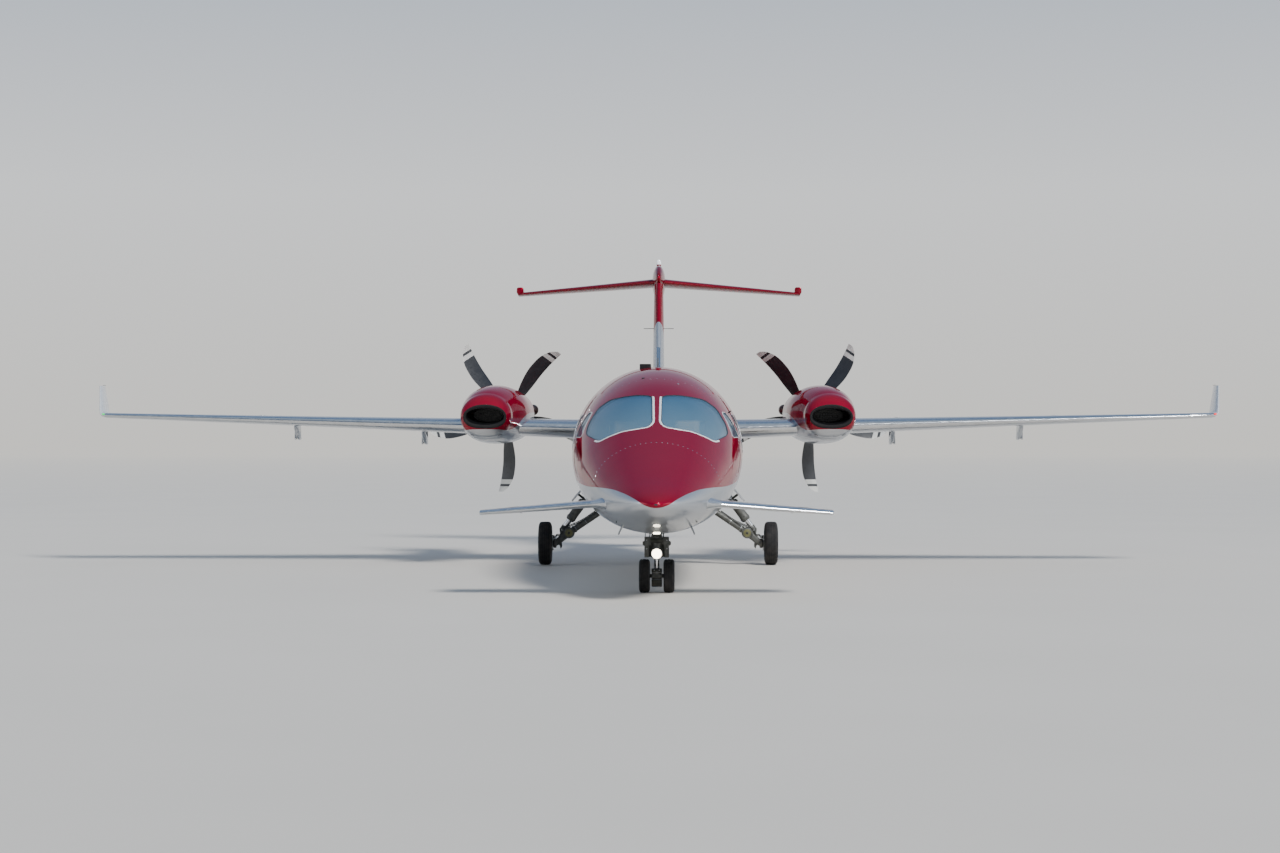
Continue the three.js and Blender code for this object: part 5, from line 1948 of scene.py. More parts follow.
@dataclass
class Nacelle:
    """The engine nacelles: cowl, rubber lip, intake duct and the exhaust stubs' collars."""

    shape: Sections = Sections((
        (6950, 262, 1998, 1714, 1857, 2128), (7010, 292, 2062, 1664, 1862, 2127),
        (7250, 322, 2158, 1588, 1872, 2120), (7600, 372, 2228, 1545, 1890, 2098),
        (8000, 415, 2262, 1527, 1904, 2076), (8700, 432, 2268, 1526, 1915, 2065),
        (9400, 415, 2240, 1565, 1925, 2065), (9860, 335, 2196, 1650, 1938, 2065),
        (10275, 205, 2142, 1746, 1945, 2065)), power=(2.05, 2.45))
    wall: float = 25.0
    around: int = 80
    lip: Place = (2128.0, 6962.0, 1857.0)
    mouth: Pair = (233.0, 100.0)
    front: float = 6957.0
    screen: float = 7330.0
    exhaust: Place = (2065.0, 9860.0, 1965.0)
    stub_hole: float = 92.0

    def build(self) -> None:
        """Builds both nacelles."""
        for side in Side:
            self._cowl(side)
            self._mouth(side)
            self._fittings(side)

    def _cowl(self, side: Side) -> None:
        """Builds the cowl, which the wing and the exhaust stubs pass through.

        Args:
            side: which side.
        """
        front, cheek, rear = self.front, self.shape.rows[2][0], self.shape.rows[-1][0]
        stations = [front + (cheek - front) * (k / 8) ** 1.6 for k in range(8)] + steps(cheek, rear, 90)
        cowl, core = (both_sides(Form().loft(self.shape.rings(run, self.around, inset)), side)
                      for run, inset in ((stations, 0.0), ([front - 20, *stations[1:-1], rear + 20],
                                                           self.wall)))
        piece = cowl.piece("nacelle_skin_" + side.word, (Look.NACELLE, Look.BLACK, Look.BLACK))
        wing = Wing().foil
        x, station, z = self.exhaust
        wing_hole = Form().loft([self._grown(wing.ring(place)) for place in (1400, 2800)])
        stub_hole = Form().tube([(x - 600, station, z), (x + 600, station, z)], self.stub_hole, sides=40)
        carve(piece, [core, both_sides(wing_hole, side), both_sides(stub_hole, side)])
        true_normals(piece, ((self.shape, 0.0, 0), (self.shape, self.wall, 1)), 2, side=side)
        settle(piece, ROOT, "composite_red", ["nacelle_" + side.word])

    @staticmethod
    def _grown(ring: Sequence[Vector]) -> list[Vector]:
        """Returns a wing section made a little larger, for a clear fit."""
        middle = sum(ring, Vector()) / len(ring)
        return [p + Vector((0, p.y - middle.y, p.z - middle.z)).normalized() * 1.0 for p in ring]

    def _mouth(self, side: Side) -> None:
        """Builds the thick black lip, the duct behind it and its screen.

        Args:
            side: which side.
        """
        form = Form()
        x, station, z = self.lip
        wide, tall = self.mouth
        section = ((0.0, 42), (0.0, 6), (0.08, -3), (0.32, -9), (0.62, -11), (0.9, -9.5), (1.0, -5.6),
                   (0.12, -5.4), (0.12, 42), (0.0, 42))
        rings = []
        for a, b in ellipse(wide, tall, 96, 0.9):
            edge = self.shape.point(self.front, math.atan2(b / tall, a / wide))
            ring = []
            for share, back in section:
                place = Vector((x + a, 0, z + b)).lerp(edge, share)
                ring.append(Vector((place.x, station + back, place.z)))
            rings.append(ring)
        form.loft([*rings, rings[0]], 0, caps=False, closed=False)
        duct = []
        for back, shrink, drop in ((6, 1.0, 0), (90, 0.9, 6), (200, 0.84, 14),
                                   (self.screen - station + 16, 0.8, 20)):
            duct.append([(x - back * 0.06 + wide * shrink * a, station + back, z + drop + tall * shrink * b)
                         for a, b in ellipse(1, 1, 48, 0.92)])
        outer = [[(px + (px - x) * 0.03, py, pz + (pz - z) * 0.05) for px, py, pz in ring] for ring in duct]
        # The duct is lined in black: painted shade for the dark inside of the intake.
        form.loft([*duct, *outer[::-1], duct[0]], 1, caps=False)
        bars = duct[-1]
        middle = sum((Vector(p) for p in bars), Vector()) / len(bars)
        # A black plate closes the duct behind the screen: a painted shadow that stands for the intake's dark
        # depth.
        form.loft([[(p[0], back, p[2]) for p in bars] for back in (self.screen, self.screen + 4)], 1)
        broad, high = wide * 0.8, tall * 0.8
        for k in range(-5, 6):
            offset = k * broad / 6
            reach = high * math.sqrt(1 - (offset / broad) ** 2) * 0.98
            form.tube([(middle.x + offset, self.screen - 6, middle.z - reach),
                       (middle.x + offset, self.screen - 6, middle.z + reach)], 3, 2, 6)
        for k in range(-2, 3):
            offset = k * high / 3
            reach = broad * math.sqrt(1 - (offset / high) ** 2) * 0.98
            form.tube([(middle.x - reach, self.screen - 10, middle.z + offset),
                       (middle.x + reach, self.screen - 10, middle.z + offset)], 3, 2, 6)
        piece = both_sides(form, side).piece("intake_lip_" + side.word, (Look.LIP, Look.BOOT, Look.GEAR_DARK))
        settle(piece, ROOT, "composite_red")

    def _on_skin(self, station: float, turn: float) -> tuple[Vector, Vector]:
        """Returns a place on the left nacelle's skin and the outward direction there."""
        place = self.shape.point(station, math.radians(turn))
        return place, self.shape.normal(place)

    def _fittings(self, side: Side) -> None:
        """Builds the drain slits and the collars of the exhaust stubs.

        Args:
            side: which side.
        """
        form = Form()
        # Each drain slit is a thin black oval raised on the skin: painted shade that stands for its dark
        # opening.
        for turn, half in ((-118, 24), (-62, 24)):
            place, out = self._on_skin(7150, turn)
            lay = frame_along(out, Vector(ACROSS))
            rings = []
            for rise, share in ((-6, 1.0), (1.2, 1.0), (2.4, 0.9)):
                rings.append([place + lay @ Vector((half * share * a, 9 * share * b, rise))
                              for a, b in ellipse(1, 1, 20, 0.8)])
            form.loft(rings, 0)
        x, station, z = self.exhaust
        for way in (1, -1):
            ring = []
            for k in range(40):
                turn = 2 * math.pi * k / 40
                aim = Vector((0, math.cos(turn), math.sin(turn)))
                near = Vector((x, station, z)) + aim * self.stub_hole
                half, top, bottom, wide, _ = self.shape.at(near.y)
                tall = top - wide if near.z > wide else wide - bottom
                share = max(1 - (abs(near.z - wide) / tall) ** 2, 0.02)
                ring.append((Vector((x + way * half * math.sqrt(share), near.y, near.z)), aim))
            rings = [[p + aim * a + Vector((way * b, 0, 0)) for a, b in
                      ((-3, -10), (-3, 3), (2, 5), (14, 3), (16, -6))] for p, aim in ring]
            form.loft([*rings, rings[0]], 1, caps=False)
        settle(both_sides(form, side).piece("nacelle_fittings_" + side.word, (Look.BOOT, Look.WORN_METAL)),
               ROOT, "composite_red")


@dataclass
class Engine:
    """The engines inside the nacelles: gas generator, gear case, shaft and bent exhaust stubs."""

    x: float = 2065.0
    start: float = 8650.0
    end: float = 10080.0
    z: float = 1955.0
    shaft_z: float = 1945.0
    stub_station: float = 9860.0
    stub_z: float = 1965.0
    face: float = 10283.0

    def build(self) -> None:
        """Builds both engines."""
        for side in Side:
            form = Form()
            profile = [(0, 0), (0, 190), (60, 205), (260, 205), (270, 190), (420, 190), (430, 212),
                       (470, 212), (480, 196), (900, 180), (910, 200), (940, 200), (950, 172), (1250, 168),
                       (1430, 165), (1560, 92), (1605, 75), (1605, 0)]
            form.lathe(profile, (self.x, self.start, self.z), (0, 1, -0.006), 0, 32)
            form.lathe([(0, 0), (0, 60), (self.face - self.end - 1, 60), (self.face - self.end - 1, 0)],
                       (self.x, self.end, self.shaft_z), AFT, 1, 24)
            for way in (1, -1):
                path = [(120, 0, 0), (240, 0, 2), (318, 10, 4), (356, 38, 6), (371, 78, 10), (374, 108, 12)]
                line = [Vector((self.x + way * out, self.stub_station + back, self.stub_z + up))
                        for out, back, up in path]
                form.merge(self._pipe(line, (78, 80, 79, 77, 75, 74), 4))
            piece = both_sides(form, side).piece("engine_body_" + side.word,
                                                 (Look.GEAR_DARK, Look.WORN_METAL, Look.HOT_METAL))
            settle(piece, ROOT, "engine_metal", ["engine_" + side.word])

    @staticmethod
    def _pipe(line: Sequence[Vector], radii: Sequence[float], wall: float) -> Form:
        """Returns an open pipe along a bent line, with its inner face.

        Args:
            line: the middle of the pipe.
            radii: outer radius at each point.
            wall: thickness.

        Returns:
            The closed form.
        """
        sides = 36
        rows = [row_at([(*p, radius) for p, radius in zip(line, radii)], k)
                for k in steps(0, len(line) - 1, 0.2)]
        outer, inner = ([tube.points[k * sides:(k + 1) * sides] for k in range(len(rows))] for tube in (
            Form().tube([row[:3] for row in rows], [row[3] - thick for row in rows], sides=sides)
            for thick in (0, wall)))
        return Form().loft([*outer, *inner[::-1], outer[0]], 2, caps=False)


@dataclass
class Propeller:
    """Five-bladed pusher propellers with their spinners."""

    centre: Place = (2065.0, 10425.0, 1945.0)
    blades: int = 5
    spinner: Rows = ((-142, 170), (-136, 177), (-120, 179), (40, 181), (120, 168), (200, 146), (280, 117),
                     (340, 88), (400, 54), (440, 26), (460, 8))
    blade: Rows = ((110, 110, 80, 0, 62), (180, 116, 62, 0, 61), (250, 150, 44, 0, 58),
                   (460, 222, 26, -16, 48), (720, 232, 17, -22, 40), (960, 175, 10, 24, 33),
                   (1040, 120, 7, 62, 31), (1078, 62, 4, 94, 30))
    bands: tuple[Pair, ...] = ((912.0, 972.0), (1006.0, 1080.0))
    around: int = 28

    def build(self) -> None:
        """Builds both propellers."""
        for side in Side:
            form = Form()
            centre = Vector(self.centre)
            profile = [(-142.0, 0.0), *self.spinner, (466.0, 0.0)]
            form.lathe(profile, centre, AFT, 0, 64)
            form.lathe([(-112, 176), (-112, 180.6), (-104, 180.6), (-104, 176), (-112, 176)], centre, AFT, 2,
                       64)
            for number in range(self.blades):
                turn = 2 * math.pi * (number + 0.5) / self.blades - math.pi / 2
                form.merge(self._blade(), Matrix.Translation(centre) @ Matrix.Rotation(turn, 4, "Y"))
            piece = both_sides(form, side).piece("propeller_blades_" + side.word,
                                                 (Look.SILVER, Look.BLADE, Look.WORN_METAL, Look.BLADE_TIP),
                                                 sharp=55)
            settle(piece, "propeller_" + side.word, "propeller_grey", ["propeller_" + side.word])

    def _blade(self) -> Form:
        """Returns one blade that points outboard, with its cuff and painted bands.

        Returns:
            The closed form.
        """
        form = Form()
        places = [row[0] for row in self.blade]
        radii = sorted({*steps(places[0], places[-1], 24),
                        *[edge for band in self.bands for edge in band if edge < places[-1]]})
        rings = []
        for radius in radii:
            chord, thick, sweep, pitch = (smooth(places, [row[k] for row in self.blade], radius)
                                          for k in range(1, 5))
            turn = math.radians(pitch)
            ring = []
            for n in range(self.around):
                t = 2 * math.pi * n / self.around
                a = chord / 2 * math.cos(t)
                b = thick / 2 * math.sin(t) * (0.62 + 0.38 * math.cos(t)) * 1.15
                ring.append((radius, a * math.sin(turn) + b * math.cos(turn),
                             sweep + a * math.cos(turn) - b * math.sin(turn)))
            rings.append(ring)
        for k in range(len(radii) - 1):
            middle = (radii[k] + radii[k + 1]) / 2
            pale = any(low < middle < high for low, high in self.bands)
            form.loft(rings[k:k + 2], 3 if pale else 1, caps=False)
        for ring, slot in ((rings[0], 1), (rings[-1], 3)):
            form.add(ring, [tuple(range(self.around))], slot)
        return form


def tyre_profile(radius: float, rim: float, width: float, grooves: Sequence[float]) -> list[Pair]:
    """Returns a tyre's closed outline, as place along the axle and radius.

    Args:
        radius: outer radius.
        rim: radius of the rim.
        width: width over the side walls.
        grooves: where the tread's grooves are, as shares of half the width.

    Returns:
        The outline, from bead to bead over the tread.
    """
    half, deep = width / 2, radius - rim
    wall = [(0.72, rim + 0.4), (0.82, rim + 0.04 * deep), (0.93, rim + 0.2 * deep),
            (0.965, rim + 0.42 * deep), (0.955, rim + 0.6 * deep), (0.9, rim + 0.76 * deep),
            (0.82, rim + 0.87 * deep), (0.7, radius - 0.05 * deep)]
    tread = []
    for k in range(13):
        share = 0.62 - 0.62 * k / 12
        tread.append((share, radius - 0.035 * deep * (share / 0.62) ** 2))
    for groove in grooves:
        edge = 2.6 / half
        tread = [(s, r) for s, r in tread if abs(s - groove) > edge * 1.4]
        tread += [(groove + edge, radius - 0.6), (groove + edge * 0.7, radius - 6),
                  (groove - edge * 0.7, radius - 6), (groove - edge, radius - 0.6)]
    tread = sorted({(round(s, 5), r) for s, r in tread if s > 1e-4}, reverse=True)
    side = [(s * half, min(r, radius)) for s, r in [*wall, *tread]]
    outline = [*[(-a, r) for a, r in side], (0.0, radius), *side[::-1]]
    return [*outline, outline[0]]


@dataclass
class MainGear:
    """The main undercarriage: legs on trailing arms, shock struts, brakes, wheels and leg doors."""

    station: float = 7740.0
    x: float = 1420.0
    z: float = 272.0
    radius: float = 272.0
    width: float = 172.0
    rim: float = 132.0
    bore: float = 36.0
    knee: Pair = (1119.0, 403.0)
    struts: tuple[tuple[Pair, Pair, float], ...] = (
        ((1119, 403), (533, 794), 38), ((1203, 440), (762, 1040), 36))
    door: tuple[Pair, ...] = ((792, 1090), (808, 1106), (1086, 816), (1070, 800))

    def build(self) -> None:
        """Builds both legs."""
        for side in Side:
            self._leg(side)
            self._wheel(side)
            self._door(side)

    def _at(self, x: float, z: float, back: float = 0.0) -> Vector:
        """Returns a place in the leg's plane, or behind it."""
        return Vector((x, self.station + back, z))

    def _leg(self, side: Side) -> None:
        """Builds one leg with its knee, struts, trailing arm, axle, brake and hoses.

        Args:
            side: which side.
        """
        form = Form()
        kx, kz = self.knee
        knee = self._at(kx, kz)
        form.lathe([(-99, 0), (-99, 50), (-95, 56), (-95, 63), (-88, 69), (-58, 69), (-54, 64), (-20, 64),
                    (-16, 70), (16, 70), (20, 64), (54, 64), (58, 69), (88, 69), (95, 63), (95, 56), (99, 50),
                    (99, 0)], knee, AFT, 0, 48)
        for end in (-1, 1):
            form.lathe([(95 * end, 0), (95 * end, 20), (104 * end, 18), (106 * end, 0)], knee, AFT, 3, 6)
            form.lathe([(95 * end, 0), (95 * end, 51), (99.6 * end, 50), (99.6 * end, 0)], knee, AFT, 5, 48)
            for number in range(8):
                turn = 2 * math.pi * number / 8
                spot = knee + Vector((43 * math.cos(turn), 0, 43 * math.sin(turn)))
                form.lathe([(93 * end, 0), (93 * end, 5), (102 * end, 4), (103 * end, 0)], spot, AFT, 3, 6)
        face = self.x - 96
        arm = [(kx, kz, 50, 62), (kx + 60, kz - 40, 46, 60), (kx + 120, kz - 92, 42, 56),
               (face - 50, self.z + 10, 40, 50), (face - 20, self.z, 38, 46)]
        self._beam(form, arm)
        lug = rounded([(face - 112, self.z + 22), (face - 70, self.z - 8), (face - 86, self.z - 34),
                       (face - 98, self.z - 72), (face - 118, self.z - 44)], 10, 4)
        form.plate(lug, Axis.Y, self.station - 16, self.station + 16, 0)
        form.lathe([(-46, 0), (-46, 56), (-40, 60), (-14, 60), (-10, 54), (0, 52), (0, 0)],
                   self._at(face, self.z), ACROSS, 0, 40)
        form.lathe([(-34, 0), (-34, 35), (166, 35), (172, 30), (172, 0)], self._at(face, self.z), ACROSS, 1,
                   32)
        self._struts(form)
        self._brake(form)
        self._hoses(form)
        looks = (Look.GEAR, Look.WORN_METAL, Look.HOSE, Look.GEAR_DARK, Look.CHROME, Look.OLIVE)
        piece = both_sides(form, side).piece("main_leg_body_" + side.word, looks, bevel=1.5)
        settle(piece, ROOT, "gear_grey", ["main_leg_" + side.word])

    def _beam(self, form: Form, path: Rows) -> None:
        """Adds a forged beam along x, z points with a half height and a half width at each.

        Args:
            form: the form that gets it.
            path: rows of x, z, half height and half width.
        """
        rings = []
        for k in steps(0, len(path) - 1, 0.2):
            x, z, tall, deep = row_at(path, k)
            ahead, behind = row_at(path, min(k + 0.05, len(path) - 1)), row_at(path, max(k - 0.05, 0))
            way = Vector((ahead[0] - behind[0], 0, ahead[1] - behind[1])).normalized()
            across = Vector((-way.z, 0, way.x))
            rings.append([self._at(x, z) + across * tall * b + Vector((0, deep * a, 0))
                          for a, b in ellipse(1, 1, 28, 0.62)])
        form.loft(rings)

    def _struts(self, form: Form) -> None:
        """Adds the side brace, the shock strut with its cylinder and rod, and the lugs at their feet.

        Args:
            form: the form that gets them.
        """
        (foot, head, radius), (low, high, thin) = self.struts
        start, end = self._at(*foot), self._at(*head)
        way = (end - start).normalized()
        form.tube([start + way * 40, end - way * 1], [radius, radius - 0.4], 0, 28)
        for near, far, grow, slot in ((66, 92, 7, 0), (250, 258, 4, 1), (96, 104, 3, 1)):
            form.tube([start + way * near, start + way * far], radius + grow, slot, 28)
        start, end = self._at(*low), self._at(*high)
        way = (end - start).normalized()
        form.tube([start, end - way * 1], [thin - 2, thin - 0.4], 4, 28)
        form.tube([start - way * 16, start + way * 56], [40, 42], 0, 28)
        top = self._at(*(low[n] + (high[n] - low[n]) * 0.6 for n in (0, 1)))
        bottom = self._at(*(low[n] + (high[n] - low[n]) * 0.21 for n in (0, 1)))
        along = (top - bottom).normalized()
        profile = [(-6, 0), (-6, 46), (0, 54), (16, 58), (22, 62), (38, 62), (44, 57), (228, 56), (234, 60),
                   (250, 60), (256, 54), (268, 48), (268, 0)]
        scale = (top - bottom).length / 262
        form.lathe([(a * scale, r) for a, r in profile], bottom, along, 0, 40)
        form.tube([self._at(self.x - 230, self.z + 73), self._at(low[0], low[1])], [28, 32], 0, 24)
        for reach in (-44, 44):
            cheek = rounded([(low[0] - 64, low[1] - 30), (low[0] + 14, low[1] + 44),
                             (low[0] + 40, low[1] + 6), (low[0] + 24, low[1] - 70),
                             (low[0] - 30, low[1] - 84)], 22, 4)
            form.plate(cheek, Axis.Y, self.station + reach - 8, self.station + reach + 8, 0)
        form.lathe([(-60, 0), (-60, 15), (60, 15), (60, 0)], self._at(*low), AFT, 1, 20)

    def _brake(self, form: Form) -> None:
        """Adds the brake pack inside the wheel, its caliper and the hose union.

        Args:
            form: the form that gets them.
        """
        inner = self._at(self.x, self.z)
        form.lathe([(-90, 60), (-90, 98), (-84, 104), (-72, 104), (-70, 96), (-64, 96), (-62, 100),
                    (-46, 100), (-44, 96), (-34, 94), (-34, 60), (-90, 60)], inner, ACROSS, 3, 40)
        for turn in (60, 100, 140, 240, 285):
            a = math.radians(turn)
            spot = inner + Vector((0, 78 * math.cos(a), 78 * math.sin(a)))
            form.lathe([(-104, 0), (-104, 13), (-98, 17), (-84, 17), (-84, 0)], spot, ACROSS, 1, 16)
        form.block((self.x - 118, self.station - 26, self.z + 62),
                   (self.x - 66, self.station + 26, self.z + 100), 3)
        form.tube([self._at(self.x - 140, self.z + 74), self._at(self.x - 112, self.z + 78)], 11, 1, 12)

    def _hoses(self, form: Form) -> None:
        """Adds the brake hose down the leg and the wiring beside it.

        Args:
            form: the form that gets them.
        """
        for shift, rise in ((-52, 0), (-60, 16)):
            path = [(self.knee[0] - 330, self.knee[1] + 262), (self.knee[0] - 160, self.knee[1] + 148),
                    (self.knee[0] - 20, self.knee[1] + 84), (self.knee[0] + 70, self.knee[1] + 40),
                    (self.knee[0] + 110, self.knee[1] - 30), (self.x - 150, self.z + 96),
                    (self.x - 128, self.z + 76)]
            line = []
            for k in steps(0, len(path) - 1, 0.2):
                x, z = row_at(path, k)
                back = shift * math.sin(min(k / 2, 1) * math.pi / 2) * (1 if k < 4 else max(0.1, (6 - k) / 2))
                line.append(self._at(x, z + rise, back))
            form.tube(line, 6.5, 2, 10)

    def _wheel(self, side: Side) -> None:
        """Builds one tyre and one split rim.

        Args:
            side: which side.
        """
        hub = self._at(self.x, self.z)
        tyre = Form().lathe(tyre_profile(self.radius, self.rim, self.width, (0.16, 0.46)), hub, ACROSS, 0, 96)
        settle(both_sides(tyre, side).piece("main_tyre_tread_" + side.word, (Look.TYRE,), sharp=50),
               "main_wheel_" + side.word, "tyre", ["main_tyre_" + side.word])
        half = self.width / 2
        rim = Form()
        outline = [(-0.72, self.bore), (-0.72, self.bore + 20), (-0.3, self.bore + 26),
                   (-0.16, self.rim - 34), (-0.3, self.rim - 22), (-0.74, self.rim - 15),
                   (-0.8, self.rim - 6), (-0.76, self.rim), (0.76, self.rim), (0.8, self.rim - 5),
                   (0.74, self.rim - 12), (0.46, self.rim - 20), (0.36, self.rim - 34), (0.5, self.bore + 34),
                   (0.72, self.bore + 20), (0.72, self.bore)]
        outline = [(a * half, r) for a, r in outline]
        rim.lathe([*outline, outline[0]], hub, ACROSS, 0, 64)
        rim.lathe([(60, 0), (60, 34), (72, 33), (84, 26), (88, 10), (88, 0)], hub, ACROSS, 1, 32)
        for number in range(9):
            turn = 2 * math.pi * number / 9
            spot = hub + Vector((0, 84 * math.cos(turn), 84 * math.sin(turn)))
            rim.lathe([(30, 0), (30, 8), (43, 8), (44, 0)], spot, ACROSS, 2, 6)
        piece = both_sides(rim, side).piece("main_rim_body_" + side.word,
                                            (Look.WORN_METAL, Look.GEAR_DARK, Look.CHROME), bevel=1)
        settle(piece, "main_wheel_" + side.word, "wheel_alloy", ["main_rim_" + side.word])

    def _door(self, side: Side) -> None:
        """Builds the leg's door, its link and the bay door against the belly.

        Args:
            side: which side.
        """
        first, last = self.station - 220, self.station + 190
        (a, b), (c, d), (e, f), (g, h) = self.door
        form = Form()
        rings = []
        for k in range(9):
            t = k / 8
            bow = 10 * math.sin(math.pi * t)
            low = Vector((a + (g - a) * t + bow * 0.7, b + (h - b) * t + bow * 0.7))
            high = Vector((c + (e - c) * t + bow * 0.7, d + (f - d) * t + bow * 0.7))
            corner = 34 if k in (0, 8) else 10 if k in (1, 7) else 0
            rings.append([(low.x, first + corner, low.y), (low.x, last - corner, low.y),
                          (high.x, last - corner, high.y), (high.x, first + corner, high.y)])
        form.loft(rings, 0)
        for station in (self.station - 120, self.station + 90):
            form.tube([(1000, station, 885), (930, station, 830), (902, self.station, 800)], 11, 1, 12)
        piece = both_sides(form, side).piece("leg_door_" + side.word, (Look.SILVER, Look.GEAR_DARK), bevel=4)
        settle(piece, ROOT, "paint_silver", ["main_gear_door_" + side.word])
        bay = Form()
        first, last, rings = 7470, 8010, []
        for k in range(11):
            t = k / 10
            z = 1075 - 262 * t
            near = SKIN.side(self.station, z) + 14 + 52 * math.sin(min(t * 1.5, 1) * math.pi / 2)
            rings.append([(near - 16, first, z), (near - 16, last, z), (near, last, z + 6),
                          (near, first, z + 6)])
        bay.loft(rings, 0)
        for station in (first + 90, last - 90):
            for z, reach, radius in ((1046, 46, 10), (930, 60, 8)):
                skin = SKIN.side(station, z)
                bay.tube([(skin - 30, station, z), (skin + reach, station, z - 7)], radius, 1, 12)
        piece = both_sides(bay, side).piece("bay_door_" + side.word, (Look.SILVER, Look.GEAR_DARK), bevel=4)
        settle(piece, ROOT, "paint_silver")


@dataclass
class NoseGear:
    """The nose undercarriage: leg with lamp and towing lugs, chrome piston, fork and twin wheels."""

    station: float = 1950.0
    x: float = 126.0
    z: float = 172.0
    radius: float = 172.0
    width: float = 118.0
    rim: float = 88.0
    bore: float = 20.0
    half_width: float = 127.0
    half_depth: float = 52.0
    lug_reach: float = 146.0
    top: float = 573.0
    low: float = 362.0
    lamp_z: float = 404.0
    lamp_radius: float = 57.0
    piston: float = 27.2
    well: tuple[float, float, float, float] = (1870.0, 2240.0, 120.0, 790.0)

    def build(self) -> None:
        """Builds the leg, its lamp, the fork, the wheels and the well's walls."""
        self._leg()
        self._lamp()
        self._fork()
        self._wheels()
        self._well()

    def _leg(self) -> None:
        """Builds the fixed leg: cylinder, yoke, towing lugs, steering actuator and drag stay."""
        form = Form()
        s = self.station
        form.lathe([(self.low, 28), (self.low, 44), (self.low + 8, 50), (self.top - 60, 52),
                    (self.top - 52, 60), (self.top + 6, 60), (self.top + 14, 54), (self.well[3] - 1, 54),
                    (self.well[3] - 1, 28), (self.low, 28)], (0, s, 0), UP, 0, 40)
        yoke = rounded([(-self.half_width, self.top), (-self.half_width, self.low),
                        (-self.half_width + 46, self.low), (-self.half_width + 50, self.top - 90),
                        (-58, self.top - 62), (58, self.top - 62), (self.half_width - 50, self.top - 90),
                        (self.half_width - 46, self.low), (self.half_width, self.low),
                        (self.half_width, self.top), (66, self.top), (52, self.top - 14),
                        (-52, self.top - 14), (-66, self.top)], 9, 3)
        form.plate(yoke, Axis.Y, s - self.half_depth, s + self.half_depth, 0)
        for way in (-1, 1):
            form.lathe([(56, 0), (56, 24), (self.half_width + 2, 24), (self.half_width + 6, 20),
                        (self.lug_reach - 4, 20), (self.lug_reach, 16), (self.lug_reach, 0)], (0, s, 506),
                       (way, 0, 0), 0, 28)
            form.block((way * 128 - 8, s - 24, 482), (way * 128 + 8, s + 24, 530), 3)
            for z in (452, 540):
                form.lathe([(0, 0), (0, 9), (7, 8), (8, 0)], (way * 104, s - self.half_depth, z), AHEAD, 1, 6)
            form.tube([(way * 92, s - 30, self.low + 4), (way * 92, s - 30, self.low + 60)], 18, 3, 16)
        form.block((-56, s - 50, self.low), (56, s + 50, self.low + 36), 0)
        form.block((-84, s - 14, self.low + 4), (84, s + 30, self.top - 40), 3)
        form.lathe([(-66, 0), (-66, 21), (66, 21), (66, 0)], (0, s - 62, 536), ACROSS, 3, 24)
        form.tube([(-40, s - 62, 536), (-40, s - 62, 596)], 8, 2, 10)
        form.tube([(40, s - 62, 536), (44, s - 60, 600)], 8, 2, 10)
        hinge = self.well[1] - 40
        form.tube([(0, s + 20, 470), (0, hinge, self.well[3] - 40)], 24, 0, 20)
        form.tube([(0, s + 130, 592), (0, s + 160, 618)], 30, 1, 20)
        form.block((-40, self.well[1] - 75, self.well[3] - 60), (40, self.well[1] - 15, self.well[3] - 1), 0)
        form.tube([(62, s + 10, 700), (70, s + 34, 560), (74, s + 40, 470), (62, s + 34, 404)], 6, 2, 10)
        form.tube([(-62, s + 10, 700), (-72, s + 30, 570), (-70, s + 44, 480), (-56, s + 40, 410)], 6, 2, 10)
        piece = form.piece("nose_leg_body", (Look.GEAR, Look.WORN_METAL, Look.HOSE, Look.GEAR_DARK), bevel=2)
        settle(piece, ROOT, "gear_grey", ["nose_leg"])

    def _lamp(self) -> None:
        """Builds the taxi lamp's bowl, rim and glass."""
        s, r = self.station, self.lamp_radius
        form = Form()
        form.lathe([(30, 0), (30, 20), (44, 34), (66, 46), (92, r - 2), (122, r), (126, r - 3), (126, r - 7),
                    (118, r - 7), (90, r - 12), (60, 30), (50, 0)], (0, s, self.lamp_z), AHEAD, 0, 40)
        form.tube([(0, s - 34, self.lamp_z + 10), (0, s - 46, self.lamp_z + 66)], 12, 0, 16)
        settle(form.piece("taxi_lamp_bowl", (Look.WORN_METAL,)), ROOT, "gear_grey")
        glass = Form().lathe([(112, 0), (112, r - 7.4), (119, r - 7.4), (124, r - 20), (126, 0)],
                             (0, s, self.lamp_z), AHEAD, 0, 40)
        settle(glass.piece("taxi_lamp_glass", (Look.LAMP,)), ROOT, "glazing")

    def _fork(self) -> None:
        """Builds the steered part: chrome piston, torque links and the housing of the axle."""
        form = Form()
        s, z = self.station, self.z
        hole = self.bore + 0.8
        form.tube([(0, s, z + 40), (0, s, 558)], self.piston, 0, 40)
        form.lathe([(-52, hole), (-52, 38), (-47, 42), (47, 42), (52, 38), (52, hole), (-52, hole)],
                   (0, s, z), ACROSS, 1, 40)
        form.lathe([(22, 0), (22, 44), (40, 46), (54, 38), (66, 34), (72, 31), (72, 27), (22, 27)], (0, s, z),
                   UP, 1, 32)
        for way in (-1, 1):
            form.lathe([(0, 0), (0, 7), (8, 6), (9, 0)], (way * 26, s - 46, z + 60), AHEAD, 2, 6)
        for low, high in ((60, z - 36), (z + 34, z + 76)):
            guard = rounded([(-54, low), (54, low), (54, high), (-54, high)], 12, 4)
            form.plate(guard, Axis.Y, s - 44, s + 44, 3)
        link = rounded([(s + 34, z + 50), (s + 96, z + 118), (s + 108, z + 108), (s + 52, z + 34)], 8, 3)
        form.plate(link, Axis.X, -16, 16, 1)
        upper = rounded([(s + 100, z + 122), (s + 50, self.low - 16), (s + 36, self.low - 26),
                         (s + 92, z + 106)], 8, 3)
        form.plate(upper, Axis.X, -12, 12, 1)
        form.lathe([(-22, 0), (-22, 8), (22, 8), (22, 0)], (0, s + 101, z + 113), ACROSS, 2, 16)
        piece = form.piece("nose_fork_body", (Look.CHROME, Look.GEAR, Look.WORN_METAL, Look.GEAR_DARK),
                           bevel=1.2)
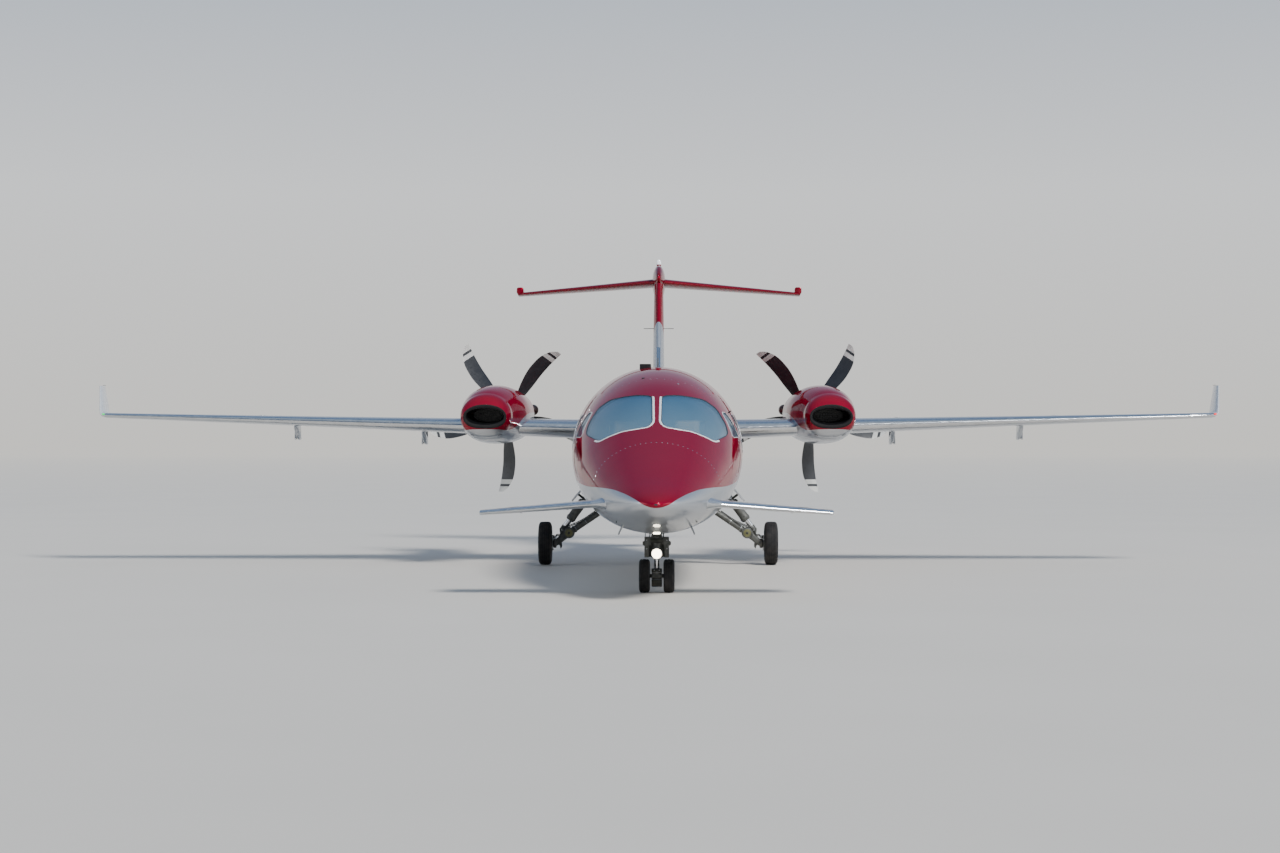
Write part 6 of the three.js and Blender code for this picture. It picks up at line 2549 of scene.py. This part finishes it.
        settle(piece, "nose_fork", "gear_grey", ["nose_fork"])

    def _wheels(self) -> None:
        """Builds the twin wheels on their common axle."""
        s, z, half = self.station, self.z, self.width / 2
        rim = Form().lathe([(-self.x, 0), (-self.x, self.bore), (self.x, self.bore), (self.x, 0)], (0, s, z),
                           ACROSS, 1, 32)
        outline = [(-0.8, 0), (-0.8, self.bore + 10), (-0.7, self.bore + 15), (-0.3, self.rim - 30),
                   (-0.36, self.rim - 20), (-0.74, self.rim - 11), (-0.8, self.rim - 5), (-0.76, self.rim),
                   (0.76, self.rim), (0.8, self.rim - 5), (0.74, self.rim - 11), (0.36, self.rim - 20),
                   (0.3, self.rim - 30), (0.62, self.bore + 14), (0.8, self.bore + 8), (0.8, 0)]
        for way in Side:
            hub = (way * self.x, s, z)
            rim.lathe([(a * half, r) for a, r in outline], hub, (way, 0, 0), 0, 56)
            for number in range(6):
                turn = 2 * math.pi * number / 6
                spot = Vector(hub) + Vector((0, 50 * math.cos(turn), 50 * math.sin(turn)))
                rim.lathe([(22, 0), (22, 5), (30, 5), (31, 0)], spot, (way, 0, 0), 2, 6)
            tyre = Form().lathe(tyre_profile(self.radius, self.rim, self.width, (0.3,)), hub, ACROSS, 0, 88)
            settle(tyre.piece("nose_tyre_tread_" + way.word, (Look.TYRE,), sharp=50), "nose_wheels", "tyre",
                   ["nose_tyre_" + way.word])
        piece = rim.piece("nose_rim_bodies", (Look.WORN_METAL, Look.GEAR_DARK, Look.CHROME), bevel=0.8)
        settle(piece, "nose_wheels", "wheel_alloy", ["nose_rims"])

    def _well(self) -> None:
        """Builds the primed walls of the wheel well, with their ribs."""
        first, last, half, top = self.well
        form = Form()
        for x in (-half, half):
            side = 1 if x > 0 else -1
            form.block((x - 3 * side, first + 1, 640), (x, last - 1, top - 1), 0)
            form.block((x - 9 * side, first + 60, 660), (x - 3 * side, first + 78, top - 20), 0)
            form.block((x - 9 * side, last - 110, 660), (x - 3 * side, last - 92, top - 20), 0)
        settle(form.piece("nose_well_lining", (Look.WELL,), bevel=1), ROOT, "trim")


@dataclass(frozen=True)
class Cushion:
    """A foam cushion in its cover: crowned, drawn in between its corners and sewn in channels.

    width, depth and height are its size, channels the number of sewn lines, crown how far the middle
    rises, and pull how far the sides are drawn in.
    """

    width: float
    depth: float
    height: float
    channels: int = 0
    crown: float = 12.0
    pull: float = 7.0
    groove: float = 6.0
    count: int = 22

    def form(self, lay: Callable[[float, float, float], Vector]) -> Form:
        """Returns the closed form.

        Args:
            lay: turns a place across, along and up from the cushion's middle into a place.

        Returns:
            The cushion with the piping round its two faces.
        """
        form, edge = Form(), 2 * math.pi
        shares = [math.sin(math.pi / 2 * (k / self.count * 2 - 1)) for k in range(self.count + 1)]
        for face in (1, -1):
            grid = [lay(*self._place(u, v, face)) for v in shares for u in shares]
            width = self.count + 1
            form.add(grid, [(r * width + c, r * width + c + 1, (r + 1) * width + c + 1, (r + 1) * width + c)
                            for r in range(self.count) for c in range(self.count)])
        for face in (1, -1):
            line = []
            for k in range(48):
                a, b = (math.copysign(abs(f(edge * k / 48)) ** 0.25, f(edge * k / 48))
                        for f in (math.cos, math.sin))
                x, y, _ = self._place(a, b, face)
                line.append(lay(x * 0.996, y * 0.996, face * self.height * 0.27))
            form.tube([*line, line[0]], 3.2, 0, 6)
        return form

    def _place(self, u: float, v: float, face: int) -> Place:
        """Returns where a share of the width and of the depth lies on one face.

        Args:
            u: share of half the width, from -1 to 1.
            v: share of half the depth, from -1 to 1.
            face: 1 for the upper face, -1 for the lower.

        Returns:
            The place from the cushion's middle.
        """
        x = u * math.sqrt(1 - v * v * 0.06) * (self.width / 2 - self.pull * (1 - v * v) * abs(u))
        y = v * math.sqrt(1 - u * u * 0.06) * (self.depth / 2 - self.pull * (1 - u * u) * abs(v))
        rim = max(1 - max(abs(u), abs(v)) ** 5, 0.0) ** 0.5
        dome = (1 - u * u) * (1 - v * v)
        z = face * rim * (self.height / 2 - self.crown + self.crown * dome)
        for k in range(1, self.channels + 1):
            at = (2 * k / (self.channels + 1) - 1)
            z -= face * rim * self.groove * math.exp(-(((u - at) * self.width / 2 / 7) ** 2))
        return x, y, z


@dataclass(frozen=True)
class Seat:
    """One seat: x of its middle, station of its back, and 1 when it faces aft or -1 forward."""

    x: float
    rear: float
    way: int

    def lay(self, across: float, ahead: float, z: float) -> Vector:
        """Turns a place across and ahead of the seat's back into a place of the aircraft."""
        return Vector((self.x + across, self.rear + self.way * ahead, z))

    def cushions(self, name: str) -> list[Piece]:
        """Builds the seat, the back and the headrest.

        Args:
            name: the seat's name.

        Returns:
            The three pieces.
        """
        plan = (("seat", Cushion(452, 352, 134, 3), (0, 288, 1062), 0.0),
                ("back", Cushion(440, 452, 98, 3), (0, 58, 1352), 90.0),
                ("head", Cushion(270, 190, 84, 0, 9.0), (0, 60, 1686), 90.0))
        pieces = []
        for part, cushion, (across, ahead, z), lean in plan:
            tilt = math.radians(lean)

            def lay(u: float, v: float, w: float, at: Place = (across, ahead, z),
                    tilt: float = tilt) -> Vector:
                """Turns a place of the cushion into a place of the aircraft."""
                return self.lay(at[0] + u, at[1] + v * math.cos(tilt) + w * math.sin(tilt),
                                at[2] + v * math.sin(tilt) + w * math.cos(tilt))
            piece = cushion.form(lay).piece(f"{name}_{part}", (Look.HIDE,), sharp=70)
            settle(piece, ROOT, "leather")
            pieces.append(piece)
        return pieces

    def frame(self, form: Form) -> None:
        """Adds the seat's legs, pan, arm rests and headrest posts to a form.

        Args:
            form: the form that gets them.
        """

        def box(low: Place, high: Place, slot: int) -> None:
            """Adds a block between two places across, ahead and up from the seat's back."""
            a, b = self.lay(*low), self.lay(*high)
            form.block([min(p, q) for p, q in zip(a, b)], [max(p, q) for p, q in zip(a, b)], slot)
        box((-64, 70, 752), (64, 400, 940), 0)
        box((-200, 60, 941), (200, 440, 990), 0)
        for side in Side:
            box((side * 205, 112, 1000), (side * 228, 400, 1020), 0)
            box((side * 206, 130, 1021), (side * 226, 165, 1180), 0)
            box((side * 196, 112, 1181), (side * 229, 420, 1214), 1)
            form.tube([self.lay(side * 60, 58, 1560), self.lay(side * 60, 58, 1620)], 7, 2, 10)
        box((-205, 2, 1000), (205, 9, 1560), 1)


@dataclass
class Cabin:
    """The cockpit and the cabin: floor, end wall, seats, instrument panel and what is on it."""

    floor_z: float = 730.0
    lining: float = 51.0
    pilots: tuple[Seat, ...] = (Seat(330.0, 3470.0, -1), Seat(-330.0, 3470.0, -1))
    rows: tuple[tuple[float, int], ...] = ((4480.0, 1), (6030.0, -1), (6670.0, -1))

    def build(self) -> None:
        """Builds the furnishings."""
        self._floor()
        self._seats()
        self._panel()

    @staticmethod
    def _room(first: float, last: float, inset: float) -> Form:
        """Returns the space inside the skin between two stations."""
        return Form().loft(SKIN.rings(steps(first, last, 80), 64, inset))

    def _floor(self) -> None:
        """Builds the carpeted floor and the end wall."""
        piece = Form().block((-1000, 2500.3, self.floor_z - 30), (1000, 7369.5, self.floor_z)).piece(
            "cabin_carpet", (Look.CARPET,))
        sill = Form().loft(SKIN.rings(steps(3792, 4418, 80), 64)).piece("sill")
        carve(sill, [self._room(3740, 4470, 58)])
        carve(sill, [Form().block((0, 3700, 300), (1200, 4500, 2600))], Cut.KEEP)
        carve(piece, [self._room(2490, 7400, self.lining)], Cut.KEEP)
        settle(carve(piece, [sill]), ROOT, "trim", ["floor"])
        wall = self._room(7370.2, 7399.8, self.lining).piece("end_wall", (Look.LINING,))
        settle(wall, ROOT, "trim", ["rear_bulkhead"])

    def _seats(self) -> None:
        """Builds every seat with its cushions."""
        finishes = (Look.GEAR_DARK, Look.LINING, Look.CHROME)
        form = Form()
        for number, seat in enumerate(self.pilots):
            seat.frame(form)
            seat.cushions(f"pilot_{number + 1}")
        for x in (-395, -265, 265, 395):
            form.block((x - 12, 3040, 730.4), (x + 12, 3440, 751), 2)
        settle(form.piece("pilot_seat_frames", finishes, bevel=2.5), ROOT, "leather", ["pilot_seats"])
        for side in Side:
            form = Form()
            for number, (rear, way) in enumerate(self.rows):
                seat = Seat(side * 425.0, rear, way)
                seat.frame(form)
                seat.cushions(f"cabin_{side.word}_{number + 1}")
            for x in (372, 456):
                form.block((side * x - 10, 4480, 730.4), (side * x + 10, 6660, 751), 2)
            settle(form.piece(f"cabin_seat_frames_{side.word}", finishes, bevel=2.5), ROOT, "leather",
                   [f"cabin_seats_{side.word}"])

    def _panel(self) -> None:
        """Builds the instrument panel with its displays, coaming, levers and control wheels."""
        base = Form().plate([(2560, 1180), (2640, 1180), (2757, 1472), (2560, 1520), (2500, 1474)], Axis.X,
                            -1000, 1000)
        settle(carve(base.piece("instrument_panel_body", (Look.PANEL,)),
                     [self._room(2400, 2900, self.lining)], Cut.KEEP), ROOT, "panel_black",
               ["instrument_panel"])
        hood = Form().plate([(2496, 1478), (2560, 1526), (2762, 1478), (2779, 1487), (2766, 1500),
                             (2560, 1546), (2489, 1494)], Axis.X, -1000, 1000)
        hood = hood.piece("coaming", (Look.CARPET,), sharp=25)
        settle(carve(hood, [self._room(2400, 2900, self.lining + 1)], Cut.KEEP), ROOT, "panel_black")
        form, face = Form(), Vector((0, 117, 292)).normalized()
        out = Vector((0, face.z, -face.y))

        def on_face(x: float, up: float, rise: float) -> Vector:
            """Returns a place over the panel's face."""
            return Vector((x, 2640, 1180)) + face * up + out * rise

        def tile(x: float, up: float, half: float, tall: float, rise: float, slot: int) -> None:
            """Adds a rounded plate that stands on the panel's face."""
            outline = rounded([(-half, -tall), (half, -tall), (half, tall), (-half, tall)], 8, 3)
            form.loft([[on_face(x + a, up + b, r) for a, b in outline] for r in (0.4, rise)], slot)
        for x in (-440, 0, 440):
            tile(x, 170, 126, 96, 9, 0)
            tile(x, 170, 110, 80, 10.2, 1)
        for x in (-225, 225):
            tile(x, 205, 60, 56, 7, 0)
            tile(x, 205, 50, 46, 8, 1)
            for k in (-1, 0, 1):
                form.lathe([(0, 0), (0, 9), (13, 8), (13, 0)], on_face(x + 38 * k, 110, 0.5), out, 2, 14)
        for x in (-330, 330):
            form.tube([on_face(x, 60, 0.5), on_face(x, 60, 30), Vector((x, 2738, 1232))], 13, 2, 16)
            wheel = [(-128, 95), (-150, 60), (-148, 10), (-110, -22), (-40, -8), (0, -2), (40, -8),
                     (110, -22), (148, 10), (150, 60), (128, 95)]
            line = [row_at(wheel, k) for k in steps(0, len(wheel) - 1, 0.25)]
            form.tube([(x + a, 2752, 1240 + b) for a, b in line], 12, 0, 12)
            form.block((x - 34, 2739, 1218), (x + 34, 2764, 1250), 0)
        form.plate([(2610, 731), (2778, 731), (2778, 1050), (2735, 1120), (2655, 1176), (2610, 1176)], Axis.X,
                   -104, 104, 0)
        for number, x in enumerate((-46, -22, 22, 46)):
            top = Vector((x, 2752 + (number % 2) * 4, 1172))
            form.tube([Vector((x, 2716, 1134)), top], 4, 3, 8)
            form.lathe([(-16, 0), (-14, 9), (0, 12), (14, 9), (16, 0)], top, ACROSS, 2 if number < 2 else 4,
                       14)
        settle(form.piece("cockpit_controls", (Look.PANEL, Look.SCREEN, Look.BLACK, Look.CHROME, Look.RED),
                          bevel=1.2), ROOT, "panel_black")


@dataclass
class DoorFittings:
    """The folding steps of the cabin door, and the handles of the upper door and the baggage door."""

    stations: Pair = (3892.0, 4318.0)
    turns: Pair = (-22.0, -36.0)

    def build(self) -> None:
        """Builds the steps and the handles."""
        for turn in self.turns:
            for low, high, near, far, slot in ((-1.5, 1.3, 51.0, 149.0, 0), (1.32, 1.75, 62.0, 140.0, 1)):
                piece = Form()
                piece.plate(rays_from(Fuselage.door_z, (turn + low, turn + high)), Axis.Y, self.stations[0]
                            + 10 * slot, self.stations[1] - 10 * slot)
                tread = carve(piece.piece("tread", (Look.WORN_METAL if slot == 0 else Look.BLACK,)), [
                    Form().loft(SKIN.rings(steps(3850, 4360, 60), 192, near))], Cut.KEEP)
                carve(tread, [Form().loft(SKIN.rings(steps(3830, 4380, 60), 192, far))])
                tread.name = f"door_step_{'tread' if slot else 'box'}_{abs(int(turn))}"
                settle(tread, "door_lower", "paint_silver")
        self._handle(4305.0, 1440.0, "door_upper", "door_upper_handle")
        self._handle(9860.0, 1450.0, "baggage_door", "baggage_door_handle")

    @staticmethod
    def _handle(station: float, z: float, body: str, name: str) -> None:
        """Builds a flush handle in its cup.

        Args:
            station: distance behind the tip of the nose.
            z: height above the ground.
            body: the door that carries it.
            name: the piece's name.
        """
        form = Form()
        for half, tall, low, high, slot in ((70, 20, -4, 0.8, 0), (62, 8, 0.9, 3.4, 1),
                                            (12, 12, 0.9, 4.2, 1)):
            rings = []
            for rise in (low, high):
                ring = []
                for a, b in ellipse(half, tall, 28, 0.6):
                    place = skin_place(station + a, z + b, Side.LEFT)
                    ring.append(place + SKIN.normal(place) * rise)
                rings.append(ring)
            form.loft(rings, slot)
        settle(form.piece(name, (Look.SEAL, Look.CHROME)), body, "paint_red")


@dataclass
class Fittings:
    """The aerials, probes, lamps, vents, caps, access panels and fasteners on the skins."""

    nose_seam: float = 1598.0
    cabin_seam: float = 3718.0
    screws: int = 34
    exit: tuple[float, float, float, float] = (4870.0, 5400.0, 1300.0, 2020.0)
    cap_depth: float = 96.0

    def build(self) -> None:
        """Builds the fittings of the fuselage and of the wings."""
        self._probes()
        self._crown()
        self._fasteners()
        self._panels()
        self._wing_fittings()
        self._tail_cap()

    def _tail_cap(self) -> None:
        """Builds the moulded cap that rounds off the tail cone's end."""
        last = SKIN.rings([Fuselage.joins[-1]], Fuselage.around)[0]
        middle = sum(last, Vector()) / len(last)
        rings = []
        for k in range(12):
            turn = math.radians(90 * k / 11.3)
            rings.append([middle + (place - middle) * math.cos(turn)
                          + Vector((0, self.cap_depth * math.sin(turn), 0)) for place in last])
        piece = Form().loft(rings).piece("tail_cap", (Look.FUSELAGE,), sharp=70)
        settle(piece, ROOT, "composite_red")

    def _button(self, form: Form, place: Vector, radius: float, rise: float, slot: int,
                sides: int = 10) -> None:
        """Adds a low round head that stands on the skin.

        Args:
            form: the form that gets it.
            place: the place in millimetres.
            radius: the head's radius.
            rise: how far it stands out.
            slot: finish number.
            sides: number of flats round it.
        """
        out = SKIN.normal(place)
        form.lathe([(-2, 0), (-2, radius), (rise * 0.6, radius * 0.9), (rise, radius * 0.5), (rise, 0)],
                   place, out, slot, sides)

    def _probes(self) -> None:
        """Builds the pitot heads, the angle vanes, the belly lamp and the drain."""
        form = Form()
        for side in Side:
            path = [(side * 334, 1404, 722), (side * 352, 1400, 682), (side * 376, 1390, 634),
                    (side * 379, 1372, 624), (side * 379, 1250, 624)]
            form.tube(path, [13, 10, 8, 8, 6], 0, 14)
            form.lathe([(0, 8), (0, 26), (5, 24), (5, 8), (0, 8)], path[0], (side * 0.6, 0, -0.8), 2, 20)
            probe = [(side * 362, 1330, 776), (side * 398, 1326, 762), (side * 402, 1318, 748),
                     (side * 402, 1250, 742)]
            form.tube(probe, [9, 7, 6, 4], 1, 12)
        form.tube([(-117, 1960, 616), (-118, 1964, 572)], 5, 0, 10)
        housing = rounded([(-47, 606), (47, 606), (47, 652), (-47, 652)], 14, 4)
        form.plate(housing, Axis.Y, 1648, 1752, 2)
        settle(form.piece("nose_probes", (Look.WORN_METAL, Look.BLACK, Look.BOOT), sharp=40), ROOT,
               "paint_silver")
        glass = Form().plate(rounded([(-37, 611), (37, 611), (37, 647), (-37, 647)], 12, 4), Axis.Y, 1643,
                             1647.6)
        settle(glass.piece("belly_lamp_glass", (Look.LAMP,)), ROOT, "glazing")

    def _crown(self) -> None:
        """Builds the aerials over the cabin and under it, and the two vents ahead of them."""
        form = Form()
        base = rounded([(-206, 4950), (-73, 4950), (-73, 5190), (-206, 5190)], 22, 5)
        form.loft([[(x + (1 - share) * (-140 - x), y, z) for x, y in base] for z, share in
                   ((2376, 1.0), (2432, 1.0), (2441, 0.95))], 0)
        for station, height, chord in ((6650, 150, 210), (8700, 120, 170)):
            top = SKIN.point(station, math.pi / 2).z
            rings = [[(a * 11 * share, station + lean + b * chord / 2 * share, top + z)
                      for a, b in ellipse(1, 1, 24)]
                     for z, share, lean in ((-14, 1.0, 0), (height * 0.5, 0.8, 34), (height - 6, 0.58, 66),
                                            (height, 0.4, 70))]
            form.loft(rings, 0)
        for station, drop, chord in ((4700, 110, 190), (6100, 90, 150)):
            low = SKIN.at(station)[2]
            rings = [[(a * 10 * share, station + lean + b * chord / 2 * share, low + z)
                      for a, b in ellipse(1, 1, 24)]
                     for z, share, lean in ((14, 1.0, 0), (-drop * 0.5, 0.8, 30), (-drop + 5, 0.58, 58),
                                            (-drop, 0.4, 62))]
            form.loft(rings, 0)
        spot = SKIN.point(3800, math.radians(99.5))
        self._button(form, spot, 20, 7, 0, 20)
        self._button(form, SKIN.point(3560, math.radians(75.5)), 11, 5, 1, 16)
        settle(form.piece("aerials", (Look.BOOT, Look.CHROME), sharp=40), ROOT, "composite_silver")

    def _fasteners(self) -> None:
        """Builds the rows of screws beside the nose's joints."""
        form = Form()
        for k in range(self.screws + 1):
            turn = math.radians(8 + 164 * k / self.screws)
            self._button(form, SKIN.point(self.nose_seam, turn), 6.5, 2.0, 0, 8)
            self._button(form, SKIN.point(self.cabin_seam, turn), 5.0, 1.6, 0, 8)
        settle(form.piece("skin_fasteners", (Look.CHROME,)), ROOT, "paint_red")

    def _panels(self) -> None:
        """Builds the joints round the hatches: the emergency exit and the tail's access panels."""
        form, seam = Form(), Strip(4.5, 0.35, out=0, sink=3)
        first, last, low, high = self.exit
        outlines = [(rounded([(first, low), (last, low), (last, high), (first, high)], 120, 8),
                     (Side.RIGHT,)), (rounded([(8620, 1420), (8960, 1420), (8960, 1700), (8620, 1700)], 40,
                                              4), Side),
                    (rounded([(10750, 1560), (11120, 1600), (11120, 1830), (10750, 1830)], 40, 4), Side)]
        for outline, sides in outlines:
            for side in sides:
                line = []
                for k, here in enumerate(outline):
                    after = outline[(k + 1) % len(outline)]
                    count = max(1, round(math.dist(here, after) / 60))
                    line += [skin_place(here[0] + (after[0] - here[0]) * n / count,
                                        here[1] + (after[1] - here[1]) * n / count, side)
                             for n in range(count)]
                seam.add_to(form, line if side is Side.LEFT else line[::-1], 0)
        settle(form.piece("panel_joints", (Look.SEAL,), sharp=60), ROOT, "paint_red")

    def _wing_fittings(self) -> None:
        """Builds the filler caps and the static wicks of the wings."""
        form, foil = Form(), Wing().foil
        for side in Side:
            for x, share in ((3050, 0.34), (5050, 0.34)):
                ring = foil.ring(x)
                lead, chord = foil.at(x)[:2]
                at = min((p for p in ring if p.z > foil.at(x)[2]),
                         key=lambda p: abs((p.y - lead) / chord - share))
                form.lathe([(-4, 0), (-4, 44), (1.0, 43), (1.6, 38), (1.2, 34), (1.6, 0)],
                           (side * x, at.y, at.z), (0, 0.03, 1), 0, 32)
            for x in (6180, 6420, 6660, 6860):
                lead, chord, z, _ = foil.at(x)
                form.tube([(side * x, lead + chord - 12, z), (side * x, lead + chord + 96, z - 4)],
                          [3.2, 2.0], 1, 8)
        settle(form.piece("wing_fittings", (Look.WORN_METAL, Look.BLACK)), ROOT, "wing_silver")


@dataclass
class Studio:
    """The pale floor, the soft lights, and the camera where the photograph was taken from."""

    eye: Place = (0.0745, -30.805, 1.545)
    focal_px: float = 2489.0
    width_px: float = 1280.0
    height_px: float = 853.0
    ahead_px: Pair = (664.0, 442.0)
    sensor: float = 36.0
    horizon: str = "dfddd8"
    floor_reach: float = 400000.0
    sun_power: float = 4.3
    sun_degrees: float = 14.0

    def build(self) -> None:
        """Builds the floor, the lights and the camera."""
        self._camera()
        self._floor()
        self._lights()

    def _camera(self) -> None:
        """Sets up the camera: it looks along the aircraft, turned a little so that the frame matches."""
        lens = bpy.data.cameras.new("portrait")
        lens.sensor_width = self.sensor
        lens.lens = self.focal_px / self.width_px * self.sensor
        lens.clip_end = 3000
        camera = bpy.data.objects.new("portrait", lens)
        bpy.context.scene.collection.objects.link(camera)
        yaw = math.atan((self.ahead_px[0] - self.width_px / 2) / self.focal_px)
        pitch = math.atan((self.ahead_px[1] - self.height_px / 2) / self.focal_px)
        aim = Vector((-math.sin(yaw), math.cos(yaw) * math.cos(pitch), math.sin(pitch)))
        camera.rotation_mode = "QUATERNION"
        camera.rotation_quaternion = aim.to_track_quat("-Z", "Y")
        camera.location = self.eye
        bpy.context.scene.camera = camera

    def _floor(self) -> None:
        """Builds a wide pale floor."""
        reach = self.floor_reach
        form = Form().add([(-reach, -reach, 0), (reach, -reach, 0), (reach, reach, 0), (-reach, reach, 0)],
                          [(0, 1, 2, 3)])
        floor = form.piece("floor")
        material, surface = new_material("pale_floor")
        tree = material.node_tree
        shade = mixed(tree, spread(tree, mottle(tree, 3000, 5.0), 0.0, 0.25), "d3cdc3", "c6c0b5")
        set_inputs(surface, {"Base Color": shade, "Roughness": 0.6})
        distance = add_node(tree, "ShaderNodeVectorMath", {"operation": "LENGTH"}, {0: object_space(tree)})
        far = spread(tree, distance.outputs["Value"], 0.0, 1.0, 40.0, 260.0)
        haze = add_node(tree, "ShaderNodeEmission", {"Color": linear(self.horizon), "Strength": 1.15})
        blend = add_node(tree, "ShaderNodeMixShader",
                         links={0: far, 1: surface.outputs[0], 2: haze.outputs[0]})
        end = next(node for node in tree.nodes if node.type == "OUTPUT_MATERIAL")
        tree.links.new(blend.outputs[0], end.inputs["Surface"])
        floor.data.materials.append(material)

    def _lights(self) -> None:
        """Builds the sky's soft light and the big lamps."""
        world = bpy.data.worlds.new("studio")
        bpy.context.scene.world = world
        world.use_nodes = True
        tree = world.node_tree
        tree.nodes.clear()
        place = add_node(tree, "ShaderNodeTexCoord")
        split = add_node(tree, "ShaderNodeSeparateXYZ", links={0: place.outputs["Generated"]})
        ramp = add_node(tree, "ShaderNodeValToRGB", links={0: split.outputs[2]})
        stops = ((0.0, self.horizon), (0.1, "e6e8ea"), (0.26, "98abc4"), (0.55, "56749e"), (0.8, "7c94b2"),
                 (1.0, "aab8c8"))
        while len(ramp.color_ramp.elements) < len(stops):
            ramp.color_ramp.elements.new(0.5)
        for element, (where, colour) in zip(ramp.color_ramp.elements, stops):
            element.position = where
            element.color = linear(colour)
        shade = spread(tree, split.outputs[1], 0.5, 1.15, -0.9, 0.1)
        sky = add_node(tree, "ShaderNodeBackground", links={"Color": ramp.outputs[0], "Strength": shade})
        add_node(tree, "ShaderNodeOutputWorld", links={"Surface": sky.outputs[0]})
        sun = bpy.data.lights.new("key", "SUN")
        sun.energy, sun.angle = self.sun_power, math.radians(self.sun_degrees)
        for name, light, spot in (("key", sun, (14000, -16000, 27000)),
                                  ("left", self._box("left", (14.0, 9.0), 900.0), (26000, 2000, 9000)),
                                  ("right", self._box("right", (14.0, 9.0), 700.0), (-28000, 6000, 9000))):
            lamp = bpy.data.objects.new(name, light)
            bpy.context.scene.collection.objects.link(lamp)
            lamp.location = place_of(*spot)
            aim = place_of(0, 6500, 1200) - lamp.location
            lamp.rotation_mode = "QUATERNION"
            lamp.rotation_quaternion = aim.to_track_quat("-Z", "Y")

    @staticmethod
    def _box(name: str, size: Pair, power: float) -> bpy.types.Light:
        """Returns a soft box of a size in metres and a power in watts.

        Args:
            name: the light's name.
            size: its width and height.
            power: its power.

        Returns:
            The light.
        """
        light = bpy.data.lights.new(name, "AREA")
        light.shape, light.size, light.size_y, light.energy = "RECTANGLE", *size, power
        return light


PARTS = (Studio(), Fuselage(), Cabin(), DoorFittings(), Wing(), Foreplane(), Tail(), Nacelle(), Engine(),
         Propeller(), MainGear(), NoseGear(), Fittings())


def main() -> None:
    """Builds the studio and every part of the aircraft, in order."""
    logging.basicConfig(level=logging.INFO, format="%(message)s")
    for part in PARTS:
        LOG.info("building the %s", type(part).__name__.lower())
        part.build()


if __name__ == "__main__":
    main()
